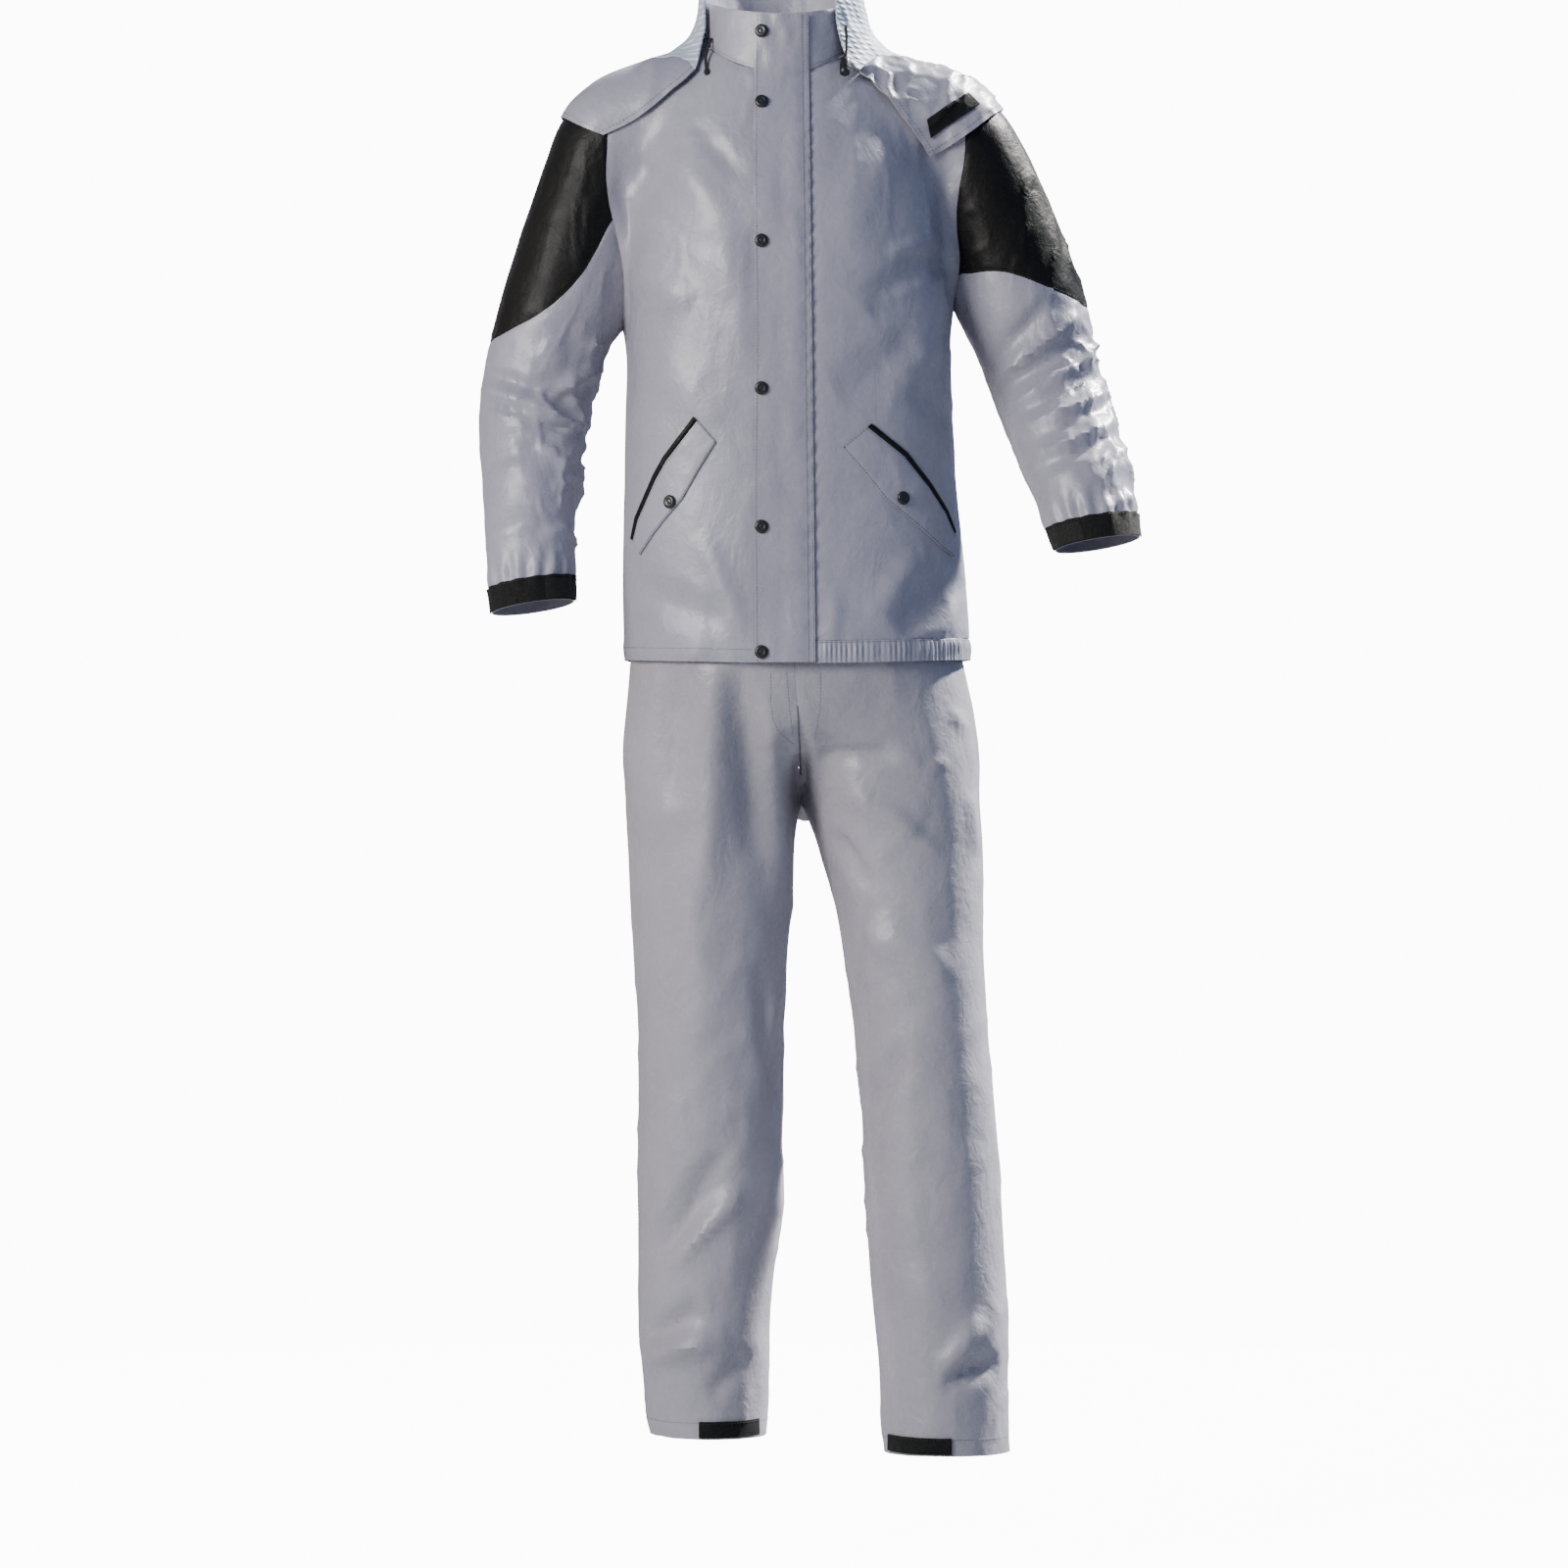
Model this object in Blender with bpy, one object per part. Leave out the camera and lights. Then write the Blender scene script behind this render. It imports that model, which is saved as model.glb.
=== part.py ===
"""Rain suit: a hooded snap-front jacket and trousers, worn, as hollow cloth walls.

All sizes below are in millimetres, and cloth_wall() turns them into metres for Blender. The front faces -Y,
+Z is up, +X is the wearer's left, and the origin is the centre of the neck at the collar seam.

The garment's form is a field: a distance to a smooth body of loose sections and sleeve chains, with the
largest folds added. Each cut piece is a grid of points settled on that field between its seam lines, and a
wall is the grid and the same grid moved in by the cloth's thickness.
"""

import math
from functools import partial

import bmesh
import bpy
import numpy as np
from mathutils import Matrix, Vector
from mathutils.bvhtree import BVHTree

MM = 0.001
CLOTH = 1.8  # wall of the coated cloth with its lining
TRIM = 1.6  # wall of flaps and tabs
SEAM_GAP = 0.3  # between two pieces sewn together
LAY_GAP = 0.8  # under a piece that lies on another
AROUND = 24  # columns round a sleeve
ARM_ROWS = AROUND // 2  # rows down each half of an armhole
NECK_COLUMNS = 6  # columns in a quarter of the neckline
SHOULDER_COLUMNS = 5
SIDE_ROWS = 9  # rows from armpit to hem
FRONT_X = 2.0  # where the two fronts meet


def table(names, *rows):
    """A short table as named columns."""
    return dict(zip(names.split(), np.array(rows, float).T))


BODY = table(
    "z left right front back square",
    (130, -72, 73, -74, 78, 2.0),
    (60, -72, 73, -74, 78, 2.0),
    (38, -75, 75, -75, 79, 2.0),
    (15, -96, 98, -80, 88, 2.1),
    (-20, -126, 132, -92, 104, 2.2),
    (-60, -150, 160, -106, 120, 2.3),
    (-120, -163, 177, -124, 133, 2.4),
    (-180, -168, 183, -135, 139, 2.4),
    (-242, -168, 185, -139, 141, 2.4),
    (-340, -171, 188, -138, 138, 2.4),
    (-436, -172, 192, -137, 136, 2.4),
    (-519, -175, 200, -140, 139, 2.4),
    (-589, -174, 205, -143, 142, 2.4),
    (-660, -171, 208, -146, 145, 2.4),
)
ARM_RIGHT = table(
    "x y z r",
    (-58, 3, -29, 65),
    (-120, 5, -38, 62),
    (-188, 6, -52, 58),
    (-212, 9, -130, 61),
    (-241, 10, -242, 69),
    (-262, 12, -300, 63),
    (-273, 12, -345, 62),
    (-274, -25, -431, 54),
    (-273, -60, -513, 49),
    (-270, -80, -580, 45),
)
ARM_LEFT = table(
    "x y z r",
    (58, 3, -29, 65),
    (120, 5, -38, 62),
    (194, 8, -52, 58),
    (226, 10, -124, 61),
    (256, 12, -206, 67),
    (268, 13, -256, 69),
    (286, 14, -294, 65),
    (295, 12, -335, 63),
    (312, -30, -390, 61),
    (327, -72, -444, 55),
    (343, -105, -512, 46),
)
HIPS = table(
    "z left right front back square",
    (-430, -132, 146, -104, 110, 2.2),
    (-470, -136, 152, -108, 114, 2.2),
    (-520, -146, 166, -116, 122, 2.3),
    (-580, -158, 184, -128, 133, 2.4),
    (-636, -166, 200, -138, 143, 2.4),
    (-697, -170, 210, -128, 143, 2.4),
    (-740, -168, 212, -113, 134, 2.3),
    (-830, -166, 214, -104, 112, 2.2),
)
LEG_RIGHT = table(
    "z left right front back square",
    (-640, -140, 20, -90, 90, 2.1),
    (-730, -166, 19, -110, 102, 2.3),
    (-790, -170, 10, -107, 102, 2.2),
    (-841, -170, 16, -100, 100, 2.1),
    (-900, -166, 12, -97, 98, 2.1),
    (-986, -161, 4, -93, 97, 2.1),
    (-1042, -158, 2, -91, 96, 2.1),
    (-1239, -158, 2, -84, 98, 2.1),
    (-1297, -158, -6, -82, 98, 2.1),
    (-1354, -158, -12, -80, 98, 2.1),
    (-1405, -155, -14, -78, 96, 2.1),
    (-1500, -142, -17, -74, 92, 2.1),
)
LEG_LEFT = table(
    "z left right front back square",
    (-640, 22, 176, -90, 90, 2.1),
    (-730, 22, 209, -110, 102, 2.3),
    (-790, 33, 219, -108, 102, 2.2),
    (-841, 38, 222, -104, 98, 2.1),
    (-882, 55, 223, -104, 94, 2.1),
    (-948, 66, 222, -104, 88, 2.1),
    (-1042, 81, 227, -108, 80, 2.1),
    (-1162, 89, 237, -114, 68, 2.1),
    (-1258, 94, 243, -118, 58, 2.1),
    (-1354, 102, 250, -122, 48, 2.1),
    (-1413, 106, 248, -124, 42, 2.1),
    (-1520, 110, 248, -126, 36, 2.1),
)
YAW = math.radians(4)  # the wearer is turned a little to their right
BODY_WINDOW, ARM_WINDOW, LEG_WINDOW = 56, 70, 90  # lengths over which the tables are rounded
TABLE_STEP = 4.0
ARM_STEP = 20.0
ARM_BLEND, HIP_BLEND, CROTCH_BLEND = 24.0, 34.0, 30.0
CROTCH_FRONT = (-110.0, -731.0)  # y and z of the crotch at the front and at the back
CROTCH_BACK = (90.0, -812.0)
LEG_TOP = -650.0  # the leg sections end inside the hips
FOLD_TURN = 30.0  # depth over which a fold on the front fades towards the back

FOLD_COLUMNS = "x0 z0 x1 z1 y width height"  # seen from the front; height is under 0 in a valley
JACKET_FOLDS = table(
    FOLD_COLUMNS,
    (-165, -90, -60, -190, 0, 34, -4.5),
    (-120, -70, -45, -250, 0, 40, 4.0),
    (-168, -210, -95, -255, 0, 30, 4.0),
    (110, -60, 70, -200, 0, 44, 3.5),
    (182, -190, 92, -262, 0, 40, -6.0),
    (150, -300, 60, -350, 0, 44, -4.0),
    (185, -290, 120, -330, 0, 30, 4.0),
    (-160, -560, -60, -600, 0, 30, -4.0),
    (190, -540, 130, -610, 0, 42, -6.0),
    (150, -520, 100, -600, 0, 26, 3.5),
    (-332, -318, -226, -354, 12, 15, -5.0),
    (-330, -338, -232, -372, 12, 13, 4.5),
    (-330, -366, -215, -378, 12, 14, -4.0),
    (-205, -318, -255, -352, 12, 14, 4.0),
    (-325, -420, -250, -400, -20, 16, -3.5),
    (-318, -505, -250, -480, -45, 20, 3.0),
    (222, -322, 300, -236, 12, 16, -5.0),
    (235, -345, 345, -272, 12, 15, 4.5),
    (250, -372, 358, -318, 5, 14, -4.5),
    (262, -402, 372, -352, -20, 14, 4.5),
    (276, -430, 378, -386, -45, 14, -4.5),
    (290, -462, 384, -420, -70, 15, 4.0),
)
TROUSER_FOLDS = table(
    FOLD_COLUMNS,
    (-112, -640, -122, -790, 0, 28, -4.0),
    (-74, -640, -80, -820, 0, 28, 4.0),
    (-44, -640, -28, -850, 0, 28, -5.5),
    (-12, -680, 0, -910, 0, 26, 3.5),
    (40, -735, 130, -740, 0, 24, -4.5),
    (60, -772, 150, -830, 0, 24, 3.5),
    (56, -822, 104, -890, 0, 24, -4.0),
    (92, -925, 190, -985, 0, 34, 4.0),
    (140, -1055, 94, -1130, 0, 26, -4.5),
    (-140, -1290, -55, -1170, 5, 30, -6.0),
    (-155, -1400, -56, -1372, 5, 22, 5.5),
    (-36, -1392, -80, -1440, 5, 18, -4.5),
    (172, -1418, 236, -1396, -40, 24, -5.0),
    (218, -1348, 172, -1412, -40, 22, 4.5),
)

# Seam lines, seen from the front as (x, z)
ARMHOLE_RIGHT = ((-190, -28), (-188, -69), (-193, -105), (-190, -136), (-178, -177), (-170, -225))
ARMHOLE_LEFT = ((197, -28), (204, -75), (197, -110), (190, -144), (192, -170), (200, -203))
SHOULDER_RIGHT = ((-110, 5, 30), (-157, 6, 14), (-188, 6, 5))
SHOULDER_LEFT = ((110, 5, 30), (160, 7, 14), (194, 8, 5))
ARMPIT_X, ARMPIT_Y = (160.0, 215.0), 10.0  # where the armpits are looked for
PANEL_SEAM_RIGHT = ((-190, -146), (-196, -173), (-213, -217), (-235, -235), (-267, -265), (-320, -295))
PANEL_SEAM_LEFT = ((203, -203), (237, -209), (262, -217), (287, -228), (310, -236), (335, -254))
PANEL_ROWS = 6

NECK_X, NECK_Y = 76.0, 77.0
NECK_Z = (29.0, -31.0, 9.0)  # mean height, fall to the front, rise at the sides
COLLAR_TOP_X, COLLAR_TOP_Y = 84.0, 85.0
COLLAR_TOP_Z = (88.0, -22.0, 5.0)
COLLAR_ROWS = 3
HEM_FRONT, HEM_SIDE, HEM_BACK = -642.0, -636.0, -640.0
CASING_HEIGHT = 24.0
CASING_WAVES = 46
CASING_WAVE = 1.3
SLEEVE_START = -335.0  # height of the arm's centre at the first whole ring
SLEEVE_RINGS = 9
CUFF = 28.0  # height of a cuff and of its tab
CUFF_WAVE = 1.4
CUFF_AXIS = (0.155, -0.10, -0.98)

FLAP_FREE_X, FLAP_SEWN_TOP_X, FLAP_SEWN_HEM_X = -29.5, 29.5, 37.0
FLAP_COLUMNS = 4
FLAP_LAY_GAP = 1.5
SNAP_Z = (46.0, -32.5, -187.0, -346.0, -495.0, -630.0)
SNAP_X = -21.0
SNAP_RADIUS, SNAP_CROWN, SNAP_HEIGHT = 7.3, 5.6, 2.2

POCKET_LINE_RIGHT = ((-92, -378), (-125, -420), (-136, -439), (-146, -461), (-156, -483), (-161, -505))
POCKET_EDGE_RIGHT = ((-70, -403), (-88, -432), (-106, -464), (-127, -488), (-138, -502), (-152, -523))
POCKET_LINE_LEFT = ((95, -385), (134, -415), (161, -448), (179, -475), (188, -497))
POCKET_EDGE_LEFT = ((66, -409), (90, -436), (112, -464), (153, -497), (172, -514), (187, -525))
POCKET_COLUMNS, POCKET_ROWS = 12, 3
PIPING_WIDTH, PIPING_WALL = 6.0, 2.6
POCKET_SNAP_RIGHT, POCKET_SNAP_LEFT = (-120, -467), (132, -463)

WAIST_TOP, WAIST_BOTTOM = -436.0, -470.0
BAND = 2.4  # wall of the waistband with its elastic
CROTCH = (21, 15, -780)
RISE_FRONT = ((6, -470), (9, -560), (13, -640), (18, -700), (20, -728))
RISE_BACK = ((14, -470), (16, -600), (19, -700), (21, -770))
TROUSER_HEM_RIGHT = (-1486.0, -1492.0)  # front and back
TROUSER_HEM_LEFT = (-1498.0, -1506.0)
OUTSEAM_HIP_Z = (-560, -640, -700, -760)
OUTSEAM_LEG_Z = (-860, -980, -1120, -1260, -1380)
INSEAM_Z = (-830, -900, -1000, -1120, -1260, -1380)
RISE_ROWS, LEG_ROWS, LEG_COLUMNS = 10, 12, 10
KNEE_ROW = 15  # the bent left leg's walls are parted here, so that simple shapes can stand for each half
LEG_TABS = table("x0 x1 top bottom", (-89, -26, -1466, -1484), (118, 184, -1478, -1496))
TAB_COLUMNS, TAB_GAP = 12, 1.2


def rounded(columns, key, window, step):
    """The columns over an even run of the key, rounded by a Hann window that keeps both ends."""
    order = np.argsort(columns[key])
    run = np.arange(columns[key].min(), columns[key].max() + step, step)
    kernel = np.hanning(2 * round(window / step / 2) + 3)[1:-1]
    pad = len(kernel) // 2
    result = {key: run}
    for name, values in columns.items():
        if name == key:
            continue
        dense = np.interp(run, columns[key][order], values[order])
        padded = np.pad(dense, pad, mode="reflect", reflect_type="odd")
        result[name] = np.convolve(padded, kernel / kernel.sum(), "valid")
    return result


def chain(columns, window):
    """A sleeve's centre line and radius, as short straight stretches."""
    points = np.stack([columns["x"], columns["y"], columns["z"]], 1)
    lengths = np.linalg.norm(np.diff(points, axis=0), axis=1)
    whole = rounded({**columns, "s": np.concatenate([[0], np.cumsum(lengths)])}, "s", window, ARM_STEP)
    return np.stack([whole["x"], whole["y"], whole["z"]], 1), whole["r"]


def section_distance(points, sections):
    """How far points lie outside a stack of level rounded sections, measured from each section's centre."""
    at = {name: np.interp(points[:, 2], sections["z"], sections[name]) for name in sections if name != "z"}
    x = points[:, 0] - (at["left"] + at["right"]) / 2
    y = points[:, 1] - (at["front"] + at["back"]) / 2
    across = x * math.cos(YAW) + y * math.sin(YAW)
    along = y * math.cos(YAW) - x * math.sin(YAW)
    half_x = (at["right"] - at["left"]) / 2
    half_y = (at["back"] - at["front"]) / 2
    scaled = np.abs(across / half_x) ** at["square"] + np.abs(along / half_y) ** at["square"]
    scaled = np.maximum(scaled, 1e-9) ** (1 / at["square"])
    reach = np.hypot(x, y)
    return reach - reach / np.maximum(scaled, 1e-3)


def chain_distance(points, centres, radii):
    """Distance to a chain of round cones."""
    nearest = np.full(len(points), 1e9)
    for a, b, ra, rb in zip(centres[:-1], centres[1:], radii[:-1], radii[1:]):
        run = b - a
        t = np.clip((points - a) @ run / (run @ run), 0, 1)
        off = points - a - t[:, None] * run
        nearest = np.minimum(nearest, np.sqrt((off * off).sum(1)) - ra - t * (rb - ra))
    return nearest


def blend(a, b, width):
    """The union of two distances, filleted over a width."""
    share = np.clip(0.5 + 0.5 * (b - a) / width, 0, 1)
    return b + (a - b) * share - width * share * (1 - share)


def fold_height(points, folds):
    """How far the folds lift the cloth at each point."""
    height = np.zeros(len(points))
    for x0, z0, x1, z1, y, width, lift in zip(*(folds[name] for name in FOLD_COLUMNS.split())):
        run = np.array([x1 - x0, z1 - z0])
        off = points[:, [0, 2]] - (x0, z0)
        t = np.clip(off @ run / (run @ run), 0, 1)
        away = np.hypot(*(off - t[:, None] * run).T) / width
        near = away < 1
        front = np.clip(0.5 - (points[near, 1] - y) / FOLD_TURN, 0, 1)
        height[near] += lift * front * (0.5 + 0.5 * np.cos(np.pi * away[near]))
    return height


BODY_SECTIONS = rounded(BODY, "z", BODY_WINDOW, TABLE_STEP)
HIP_SECTIONS = rounded(HIPS, "z", BODY_WINDOW, TABLE_STEP)
LEG_SECTIONS = [rounded(leg, "z", LEG_WINDOW, TABLE_STEP) for leg in (LEG_RIGHT, LEG_LEFT)]
ARMS = {-1: chain(ARM_RIGHT, ARM_WINDOW), 1: chain(ARM_LEFT, ARM_WINDOW)}


def jacket(points):
    """The jacket's outer face is where this is 0."""
    arms = np.minimum(chain_distance(points, *ARMS[-1]), chain_distance(points, *ARMS[1]))
    return blend(section_distance(points, BODY_SECTIONS), arms, ARM_BLEND) - fold_height(points, JACKET_FOLDS)


def trousers(points):
    """The trousers' outer face is where this is 0."""
    slope = (CROTCH_BACK[1] - CROTCH_FRONT[1]) / (CROTCH_BACK[0] - CROTCH_FRONT[0])
    below = CROTCH_FRONT[1] + slope * (points[:, 1] - CROTCH_FRONT[0]) - points[:, 2]
    hips = -blend(-section_distance(points, HIP_SECTIONS), -below / math.hypot(1, slope), HIP_BLEND)
    legs = np.minimum(*(section_distance(points, leg) for leg in LEG_SECTIONS))
    legs = np.maximum(legs, points[:, 2] - LEG_TOP)
    return blend(hips, legs, CROTCH_BLEND) - fold_height(points, TROUSER_FOLDS)


def gradient(points, field):
    """The field's slope at each point."""
    step = 0.5
    steps = np.concatenate([np.eye(3), -np.eye(3)]) * step
    values = field((points + steps[:, None]).reshape(-1, 3)).reshape(6, -1)
    return ((values[:3] - values[3:]) / (2 * step)).T


def settle(points, field, level=0.0):
    """Moves points along the field's slope until they lie at a level of it."""
    shape = np.shape(points)
    points = np.array(points, float).reshape(-1, 3)
    level = np.broadcast_to(np.reshape(level, -1), len(points))
    for _ in range(7):
        slope = gradient(points, field)
        step = (field(points) - level) / np.maximum((slope**2).sum(1), 0.05)
        points = points - np.clip(step, -25, 25)[:, None] * slope
        if np.abs(step).max(initial=0) < 0.005:
            break
    return points.reshape(shape)


def outward(points, field):
    """Unit vectors straight out of the cloth."""
    slope = gradient(np.reshape(points, (-1, 3)), field)
    return (slope / np.linalg.norm(slope, axis=1)[:, None]).reshape(np.shape(points))


def seen(places, field, side=-1, level=0.0):
    """The first points of the face that are seen at (x, z) from the front, or from behind at side 1."""
    places = np.array(places, float)
    depths = side * np.arange(300.0, -120.0, -4.0)
    rays = np.stack(
        [
            np.repeat(places[:, 0], len(depths)),
            np.tile(depths, len(places)),
            np.repeat(places[:, 1], len(depths)),
        ],
        1,
    )
    inside = field(rays).reshape(len(places), -1) < level
    first = depths[np.argmax(inside, 1)]
    missed = ~inside.any(1)
    first[missed] = 0.0
    start = np.stack([places[:, 0], first, places[:, 1]], 1)
    far = start - [0, -4.0 * side, 0]
    near = start
    for _ in range(12):
        middle = (near + far) / 2
        within = (field(middle) < level)[:, None]
        near, far = np.where(within, middle, near), np.where(within, far, middle)
    return np.where(missed[:, None], settle(start, field, level), near)


def armpit(side):
    """The crown of the arch between a sleeve and the body, seen from below."""
    across = side * np.arange(ARMPIT_X[0], ARMPIT_X[1], 1.0)
    heights = np.arange(-340.0, -180.0, 1.0)
    x, z = np.meshgrid(across, heights, indexing="ij")
    depth = np.full(x.size, ARMPIT_Y)
    within = jacket(np.stack([x.ravel(), depth, z.ravel()], 1)).reshape(x.shape) < 0
    lowest = heights[np.argmax(within, 1)]
    crown = int(np.argmax(lowest))
    return settle([(across[crown], ARMPIT_Y, lowest[crown])], jacket)[0]


def resampled(points, count):
    """An even run of count + 1 points along a line."""
    points = np.array(points, float)
    lengths = np.concatenate([[0], np.cumsum(np.linalg.norm(np.diff(points, axis=0), axis=1))])
    wanted = np.linspace(0, lengths[-1], count + 1)
    return np.stack([np.interp(wanted, lengths, points[:, axis]) for axis in range(3)], 1)


def seam_line(guide, count, field, level=0.0):
    """A seam: an even run of points on the cloth along a guide."""
    line = resampled(guide, 4 * count)
    ends = line[[0, -1]]
    line = settle(line, field, level)
    line = settle(resampled(line, count), field, level)
    if count > 2:
        line[1:-1] = settle(line[1:-1] * 0.5 + (line[:-2] + line[2:]) * 0.25, field, level)
    line[[0, -1]] = settle(ends, field, level)
    return line


def patch(top, bottom, left, right, field, level=0.0, rounds=12):
    """A grid of cloth points between four seam lines, settled and evened out."""
    u = np.linspace(0, 1, len(top))[None, :, None]
    v = np.linspace(0, 1, len(left))[:, None, None]
    grid = (1 - v) * top[None] + v * bottom[None] + (1 - u) * left[:, None] + u * right[:, None]
    grid -= (1 - v) * ((1 - u) * top[0] + u * top[-1]) + v * ((1 - u) * bottom[0] + u * bottom[-1])
    grid[0], grid[-1], grid[:, 0], grid[:, -1] = top, bottom, left, right
    inner = (slice(1, -1), slice(1, -1))
    levels = np.broadcast_to(level, grid.shape[:2]) if np.ndim(level) else np.full(grid.shape[:2], level)
    for _ in range(rounds):
        around = grid[:-2, 1:-1] + grid[2:, 1:-1] + grid[1:-1, :-2] + grid[1:-1, 2:]
        grid[inner] = grid[inner] * 0.4 + around * 0.15
        grid[inner] = settle_once(grid[inner], field, levels[inner])
    grid[inner] = settle(grid[inner], field, levels[inner])
    return grid


def settle_once(points, field, level):
    """One quick move towards a level of the field."""
    shape = points.shape
    points = points.reshape(-1, 3)
    slope = gradient(points, field)
    step = (field(points) - level.reshape(-1)) / np.maximum((slope**2).sum(1), 0.05)
    return (points - np.clip(step, -25, 25)[:, None] * slope).reshape(shape)


def unit(vectors):
    return vectors / np.maximum(np.linalg.norm(vectors, axis=-1, keepdims=True), 1e-9)


def drawn_in(line, beyond, normals, gap):
    """Moves that draw an edge in over the cloth, square to the edge, towards the points beyond it."""
    across = beyond - line
    for way in (normals, unit(np.gradient(line, axis=0))):
        across = across - (across * way).sum(-1, keepdims=True) * way
    return gap * unit(across)


def pulled_back(grid, normals, edges="tblr", gap=SEAM_GAP / 2):
    """The grid with the named edges (top, bottom, left, right) drawn in by half a seam gap."""
    result = grid.copy()
    if "t" in edges:
        result[0] += drawn_in(grid[0], grid[1], normals[0], gap)
    if "b" in edges:
        result[-1] += drawn_in(grid[-1], grid[-2], normals[-1], gap)
    if "l" in edges:
        result[:, 0] += drawn_in(grid[:, 0], grid[:, 1], normals[:, 0], gap)
    if "r" in edges:
        result[:, -1] += drawn_in(grid[:, -1], grid[:, -2], normals[:, -1], gap)
    return result


MATERIALS = {
    "grey_cloth": ((0.42, 0.41, 0.44), 0.5),
    "black_cloth": ((0.02, 0.02, 0.02), 0.55),
    "hood_lining": ((0.50, 0.53, 0.58), 0.7),
    "black_tape": ((0.015, 0.015, 0.015), 0.85),
    "black_snap": ((0.015, 0.015, 0.016), 0.4),
    "black_cord": ((0.015, 0.015, 0.015), 0.8),
}


def material_for(name, slot):
    """A Principled material of its own for one object."""
    colour, roughness = MATERIALS[slot]
    material = bpy.data.materials.new(name + "_" + slot)
    material.use_nodes = True
    shader = material.node_tree.nodes["Principled BSDF"]
    shader.inputs["Base Color"].default_value = (*colour, 1)
    shader.inputs["Roughness"].default_value = roughness
    shader.inputs["Metallic"].default_value = 0.0
    return material


def place(name, mesh, slot, matrix=None):
    """An object of the suit, smooth over its gentle edges."""
    obj = bpy.data.objects.new(name, mesh)
    mesh.materials.append(material_for(name, slot))
    mesh.shade_smooth()
    mesh.set_sharp_from_angle(angle=math.radians(40))
    if matrix is not None:
        obj.matrix_world = matrix
    SUIT.objects.link(obj)
    return obj


def cloth_wall(name, outer, inner, slot, around=False):
    """A cut piece: an outer and an inner grid of points joined round their edges into one closed wall."""
    rows, columns = outer.shape[:2]
    shape = bmesh.new()
    faces = []
    verts = []
    for grid in (outer, inner):
        verts.append([[shape.verts.new(Vector(p) * MM) for p in row] for row in grid])
    last = columns if around else columns - 1
    for i in range(rows - 1):
        for j in range(last):
            k = (j + 1) % columns
            for side in verts:
                faces.append((side[i][j], side[i][k], side[i + 1][k], side[i + 1][j]))
    for i in (0, rows - 1):
        for j in range(last):
            k = (j + 1) % columns
            faces.append((verts[0][i][j], verts[0][i][k], verts[1][i][k], verts[1][i][j]))
    if not around:
        for j in (0, columns - 1):
            for i in range(rows - 1):
                faces.append((verts[0][i][j], verts[0][i + 1][j], verts[1][i + 1][j], verts[1][i][j]))
    for face in faces:
        shape.faces.new(face)
    bmesh.ops.remove_doubles(shape, verts=shape.verts, dist=1e-6)
    bmesh.ops.recalc_face_normals(shape, faces=shape.faces)
    mesh = bpy.data.meshes.new(name)
    shape.to_mesh(mesh)
    shape.free()
    return place(name, mesh, slot)


def field_wall(name, grid, field, slot, edges="tblr", around=False, thickness=CLOTH):
    """A cut piece whose inner face is parallel to the field's, with seam gaps at the named edges."""
    normals = outward(grid, field)
    grid = pulled_back(grid, normals, edges)
    return cloth_wall(name, grid, grid - thickness * normals, slot, around)


def neck_ring(angles, sizes, heights):
    """Points round the neck at angles from the front: sizes are the half width and depth."""
    angles = np.array(angles)
    mean, fall, rise = heights
    return np.stack(
        [
            sizes[0] * np.sin(angles),
            -sizes[1] * np.cos(angles) + 2,
            mean + fall * np.cos(angles) + rise * np.sin(angles) ** 2,
        ],
        1,
    )


def hem_height(angle):
    """The hem's height at an angle from the front."""
    ends = HEM_FRONT if math.cos(angle) > 0 else HEM_BACK
    return HEM_SIDE + (ends - HEM_SIDE) * math.cos(angle) ** 2


def body_ring(angles, heights, sections, field):
    """Points on the cloth round the body at angles from the front."""
    points = []
    for angle, height in zip(angles, heights):
        at = {name: np.interp(height, sections["z"], sections[name]) for name in sections if name != "z"}
        x = (at["left"] + at["right"]) / 2 + (at["right"] - at["left"]) / 2 * math.sin(angle)
        y = (at["front"] + at["back"]) / 2 - (at["back"] - at["front"]) / 2 * math.cos(angle)
        points.append((x, y, height))
    return settle(points, field)


def cast(origin, targets, field, reach=150.0):
    """The first points, on rays from inside a sleeve towards the targets, that lie outside the cloth."""
    away = unit(targets - origin)
    steps = np.arange(8.0, reach, 4.0)
    rays = origin + away[:, None, :] * steps[None, :, None]
    outside = field(rays.reshape(-1, 3)).reshape(len(targets), -1) > 0
    first = np.where(outside.any(1), steps[np.argmax(outside, 1)], reach)
    near, far = first - 4.0, first
    for _ in range(12):
        middle = (near + far) / 2
        beyond = field(origin + away * middle[:, None]) > 0
        near, far = np.where(beyond, near, middle), np.where(beyond, middle, far)
    points = origin + away * far[:, None]
    lost = ~outside.any(1)
    points[lost] = targets[lost]
    return points


def grid_normals(grid, centre):
    """Unit normals of a grid of points, on the side away from a centre."""
    along = np.gradient(grid, axis=0)
    across = np.gradient(grid, axis=1)
    normals = unit(np.cross(along, across))
    facing = np.sign(((grid - centre) * normals).sum(-1).sum())
    return normals * facing


def joined(*lines):
    """Lines end to end, each starting at the last point of the one before."""
    return np.concatenate([lines[0]] + [line[1:] for line in lines[1:]])


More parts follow.
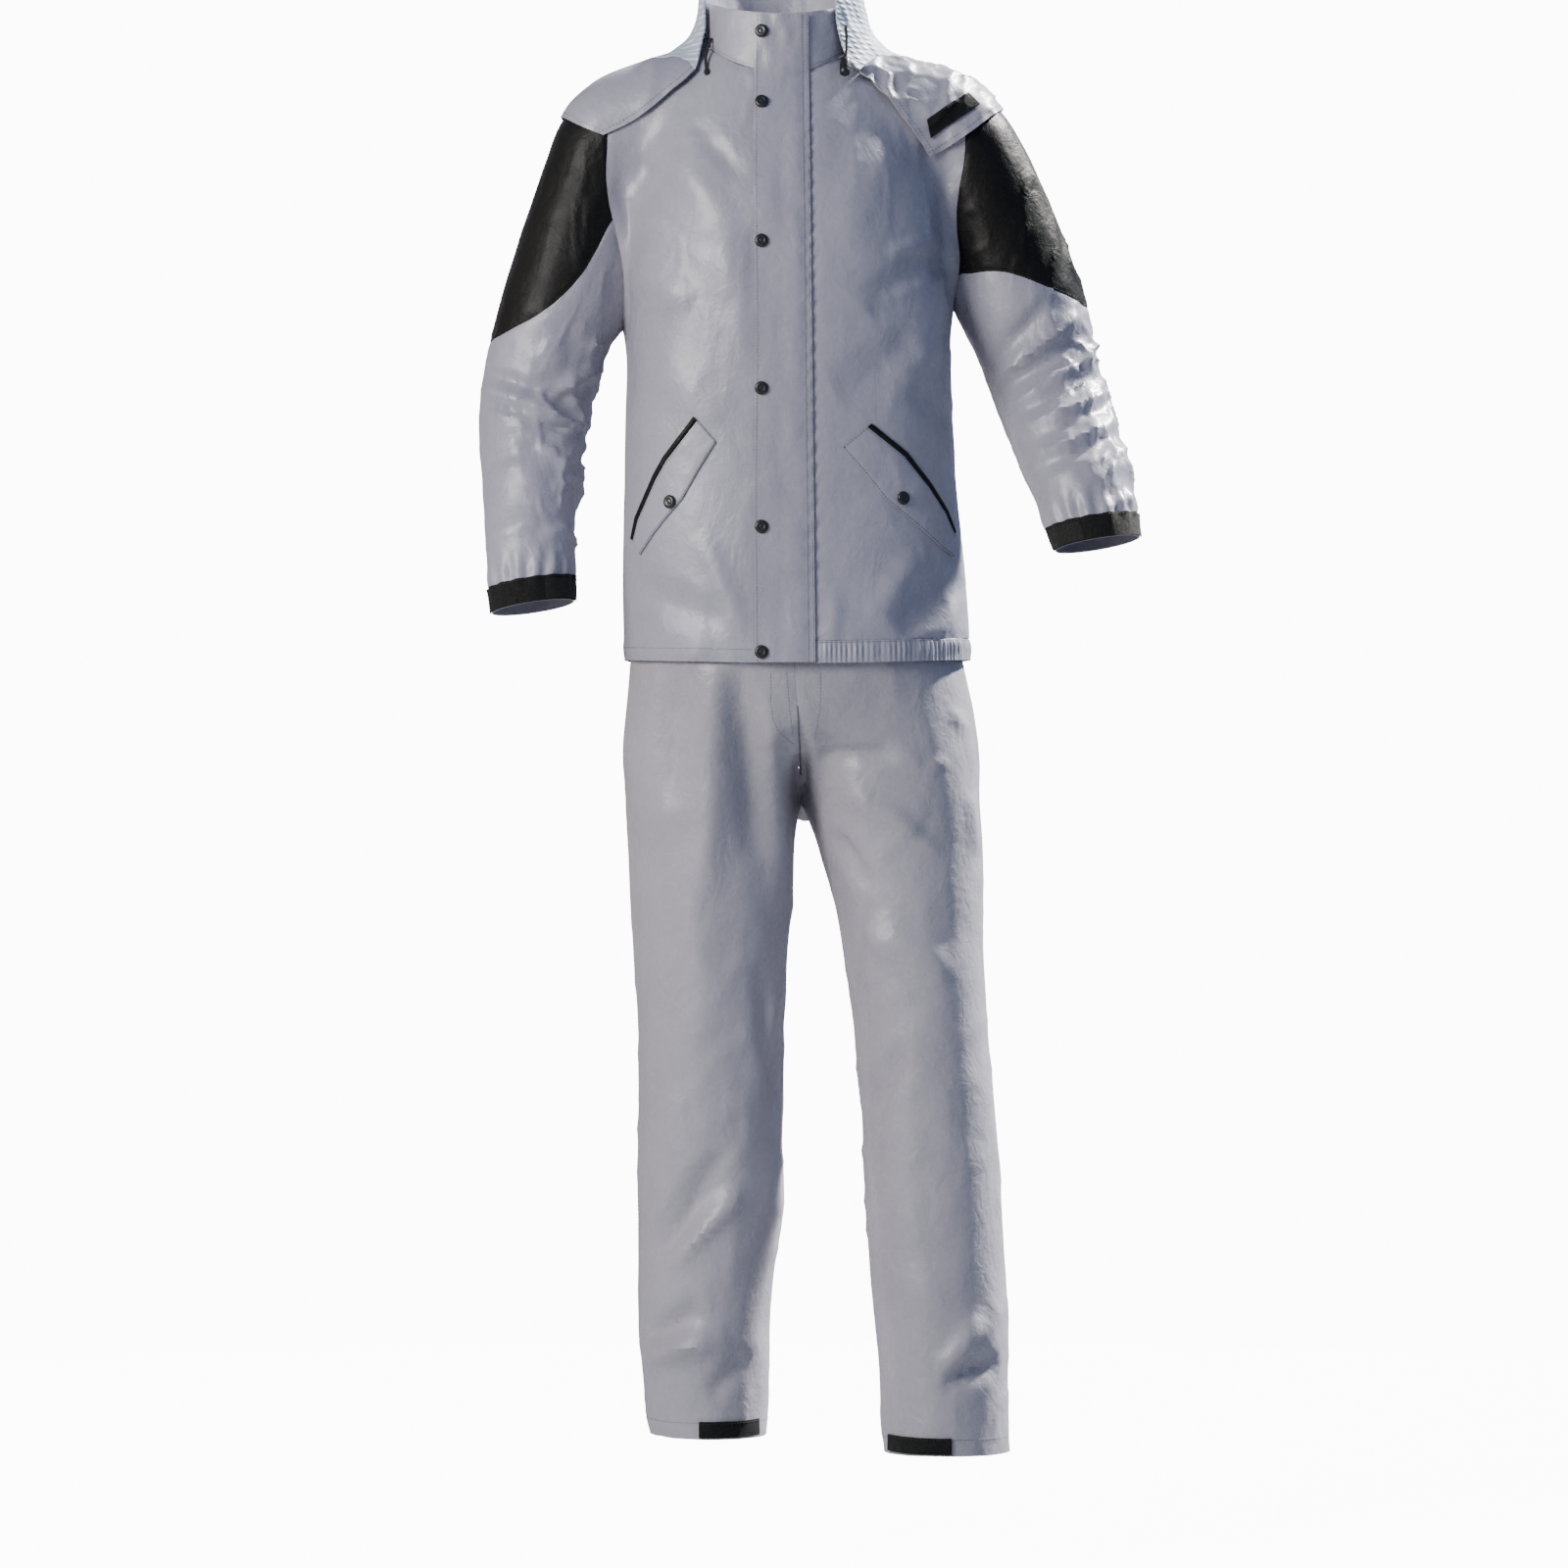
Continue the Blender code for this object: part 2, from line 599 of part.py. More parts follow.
def jacket_seams():
    """The seam lines that the jacket's pieces share."""
    seams = {}
    start = math.asin(FRONT_X / NECK_X)
    quarter = math.pi / 2
    for side in (-1, 1):
        angles = np.linspace(start, side * quarter, NECK_COLUMNS + 1)
        seams["neck", side] = settle(neck_ring(angles, (NECK_X, NECK_Y), NECK_Z), jacket)
    angles = np.linspace(quarter, 3 * quarter, 2 * NECK_COLUMNS + 1)
    back = settle(neck_ring(angles, (NECK_X, NECK_Y), NECK_Z), jacket)
    back[0], back[-1] = seams["neck", 1][-1], seams["neck", -1][-1]
    seams["neck", "back"] = back
    columns = NECK_COLUMNS + SHOULDER_COLUMNS
    for level, rise in (("hem", 0.0), ("casing", CASING_HEIGHT)):
        for part, a, b, count in (
            (-1, 0, -quarter, columns),
            (1, 0, quarter, columns),
            ("back", quarter, 3 * quarter, 2 * columns),
        ):
            angles = np.linspace(a, b, count + 1)
            heights = [hem_height(angle) + rise for angle in angles]
            ring = body_ring(angles, heights, BODY_SECTIONS, jacket)
            if part != "back":
                ring[0] = seen([(FRONT_X, heights[0])], jacket)[0]
                ring = seam_line(ring, columns, jacket)
            seams[level, part] = ring
    for level in ("hem", "casing"):
        seams[level, "back"][0] = seams[level, 1][-1]
        seams[level, "back"][-1] = seams[level, -1][-1]
    rows = ARM_ROWS + SIDE_ROWS
    for side, shoulder, armhole in (
        (-1, SHOULDER_RIGHT, ARMHOLE_RIGHT),
        (1, SHOULDER_LEFT, ARMHOLE_LEFT),
    ):
        neck_side = seams["neck", side][-1]
        line = seam_line([neck_side, *shoulder], SHOULDER_COLUMNS, jacket)
        line[0] = neck_side
        seams["shoulder", side] = line
        pit = armpit(side)
        for face in (-1, 1):
            places = seen(armhole, jacket, face)
            hole = seam_line([line[-1], *places, pit], ARM_ROWS, jacket)
            hole[0], hole[-1] = line[-1], pit
            seams["armhole", side, face] = hole
        low = seams["casing", side][-1]
        guide = [pit]
        for z in np.linspace(pit[2], low[2], 6)[1:-1]:
            guide.extend(body_ring([side * quarter], [z], BODY_SECTIONS, jacket))
        edge = seam_line([*guide, low], SIDE_ROWS, jacket)
        edge[0], edge[-1] = pit, low
        seams["side", side] = edge
        level = "hem" if side < 0 else "casing"
        high, low = seams["neck", side][0], seams[level, side][0]
        places = [(FRONT_X, z) for z in np.linspace(high[2], low[2], rows + (2 if side < 0 else 1))]
        line = seen(places, jacket)
        line[0], line[-1] = high, low
        seams["centre", side] = line
    return seams


def front_piece(side, seams):
    """One jacket front, from the centre to its armhole and side seam."""
    level = "hem" if side < 0 else "casing"
    top = joined(seams["neck", side], seams["shoulder", side])
    outer = joined(seams["armhole", side, -1], seams["side", side])
    if side < 0:
        outer = np.concatenate([outer, seams["hem", side][-1:]])
    return patch(top, seams[level, side], seams["centre", side], outer, jacket)


def back_piece(seams):
    """The jacket's back, from shoulder to shoulder and down to the casing."""
    top = joined(seams["shoulder", 1][::-1], seams["neck", "back"], seams["shoulder", -1])
    left = joined(seams["armhole", 1, 1], seams["side", 1])
    right = joined(seams["armhole", -1, 1], seams["side", -1])
    return patch(top, seams["casing", "back"], left, right, jacket)


def hem_casing(seams):
    """The gathered hem casing, from the left front's centre round the back to the right side seam."""
    top = joined(seams["casing", 1], seams["casing", "back"])
    low = joined(seams["hem", 1], seams["hem", "back"])
    count = 2 * CASING_WAVES
    top, low = resampled(top, count), resampled(low, count)
    rows = []
    for share in (0.0, 0.25, 0.72, 1.0):
        row = top * (1 - share) + low * share
        height = row[:, 2].copy()
        row = settle(row, jacket)
        row[:, 2] = height
        rows.append(row)
    grid = np.array(rows)
    normals = outward(grid, jacket)
    grid = pulled_back(grid, normals, "tlr")
    wave = CASING_WAVE * (1 - (-1.0) ** np.arange(count + 1))
    clear_of_flap = np.clip((grid[0, :, 0] - FLAP_SEWN_HEM_X) / 12, 0, 1)
    clear_of_flap[grid[0, :, 1] > 0] = 1
    wave = wave * clear_of_flap
    wave[[0, -1]] = 0
    for i, share in enumerate((0.25, 1.0, 1.0, 0.5)):
        grid[i] += normals[i] * (wave * share)[:, None]
    return cloth_wall("hem_casing", grid, grid - CLOTH * normals, "grey_cloth")


def collar(seams):
    """The stand collar, a band with its two ends under the storm flap."""
    base = joined(seams["neck", 1], seams["neck", "back"], seams["neck", -1][::-1])
    start = math.asin(FRONT_X / NECK_X)
    turns = np.concatenate([
        np.linspace(start, math.pi / 2, NECK_COLUMNS + 1),
        np.linspace(math.pi / 2, 1.5 * math.pi, 2 * NECK_COLUMNS + 1)[1:],
        np.linspace(1.5 * math.pi, 2 * math.pi + start, NECK_COLUMNS + 1)[1:],
    ])
    top = neck_ring(turns, (COLLAR_TOP_X, COLLAR_TOP_Y), COLLAR_TOP_Z)
    share = np.linspace(0, 1, COLLAR_ROWS + 1)[:, None, None]
    grid = (1 - share) * base + share * top
    normals = unit(grid * (1, 1, 0))
    grid = pulled_back(grid, normals, "tlr")
    return cloth_wall("collar", grid, grid - CLOTH * normals, "grey_cloth")


def arm_form(side, points):
    """The jacket's arm alone, with its folds."""
    return chain_distance(points, *ARMS[side]) - fold_height(points, JACKET_FOLDS)


def sleeve_pieces(side, seams, name):
    """One sleeve: the black panel over the shoulder, the grey tube below it and the cuff tab."""
    front, back = seams["armhole", side, -1], seams["armhole", side, 1]
    guide = PANEL_SEAM_RIGHT if side < 0 else PANEL_SEAM_LEFT
    tip_front = int(np.argmin(np.linalg.norm(front[:, [0, 2]] - guide[0], axis=1)))
    tip_back = int(np.argmin(np.linalg.norm(back[:, [0, 2]] - guide[0], axis=1)))
    outer = settle([(guide[-1][0], 10, guide[-1][1])], jacket)[0]
    line = [front[tip_front], *seen(guide[1:-1], jacket, -1), outer]
    line += [*seen(guide[1:-1], jacket, 1)[::-1], back[tip_back]]
    seam = seam_line(line, tip_front + tip_back, jacket)
    seam[0], seam[-1] = front[tip_front], back[tip_back]
    top = np.concatenate([front[tip_front::-1], back[1 : tip_back + 1]])
    ends = [np.repeat(seam[i][None], PANEL_ROWS + 1, 0) for i in (0, -1)]
    black = patch(top, seam, *ends, jacket)
    normals = outward(black, jacket)
    drawn = pulled_back(black, normals, "tb")
    middle = PANEL_ROWS // 2
    for column, inside in ((0, 1), (-1, -2)):
        drawn[:, column] = seam[column] + 2.5 * SEAM_GAP * unit(black[middle, inside] - seam[column])
    cloth_wall(f"sleeve_black_{name}", drawn, drawn - CLOTH * normals, "black_cloth")

    ring = np.empty((AROUND, 3))
    for k in range(AROUND):
        if k <= tip_front:
            ring[k] = seam[tip_front - k]
        elif k >= AROUND - tip_back:
            ring[k] = seam[tip_front + AROUND - k]
        else:
            ring[k] = front[k] if k <= ARM_ROWS else back[AROUND - k]
    centres = ARMS[side][0]
    run = np.concatenate([[0], np.cumsum(np.linalg.norm(np.diff(centres, axis=0), axis=1))])
    end = run[-1]
    first = np.interp(-SLEEVE_START, -centres[:, 2], run)
    gather = end - CUFF - 16
    stations = [*np.linspace(first, gather - 34, SLEEVE_RINGS - 3), gather, end - CUFF, end]
    rows = [ring]
    turn = 2 * math.pi * np.arange(AROUND) / AROUND
    whole = []
    for station in stations:
        centre = np.array([np.interp(station, run, centres[:, axis]) for axis in range(3)])
        ahead = np.array([np.interp(station + 8, run, centres[:, axis]) for axis in range(3)])
        behind = np.array([np.interp(station - 8, run, centres[:, axis]) for axis in range(3)])
        near_cuff = np.clip((station - (end - 130)) / 100, 0, 1)
        axis = unit(unit(ahead - behind) * (1 - near_cuff) + np.array(CUFF_AXIS) * near_cuff)
        out = unit(np.array([side, 0, 0]) - side * axis[0] * axis)
        forward = np.cross(axis, out)
        forward *= -np.sign(forward[1])
        ways = out * np.cos(turn)[:, None] + forward * np.sin(turn)[:, None]
        whole.append(cast(centre, centre + 50 * ways, jacket))

    stack = [ring, ring * 2 / 3 + whole[0] / 3, ring / 3 + whole[0] * 2 / 3, whole[0]]
    for _ in range(6):
        for i in (1, 2):
            row = stack[i]
            mean = (np.roll(row, 1, 0) + np.roll(row, -1, 0) + stack[i - 1] + stack[i + 1]) / 4
            stack[i] = settle(row * 0.4 + mean * 0.6, partial(arm_form, side))
    upper = stack[1:3]
    grid = np.array([*rows, *upper, *whole])
    normals = outward(grid, jacket)
    grid = pulled_back(grid, normals, "t")
    wave = (-1.0) ** np.arange(AROUND)
    for row, share in ((-4, 0.35), (-3, 1.0), (-2, 0.4)):
        grid[row] += normals[row] * (CUFF_WAVE * share * wave)[:, None]
    cloth_wall(f"sleeve_grey_{name}", grid, grid - CLOTH * normals, "grey_cloth", around=True)
    tab = grid[-2:, : ARM_ROWS + 1]
    away = normals[-2:, : ARM_ROWS + 1]
    cloth_wall(f"cuff_tab_{name}", tab + (LAY_GAP + TRIM) * away, tab + LAY_GAP * away, "black_tape")


def tree_of(*objects):
    """A search tree of the objects' faces, in metres."""
    verts, faces = [], []
    for obj in objects:
        start = len(verts)
        verts += [v.co.copy() for v in obj.data.vertices]
        for polygon in obj.data.polygons:
            faces.append([start + v for v in polygon.vertices])
    return BVHTree.FromPolygons(verts, faces)


def on_faces(places, tree, side=-1):
    """The points where rays from the front, or from behind at side 1, meet the faces at (x, z).

    A ray that slips through a seam's gap takes the depth of the nearest of the rays beside it.
    """
    points = []
    beside = ((0.0, 0.0), (0.0, 0.7), (0.0, -0.7), (0.7, 0.0), (-0.7, 0.0))
    for x, z in np.reshape(places, (-1, 2)):
        depths = []
        for dx, dz in beside:
            start = Vector((x + dx, side * 400.0, z + dz)) * MM
            hit = tree.ray_cast(start, Vector((0, -side, 0)))[0]
            depths.append(-side * 1000.0 if hit is None else hit[1] / MM)
        depth = depths[0]
        nearest = side * max(side * d for d in depths)
        if side * (nearest - depth) > 2.0:
            depth = nearest
        points.append((x, depth, z))
    return np.array(points).reshape((*np.shape(places)[:-1], 3))


def laid_wall(name, places, tree, field, slot, gap=LAY_GAP, thickness=TRIM):
    """A piece that lies on others: their face's points at a grid of (x, z) places, moved out."""
    base = on_faces(places, tree)
    away = outward(base, field)
    return cloth_wall(name, base + (gap + thickness) * away, base + gap * away, slot)


def between_lines(first, last, columns, rows):
    """A grid of (x, z) places between two lines, each an even run of points."""
    lines = []
    for line in (first, last):
        flat = resampled([(x, 0, z) for x, z in line], columns)
        lines.append(flat[:, [0, 2]])
    share = np.linspace(0, 1, rows + 1)[:, None, None]
    return (1 - share) * lines[0] + share * lines[1]


def storm_flap(tree, seams):
    """The flap over the front opening, from the collar's top edge to the hem, in the fronts' own rows."""
    collar_top = COLLAR_TOP_Z[0] + COLLAR_TOP_Z[1] - 1.5
    centre = seams["centre", -1][:, 2]
    heights = np.concatenate([np.linspace(collar_top, centre[0], COLLAR_ROWS + 1), centre[1:]])
    heights[-1] += 1.0
    sewn = np.interp(heights, (HEM_FRONT, collar_top), (FLAP_SEWN_HEM_X, FLAP_SEWN_TOP_X))
    share = np.linspace(0, 1, FLAP_COLUMNS + 1)
    x = FLAP_FREE_X + (sewn[:, None] - FLAP_FREE_X) * share
    places = np.stack([x, heights[:, None] + 0 * x], -1)
    base = on_faces(places, tree)
    out = np.array([0.0, -1.0, 0.0])
    outer = base + (FLAP_LAY_GAP + TRIM) * out
    return cloth_wall("storm_flap", outer, base + FLAP_LAY_GAP * out, "grey_cloth")


def snap(name, place_xz, tree, field):
    """A round snap cap, standing on the cloth at (x, z)."""
    shape = bmesh.new()
    bmesh.ops.create_cone(
        shape,
        cap_ends=True,
        segments=16,
        radius1=SNAP_RADIUS * MM,
        radius2=SNAP_CROWN * MM,
        depth=SNAP_HEIGHT * MM,
    )
    mesh = bpy.data.meshes.new(name)
    shape.to_mesh(mesh)
    shape.free()
    base = on_faces([place_xz], tree)
    ways = base + 4 * np.array([[0, 0, 0], [1, 0, 0], [-1, 0, 0], [0, 0, 1], [0, 0, -1]])
    base_way = outward(settle(ways, field), field).mean(0)
    seat = base[0] + unit(base_way) * (0.45 + SNAP_HEIGHT / 2)
    turn = Vector((0, 0, 1)).rotation_difference(Vector(base_way)).to_matrix().to_4x4()
    place(name, mesh, "black_snap", Matrix.Translation(Vector(seat) * MM) @ turn)


def pocket(side, tree, name):
    """A slanted pocket: its piping, the flap sewn under it and the flap's snap."""
    line, edge = (POCKET_LINE_RIGHT, POCKET_EDGE_RIGHT) if side < 0 else (POCKET_LINE_LEFT, POCKET_EDGE_LEFT)
    places = between_lines(line, edge, POCKET_COLUMNS, POCKET_ROWS)
    strip = unit(places[1] - places[0])
    flap_places = places.copy()
    flap_places[0] = places[0] + strip * (PIPING_WIDTH / 2 + SEAM_GAP)
    flap = laid_wall(f"pocket_flap_{name}", flap_places, tree, jacket, "grey_cloth")
    half = PIPING_WIDTH / 2 * np.linspace(1.0, 0.7, POCKET_COLUMNS + 1)[:, None]
    piping = np.array([places[0] - strip * half, places[0] + strip * half])
    laid_wall(f"pocket_piping_{name}", piping, tree, jacket, "black_cloth", thickness=PIPING_WALL)
    snap(f"snap_pocket_{name}", POCKET_SNAP_RIGHT if side < 0 else POCKET_SNAP_LEFT, tree_of(flap), jacket)


HOOD_RIM_SIZES, HOOD_RIM_Z = (90.0, 93.0), (97.0, -14.0, 3.0)
HOOD_LEVEL = 8.0  # height of the hood's outer face over the jacket on the shoulders
HOOD_EDGE_LEVEL = 4.6  # and at its edges
HOOD_FRONT_RIGHT, HOOD_FRONT_LEFT = -68.0, 42.0  # angles of its front edges at the rim, from the front
HOOD_SEAM_RIGHT = ((-94, 8), (-105, 21), (-117, 27), (-138, 22))  # seen from the front
HOOD_SEAM_LEFT = ((86, 6), (100, 20), (114, 28), (128, 26))
HOOD_TOP_RIGHT, HOOD_TOP_LEFT = (-148, 22, 24), (138, 22, 26)
FLAP_FRONT_RIGHT = ((-106, -4), (-124, -18), (-142, -34), (-160, -47), (-184, -59), (-195, -63))
FLAP_FRONT_LEFT = ((98, -2), (111, -17), (128, -37), (145, -59), (165, -88))
FLAP_END_RIGHT, FLAP_END_LEFT = ((-221, -52),), ((198, -67),)
FLAP_POINT_RIGHT, FLAP_POINT_LEFT = (-244, 10, -36), (239, 4, -34)
HOOD_COLUMNS = (10, 12, 10)  # along the seam: right flap, back of the neck, left flap
HOOD_ROWS, FLAP_SIDE_ROWS = 4, 7
BAG_ROWS, BAG_COLUMNS, BAG_SIDE_ROWS = 9, 12, 3
BAG_TOP, BAG_TOP_SIDE, BAG_BOTTOM = 46.0, 22.0, -234.0
BAG_WIDTH, BAG_BULGE_X, BAG_DEPTH = 106.0, 30.0, 50.0
BAG_FOOT_IN, BAG_FOOT_RISE = 22.0, 34.0
NAPE_TURN, NAPE_RADIUS = math.radians(60), 89.0
HOOD_WAIST, HOOD_WAIST_RISE, HOOD_RIM_TURN = 1.02, 16.0, 20.0
BLADE_IN, BLADE_BACK, BLADE_DROP = 34.0, 60.0, 26.0  # from a flap's point to its edge on the shoulder blade
HOOK_PATCH = ((204, -16), (217, -29), (163, -67), (159, -47))


def bag_places():
    """The (x, z) places of the hood's bag on the back, and how far it stands off the jacket there."""
    u = np.linspace(-1, 1, BAG_COLUMNS + 1)[None, :]
    v = np.linspace(0, 1, BAG_ROWS + 1)[:, None]
    half = BAG_WIDTH + BAG_BULGE_X * np.sin(np.pi * v**0.8) - BAG_FOOT_IN * v**3
    top = BAG_TOP + (BAG_TOP_SIDE - BAG_TOP) * np.abs(u) ** 2.2
    bottom = BAG_BOTTOM + BAG_FOOT_RISE * np.abs(u) ** 3
    x = half * u
    z = top * (1 - v) + bottom * v
    stand = (1 - np.abs(u) ** 2.4) ** 0.8 * np.cos(0.5 * np.pi * v**2.2)
    return np.stack([x, z + 0 * x], -1), BAG_DEPTH * stand


def hood_pieces():
    """The hood, laid open: a neck part round the collar, a flap on each shoulder and the bag on the back."""
    places, stand = bag_places()
    shape = places.shape[:2]
    back = seen(places.reshape(-1, 2), jacket, 1, HOOD_EDGE_LEVEL).reshape((*shape, 3))
    bag = back + stand[..., None] * np.array([0.0, 1.0, 0.0])
    normals = grid_normals(bag, np.array([0.0, 60.0, -60.0]))
    cloth_wall("hood_bag", bag, bag - CLOTH * normals, "grey_cloth")

    junction = {-1: back[0, 0], 1: back[0, -1]}
    lines = {}
    for side, front, top in (
        (-1, HOOD_SEAM_RIGHT, HOOD_TOP_RIGHT),
        (1, HOOD_SEAM_LEFT, HOOD_TOP_LEFT),
    ):
        shoulder = settle([top], jacket, HOOD_LEVEL)[0]
        behind = settle([shoulder * 0.5 + junction[side] * 0.5], jacket, HOOD_LEVEL)[0]
        guide = [*seen(front, jacket, -1, HOOD_LEVEL), shoulder, behind, junction[side]]
        count = HOOD_COLUMNS[0] if side < 0 else HOOD_COLUMNS[2]
        heights = [HOOD_LEVEL, HOOD_LEVEL, HOOD_EDGE_LEVEL]
        level = np.interp(np.arange(count + 1), [0, count - 2, count], heights)
        line = settle(resampled(guide, count), jacket, level)
        line[-1] = junction[side]
        lines[side] = line
    turns = NAPE_TURN * np.linspace(0.75, -0.75, 7)
    neck = np.stack([NAPE_RADIUS * np.sin(turns), NAPE_RADIUS * np.cos(turns), 0 * turns + BAG_TOP], 1)
    neck = settle(neck, jacket, HOOD_EDGE_LEVEL)
    behind = resampled([junction[1], *neck, junction[-1]], HOOD_COLUMNS[1])
    behind[1:-1] = settle(behind[1:-1], jacket, HOOD_EDGE_LEVEL)
    seam = joined(lines[1], behind, lines[-1][::-1])
    turns = np.radians(np.linspace(HOOD_FRONT_LEFT, 360 + HOOD_FRONT_RIGHT, len(seam)))
    rim = neck_ring(turns, HOOD_RIM_SIZES, HOOD_RIM_Z)
    waist = rim * (HOOD_WAIST, HOOD_WAIST, 0)
    waist[:, 2] = np.minimum(seam[:, 2] + HOOD_WAIST_RISE, rim[:, 2] - HOOD_RIM_TURN)
    share = np.linspace(0, 1, HOOD_ROWS + 1)[:, None, None]
    grid = (1 - share) ** 2 * rim + 2 * share * (1 - share) * waist + share**2 * seam
    flat = grid[1:-1].reshape(-1, 3)
    low = jacket(flat) < HOOD_EDGE_LEVEL
    flat[low] = settle(flat[low], jacket, HOOD_EDGE_LEVEL)
    grid[1:-1] = flat.reshape(grid[1:-1].shape)
    normals = grid_normals(grid, np.array([0.0, 0.0, -40.0]))
    grid = pulled_back(grid, normals, "b", 2 * SEAM_GAP)
    cloth_wall("hood_neck", grid, grid - CLOTH * normals, "hood_lining")

    flaps = {}
    for side, name, front, end, point in (
        (-1, "right", FLAP_FRONT_RIGHT, FLAP_END_RIGHT, FLAP_POINT_RIGHT),
        (1, "left", FLAP_FRONT_LEFT, FLAP_END_LEFT, FLAP_POINT_LEFT),
    ):
        bag_edge = back[: BAG_SIDE_ROWS + 1, 0 if side < 0 else -1]
        count = len(lines[side]) - 1
        front_points = seen(front, jacket, -1, HOOD_LEVEL)
        fronts = resampled([lines[side][0], *front_points], FLAP_SIDE_ROWS)
        fronts[1:] = settle(fronts[1:], jacket, np.linspace(HOOD_LEVEL, HOOD_EDGE_LEVEL, FLAP_SIDE_ROWS))
        behind = resampled(bag_edge, FLAP_SIDE_ROWS)
        tip = settle([point], jacket, HOOD_EDGE_LEVEL)[0]
        blade = settle([tip + (-side * BLADE_IN, BLADE_BACK, -BLADE_DROP)], jacket, HOOD_EDGE_LEVEL)[0]
        guide = [fronts[-1], *seen(end, jacket, -1, HOOD_EDGE_LEVEL), tip, blade, behind[-1]]
        low = resampled(guide, count)
        low[1:-1] = settle(low[1:-1], jacket, HOOD_EDGE_LEVEL)
        level = np.full((FLAP_SIDE_ROWS + 1, count + 1), HOOD_LEVEL)
        level *= np.linspace(1, HOOD_EDGE_LEVEL / HOOD_LEVEL, FLAP_SIDE_ROWS + 1)[:, None]
        level[:, -2] = (HOOD_LEVEL + HOOD_EDGE_LEVEL) / 2
        level = np.maximum(level, HOOD_EDGE_LEVEL)
        flap = patch(lines[side], low, fronts, behind, jacket, level, rounds=8)
        flaps[name] = field_wall(f"hood_flap_{name}", flap, jacket, "grey_cloth", "tr")
    corners = HOOK_PATCH
    places = between_lines((corners[0], corners[3]), (corners[1], corners[2]), 7, 2)
    laid_wall("hood_hook_patch", places, tree_of(flaps["left"]), jacket, "black_tape", gap=1.5)


def trouser_seams():
    """The seam lines that the trouser pieces share."""
    seams = {}
    quarter = math.pi / 2
    crotch = settle([CROTCH], trousers)[0]
    for face, rise in ((-1, RISE_FRONT), (1, RISE_BACK)):
        guide = [*seen(rise, trousers, face), crotch]
        seams["rise", face] = seam_line(guide, RISE_ROWS, trousers)
        seams["rise", face][-1] = crotch
    for side, leg, hem in ((-1, LEG_SECTIONS[0], TROUSER_HEM_RIGHT), (1, LEG_SECTIONS[1], TROUSER_HEM_LEFT)):
        waist = {}
        for face, centre_angle in ((-1, 0), (1, 2 * quarter * side)):
            angles = np.linspace(side * quarter, centre_angle, LEG_COLUMNS + 1)
            ring = body_ring(angles, [WAIST_BOTTOM] * len(angles), HIP_SECTIONS, trousers)
            ring[-1] = seams["rise", face][0]
            waist[face] = ring
            low = np.linspace(0, math.pi, LEG_COLUMNS + 1)
            angles = side * quarter - side * low if face < 0 else side * quarter + side * low
            heights = [hem[0] + (hem[1] - hem[0]) * (1 - math.cos(a)) / 2 for a in angles]
            seams["hem", side, face] = body_ring(angles, heights, leg, trousers)
        waist[1][0] = waist[-1][0]
        for face in (-1, 1):
            seams["waist", side, face] = waist[face]
            seams["hem", side, face][0] = seams["hem", side, -1][0]
            seams["hem", side, face][-1] = seams["hem", side, -1][-1]
        hem_out, hem_in = seams["hem", side, -1][0], seams["hem", side, -1][-1]
        guide = [waist[-1][0]]
        for z in OUTSEAM_HIP_Z:
            guide.extend(body_ring([side * quarter], [z], HIP_SECTIONS, trousers))
        for z in OUTSEAM_LEG_Z:
            guide.extend(body_ring([side * quarter], [z], leg, trousers))
        whole = seam_line([*guide, hem_out], RISE_ROWS + LEG_ROWS, trousers)
        whole[0], whole[-1] = waist[-1][0], hem_out
        seams["outseam", side] = whole
        guide = [crotch]
        for z in INSEAM_Z:
            guide.extend(body_ring([-side * quarter], [z], leg, trousers))
        line = seam_line([*guide, hem_in], LEG_ROWS, trousers)
        line[0], line[-1] = crotch, hem_in
        seams["inseam", side] = line
    return seams


def trouser_piece(side, face, seams):
    """A front or back half leg, from the waistband to the hem."""
    inner = joined(seams["rise", face], seams["inseam", side])
    return patch(
        seams["waist", side, face],
        seams["hem", side, face],
        seams["outseam", side],
        inner,
        trousers,
    )


def waistband(seams):
    """The elastic waistband, a band over the tops of the four leg pieces."""
    ring = joined(
        seams["waist", 1, -1][::-1],
        seams["waist", 1, 1],
        seams["waist", -1, 1][::-1],
        seams["waist", -1, -1],
    )[:-1]
    rows = []
    for height in (WAIST_TOP, WAIST_BOTTOM + SEAM_GAP):
        rows.append(ring + (0, 0, height - WAIST_BOTTOM))
    field_wall("waistband", np.array(rows), trousers, "grey_cloth", "", around=True, thickness=BAND)


def leg_tab(index, tree, name):
    """The hook-and-loop tab at the front of a trouser hem."""
    row = {key: values[index] for key, values in LEG_TABS.items()}
    top, bottom = (((row["x0"], row[edge]), (row["x1"], row[edge])) for edge in ("top", "bottom"))
    places = between_lines(top, bottom, TAB_COLUMNS, 1)
    laid_wall(f"leg_tab_{name}", places, tree, trousers, "black_tape", gap=TAB_GAP)


CORD_RADIUS = 1.6
CORD_RIGHT = ((-76.3, -38.8, 44), (-80.3, -44.8, 33), (-82.8, -52.8, 20), (-81.3, -62.8, 6))
CORD_LEFT = ((70.4, -64, 54.3), (71.4, -65, 43.3), (71.4, -68, 30.3), (70.4, -74, 17.3))
CORD_POINTS = 9
LOCK_RADIUS, LOCK_LENGTH = 6.0, 19.0


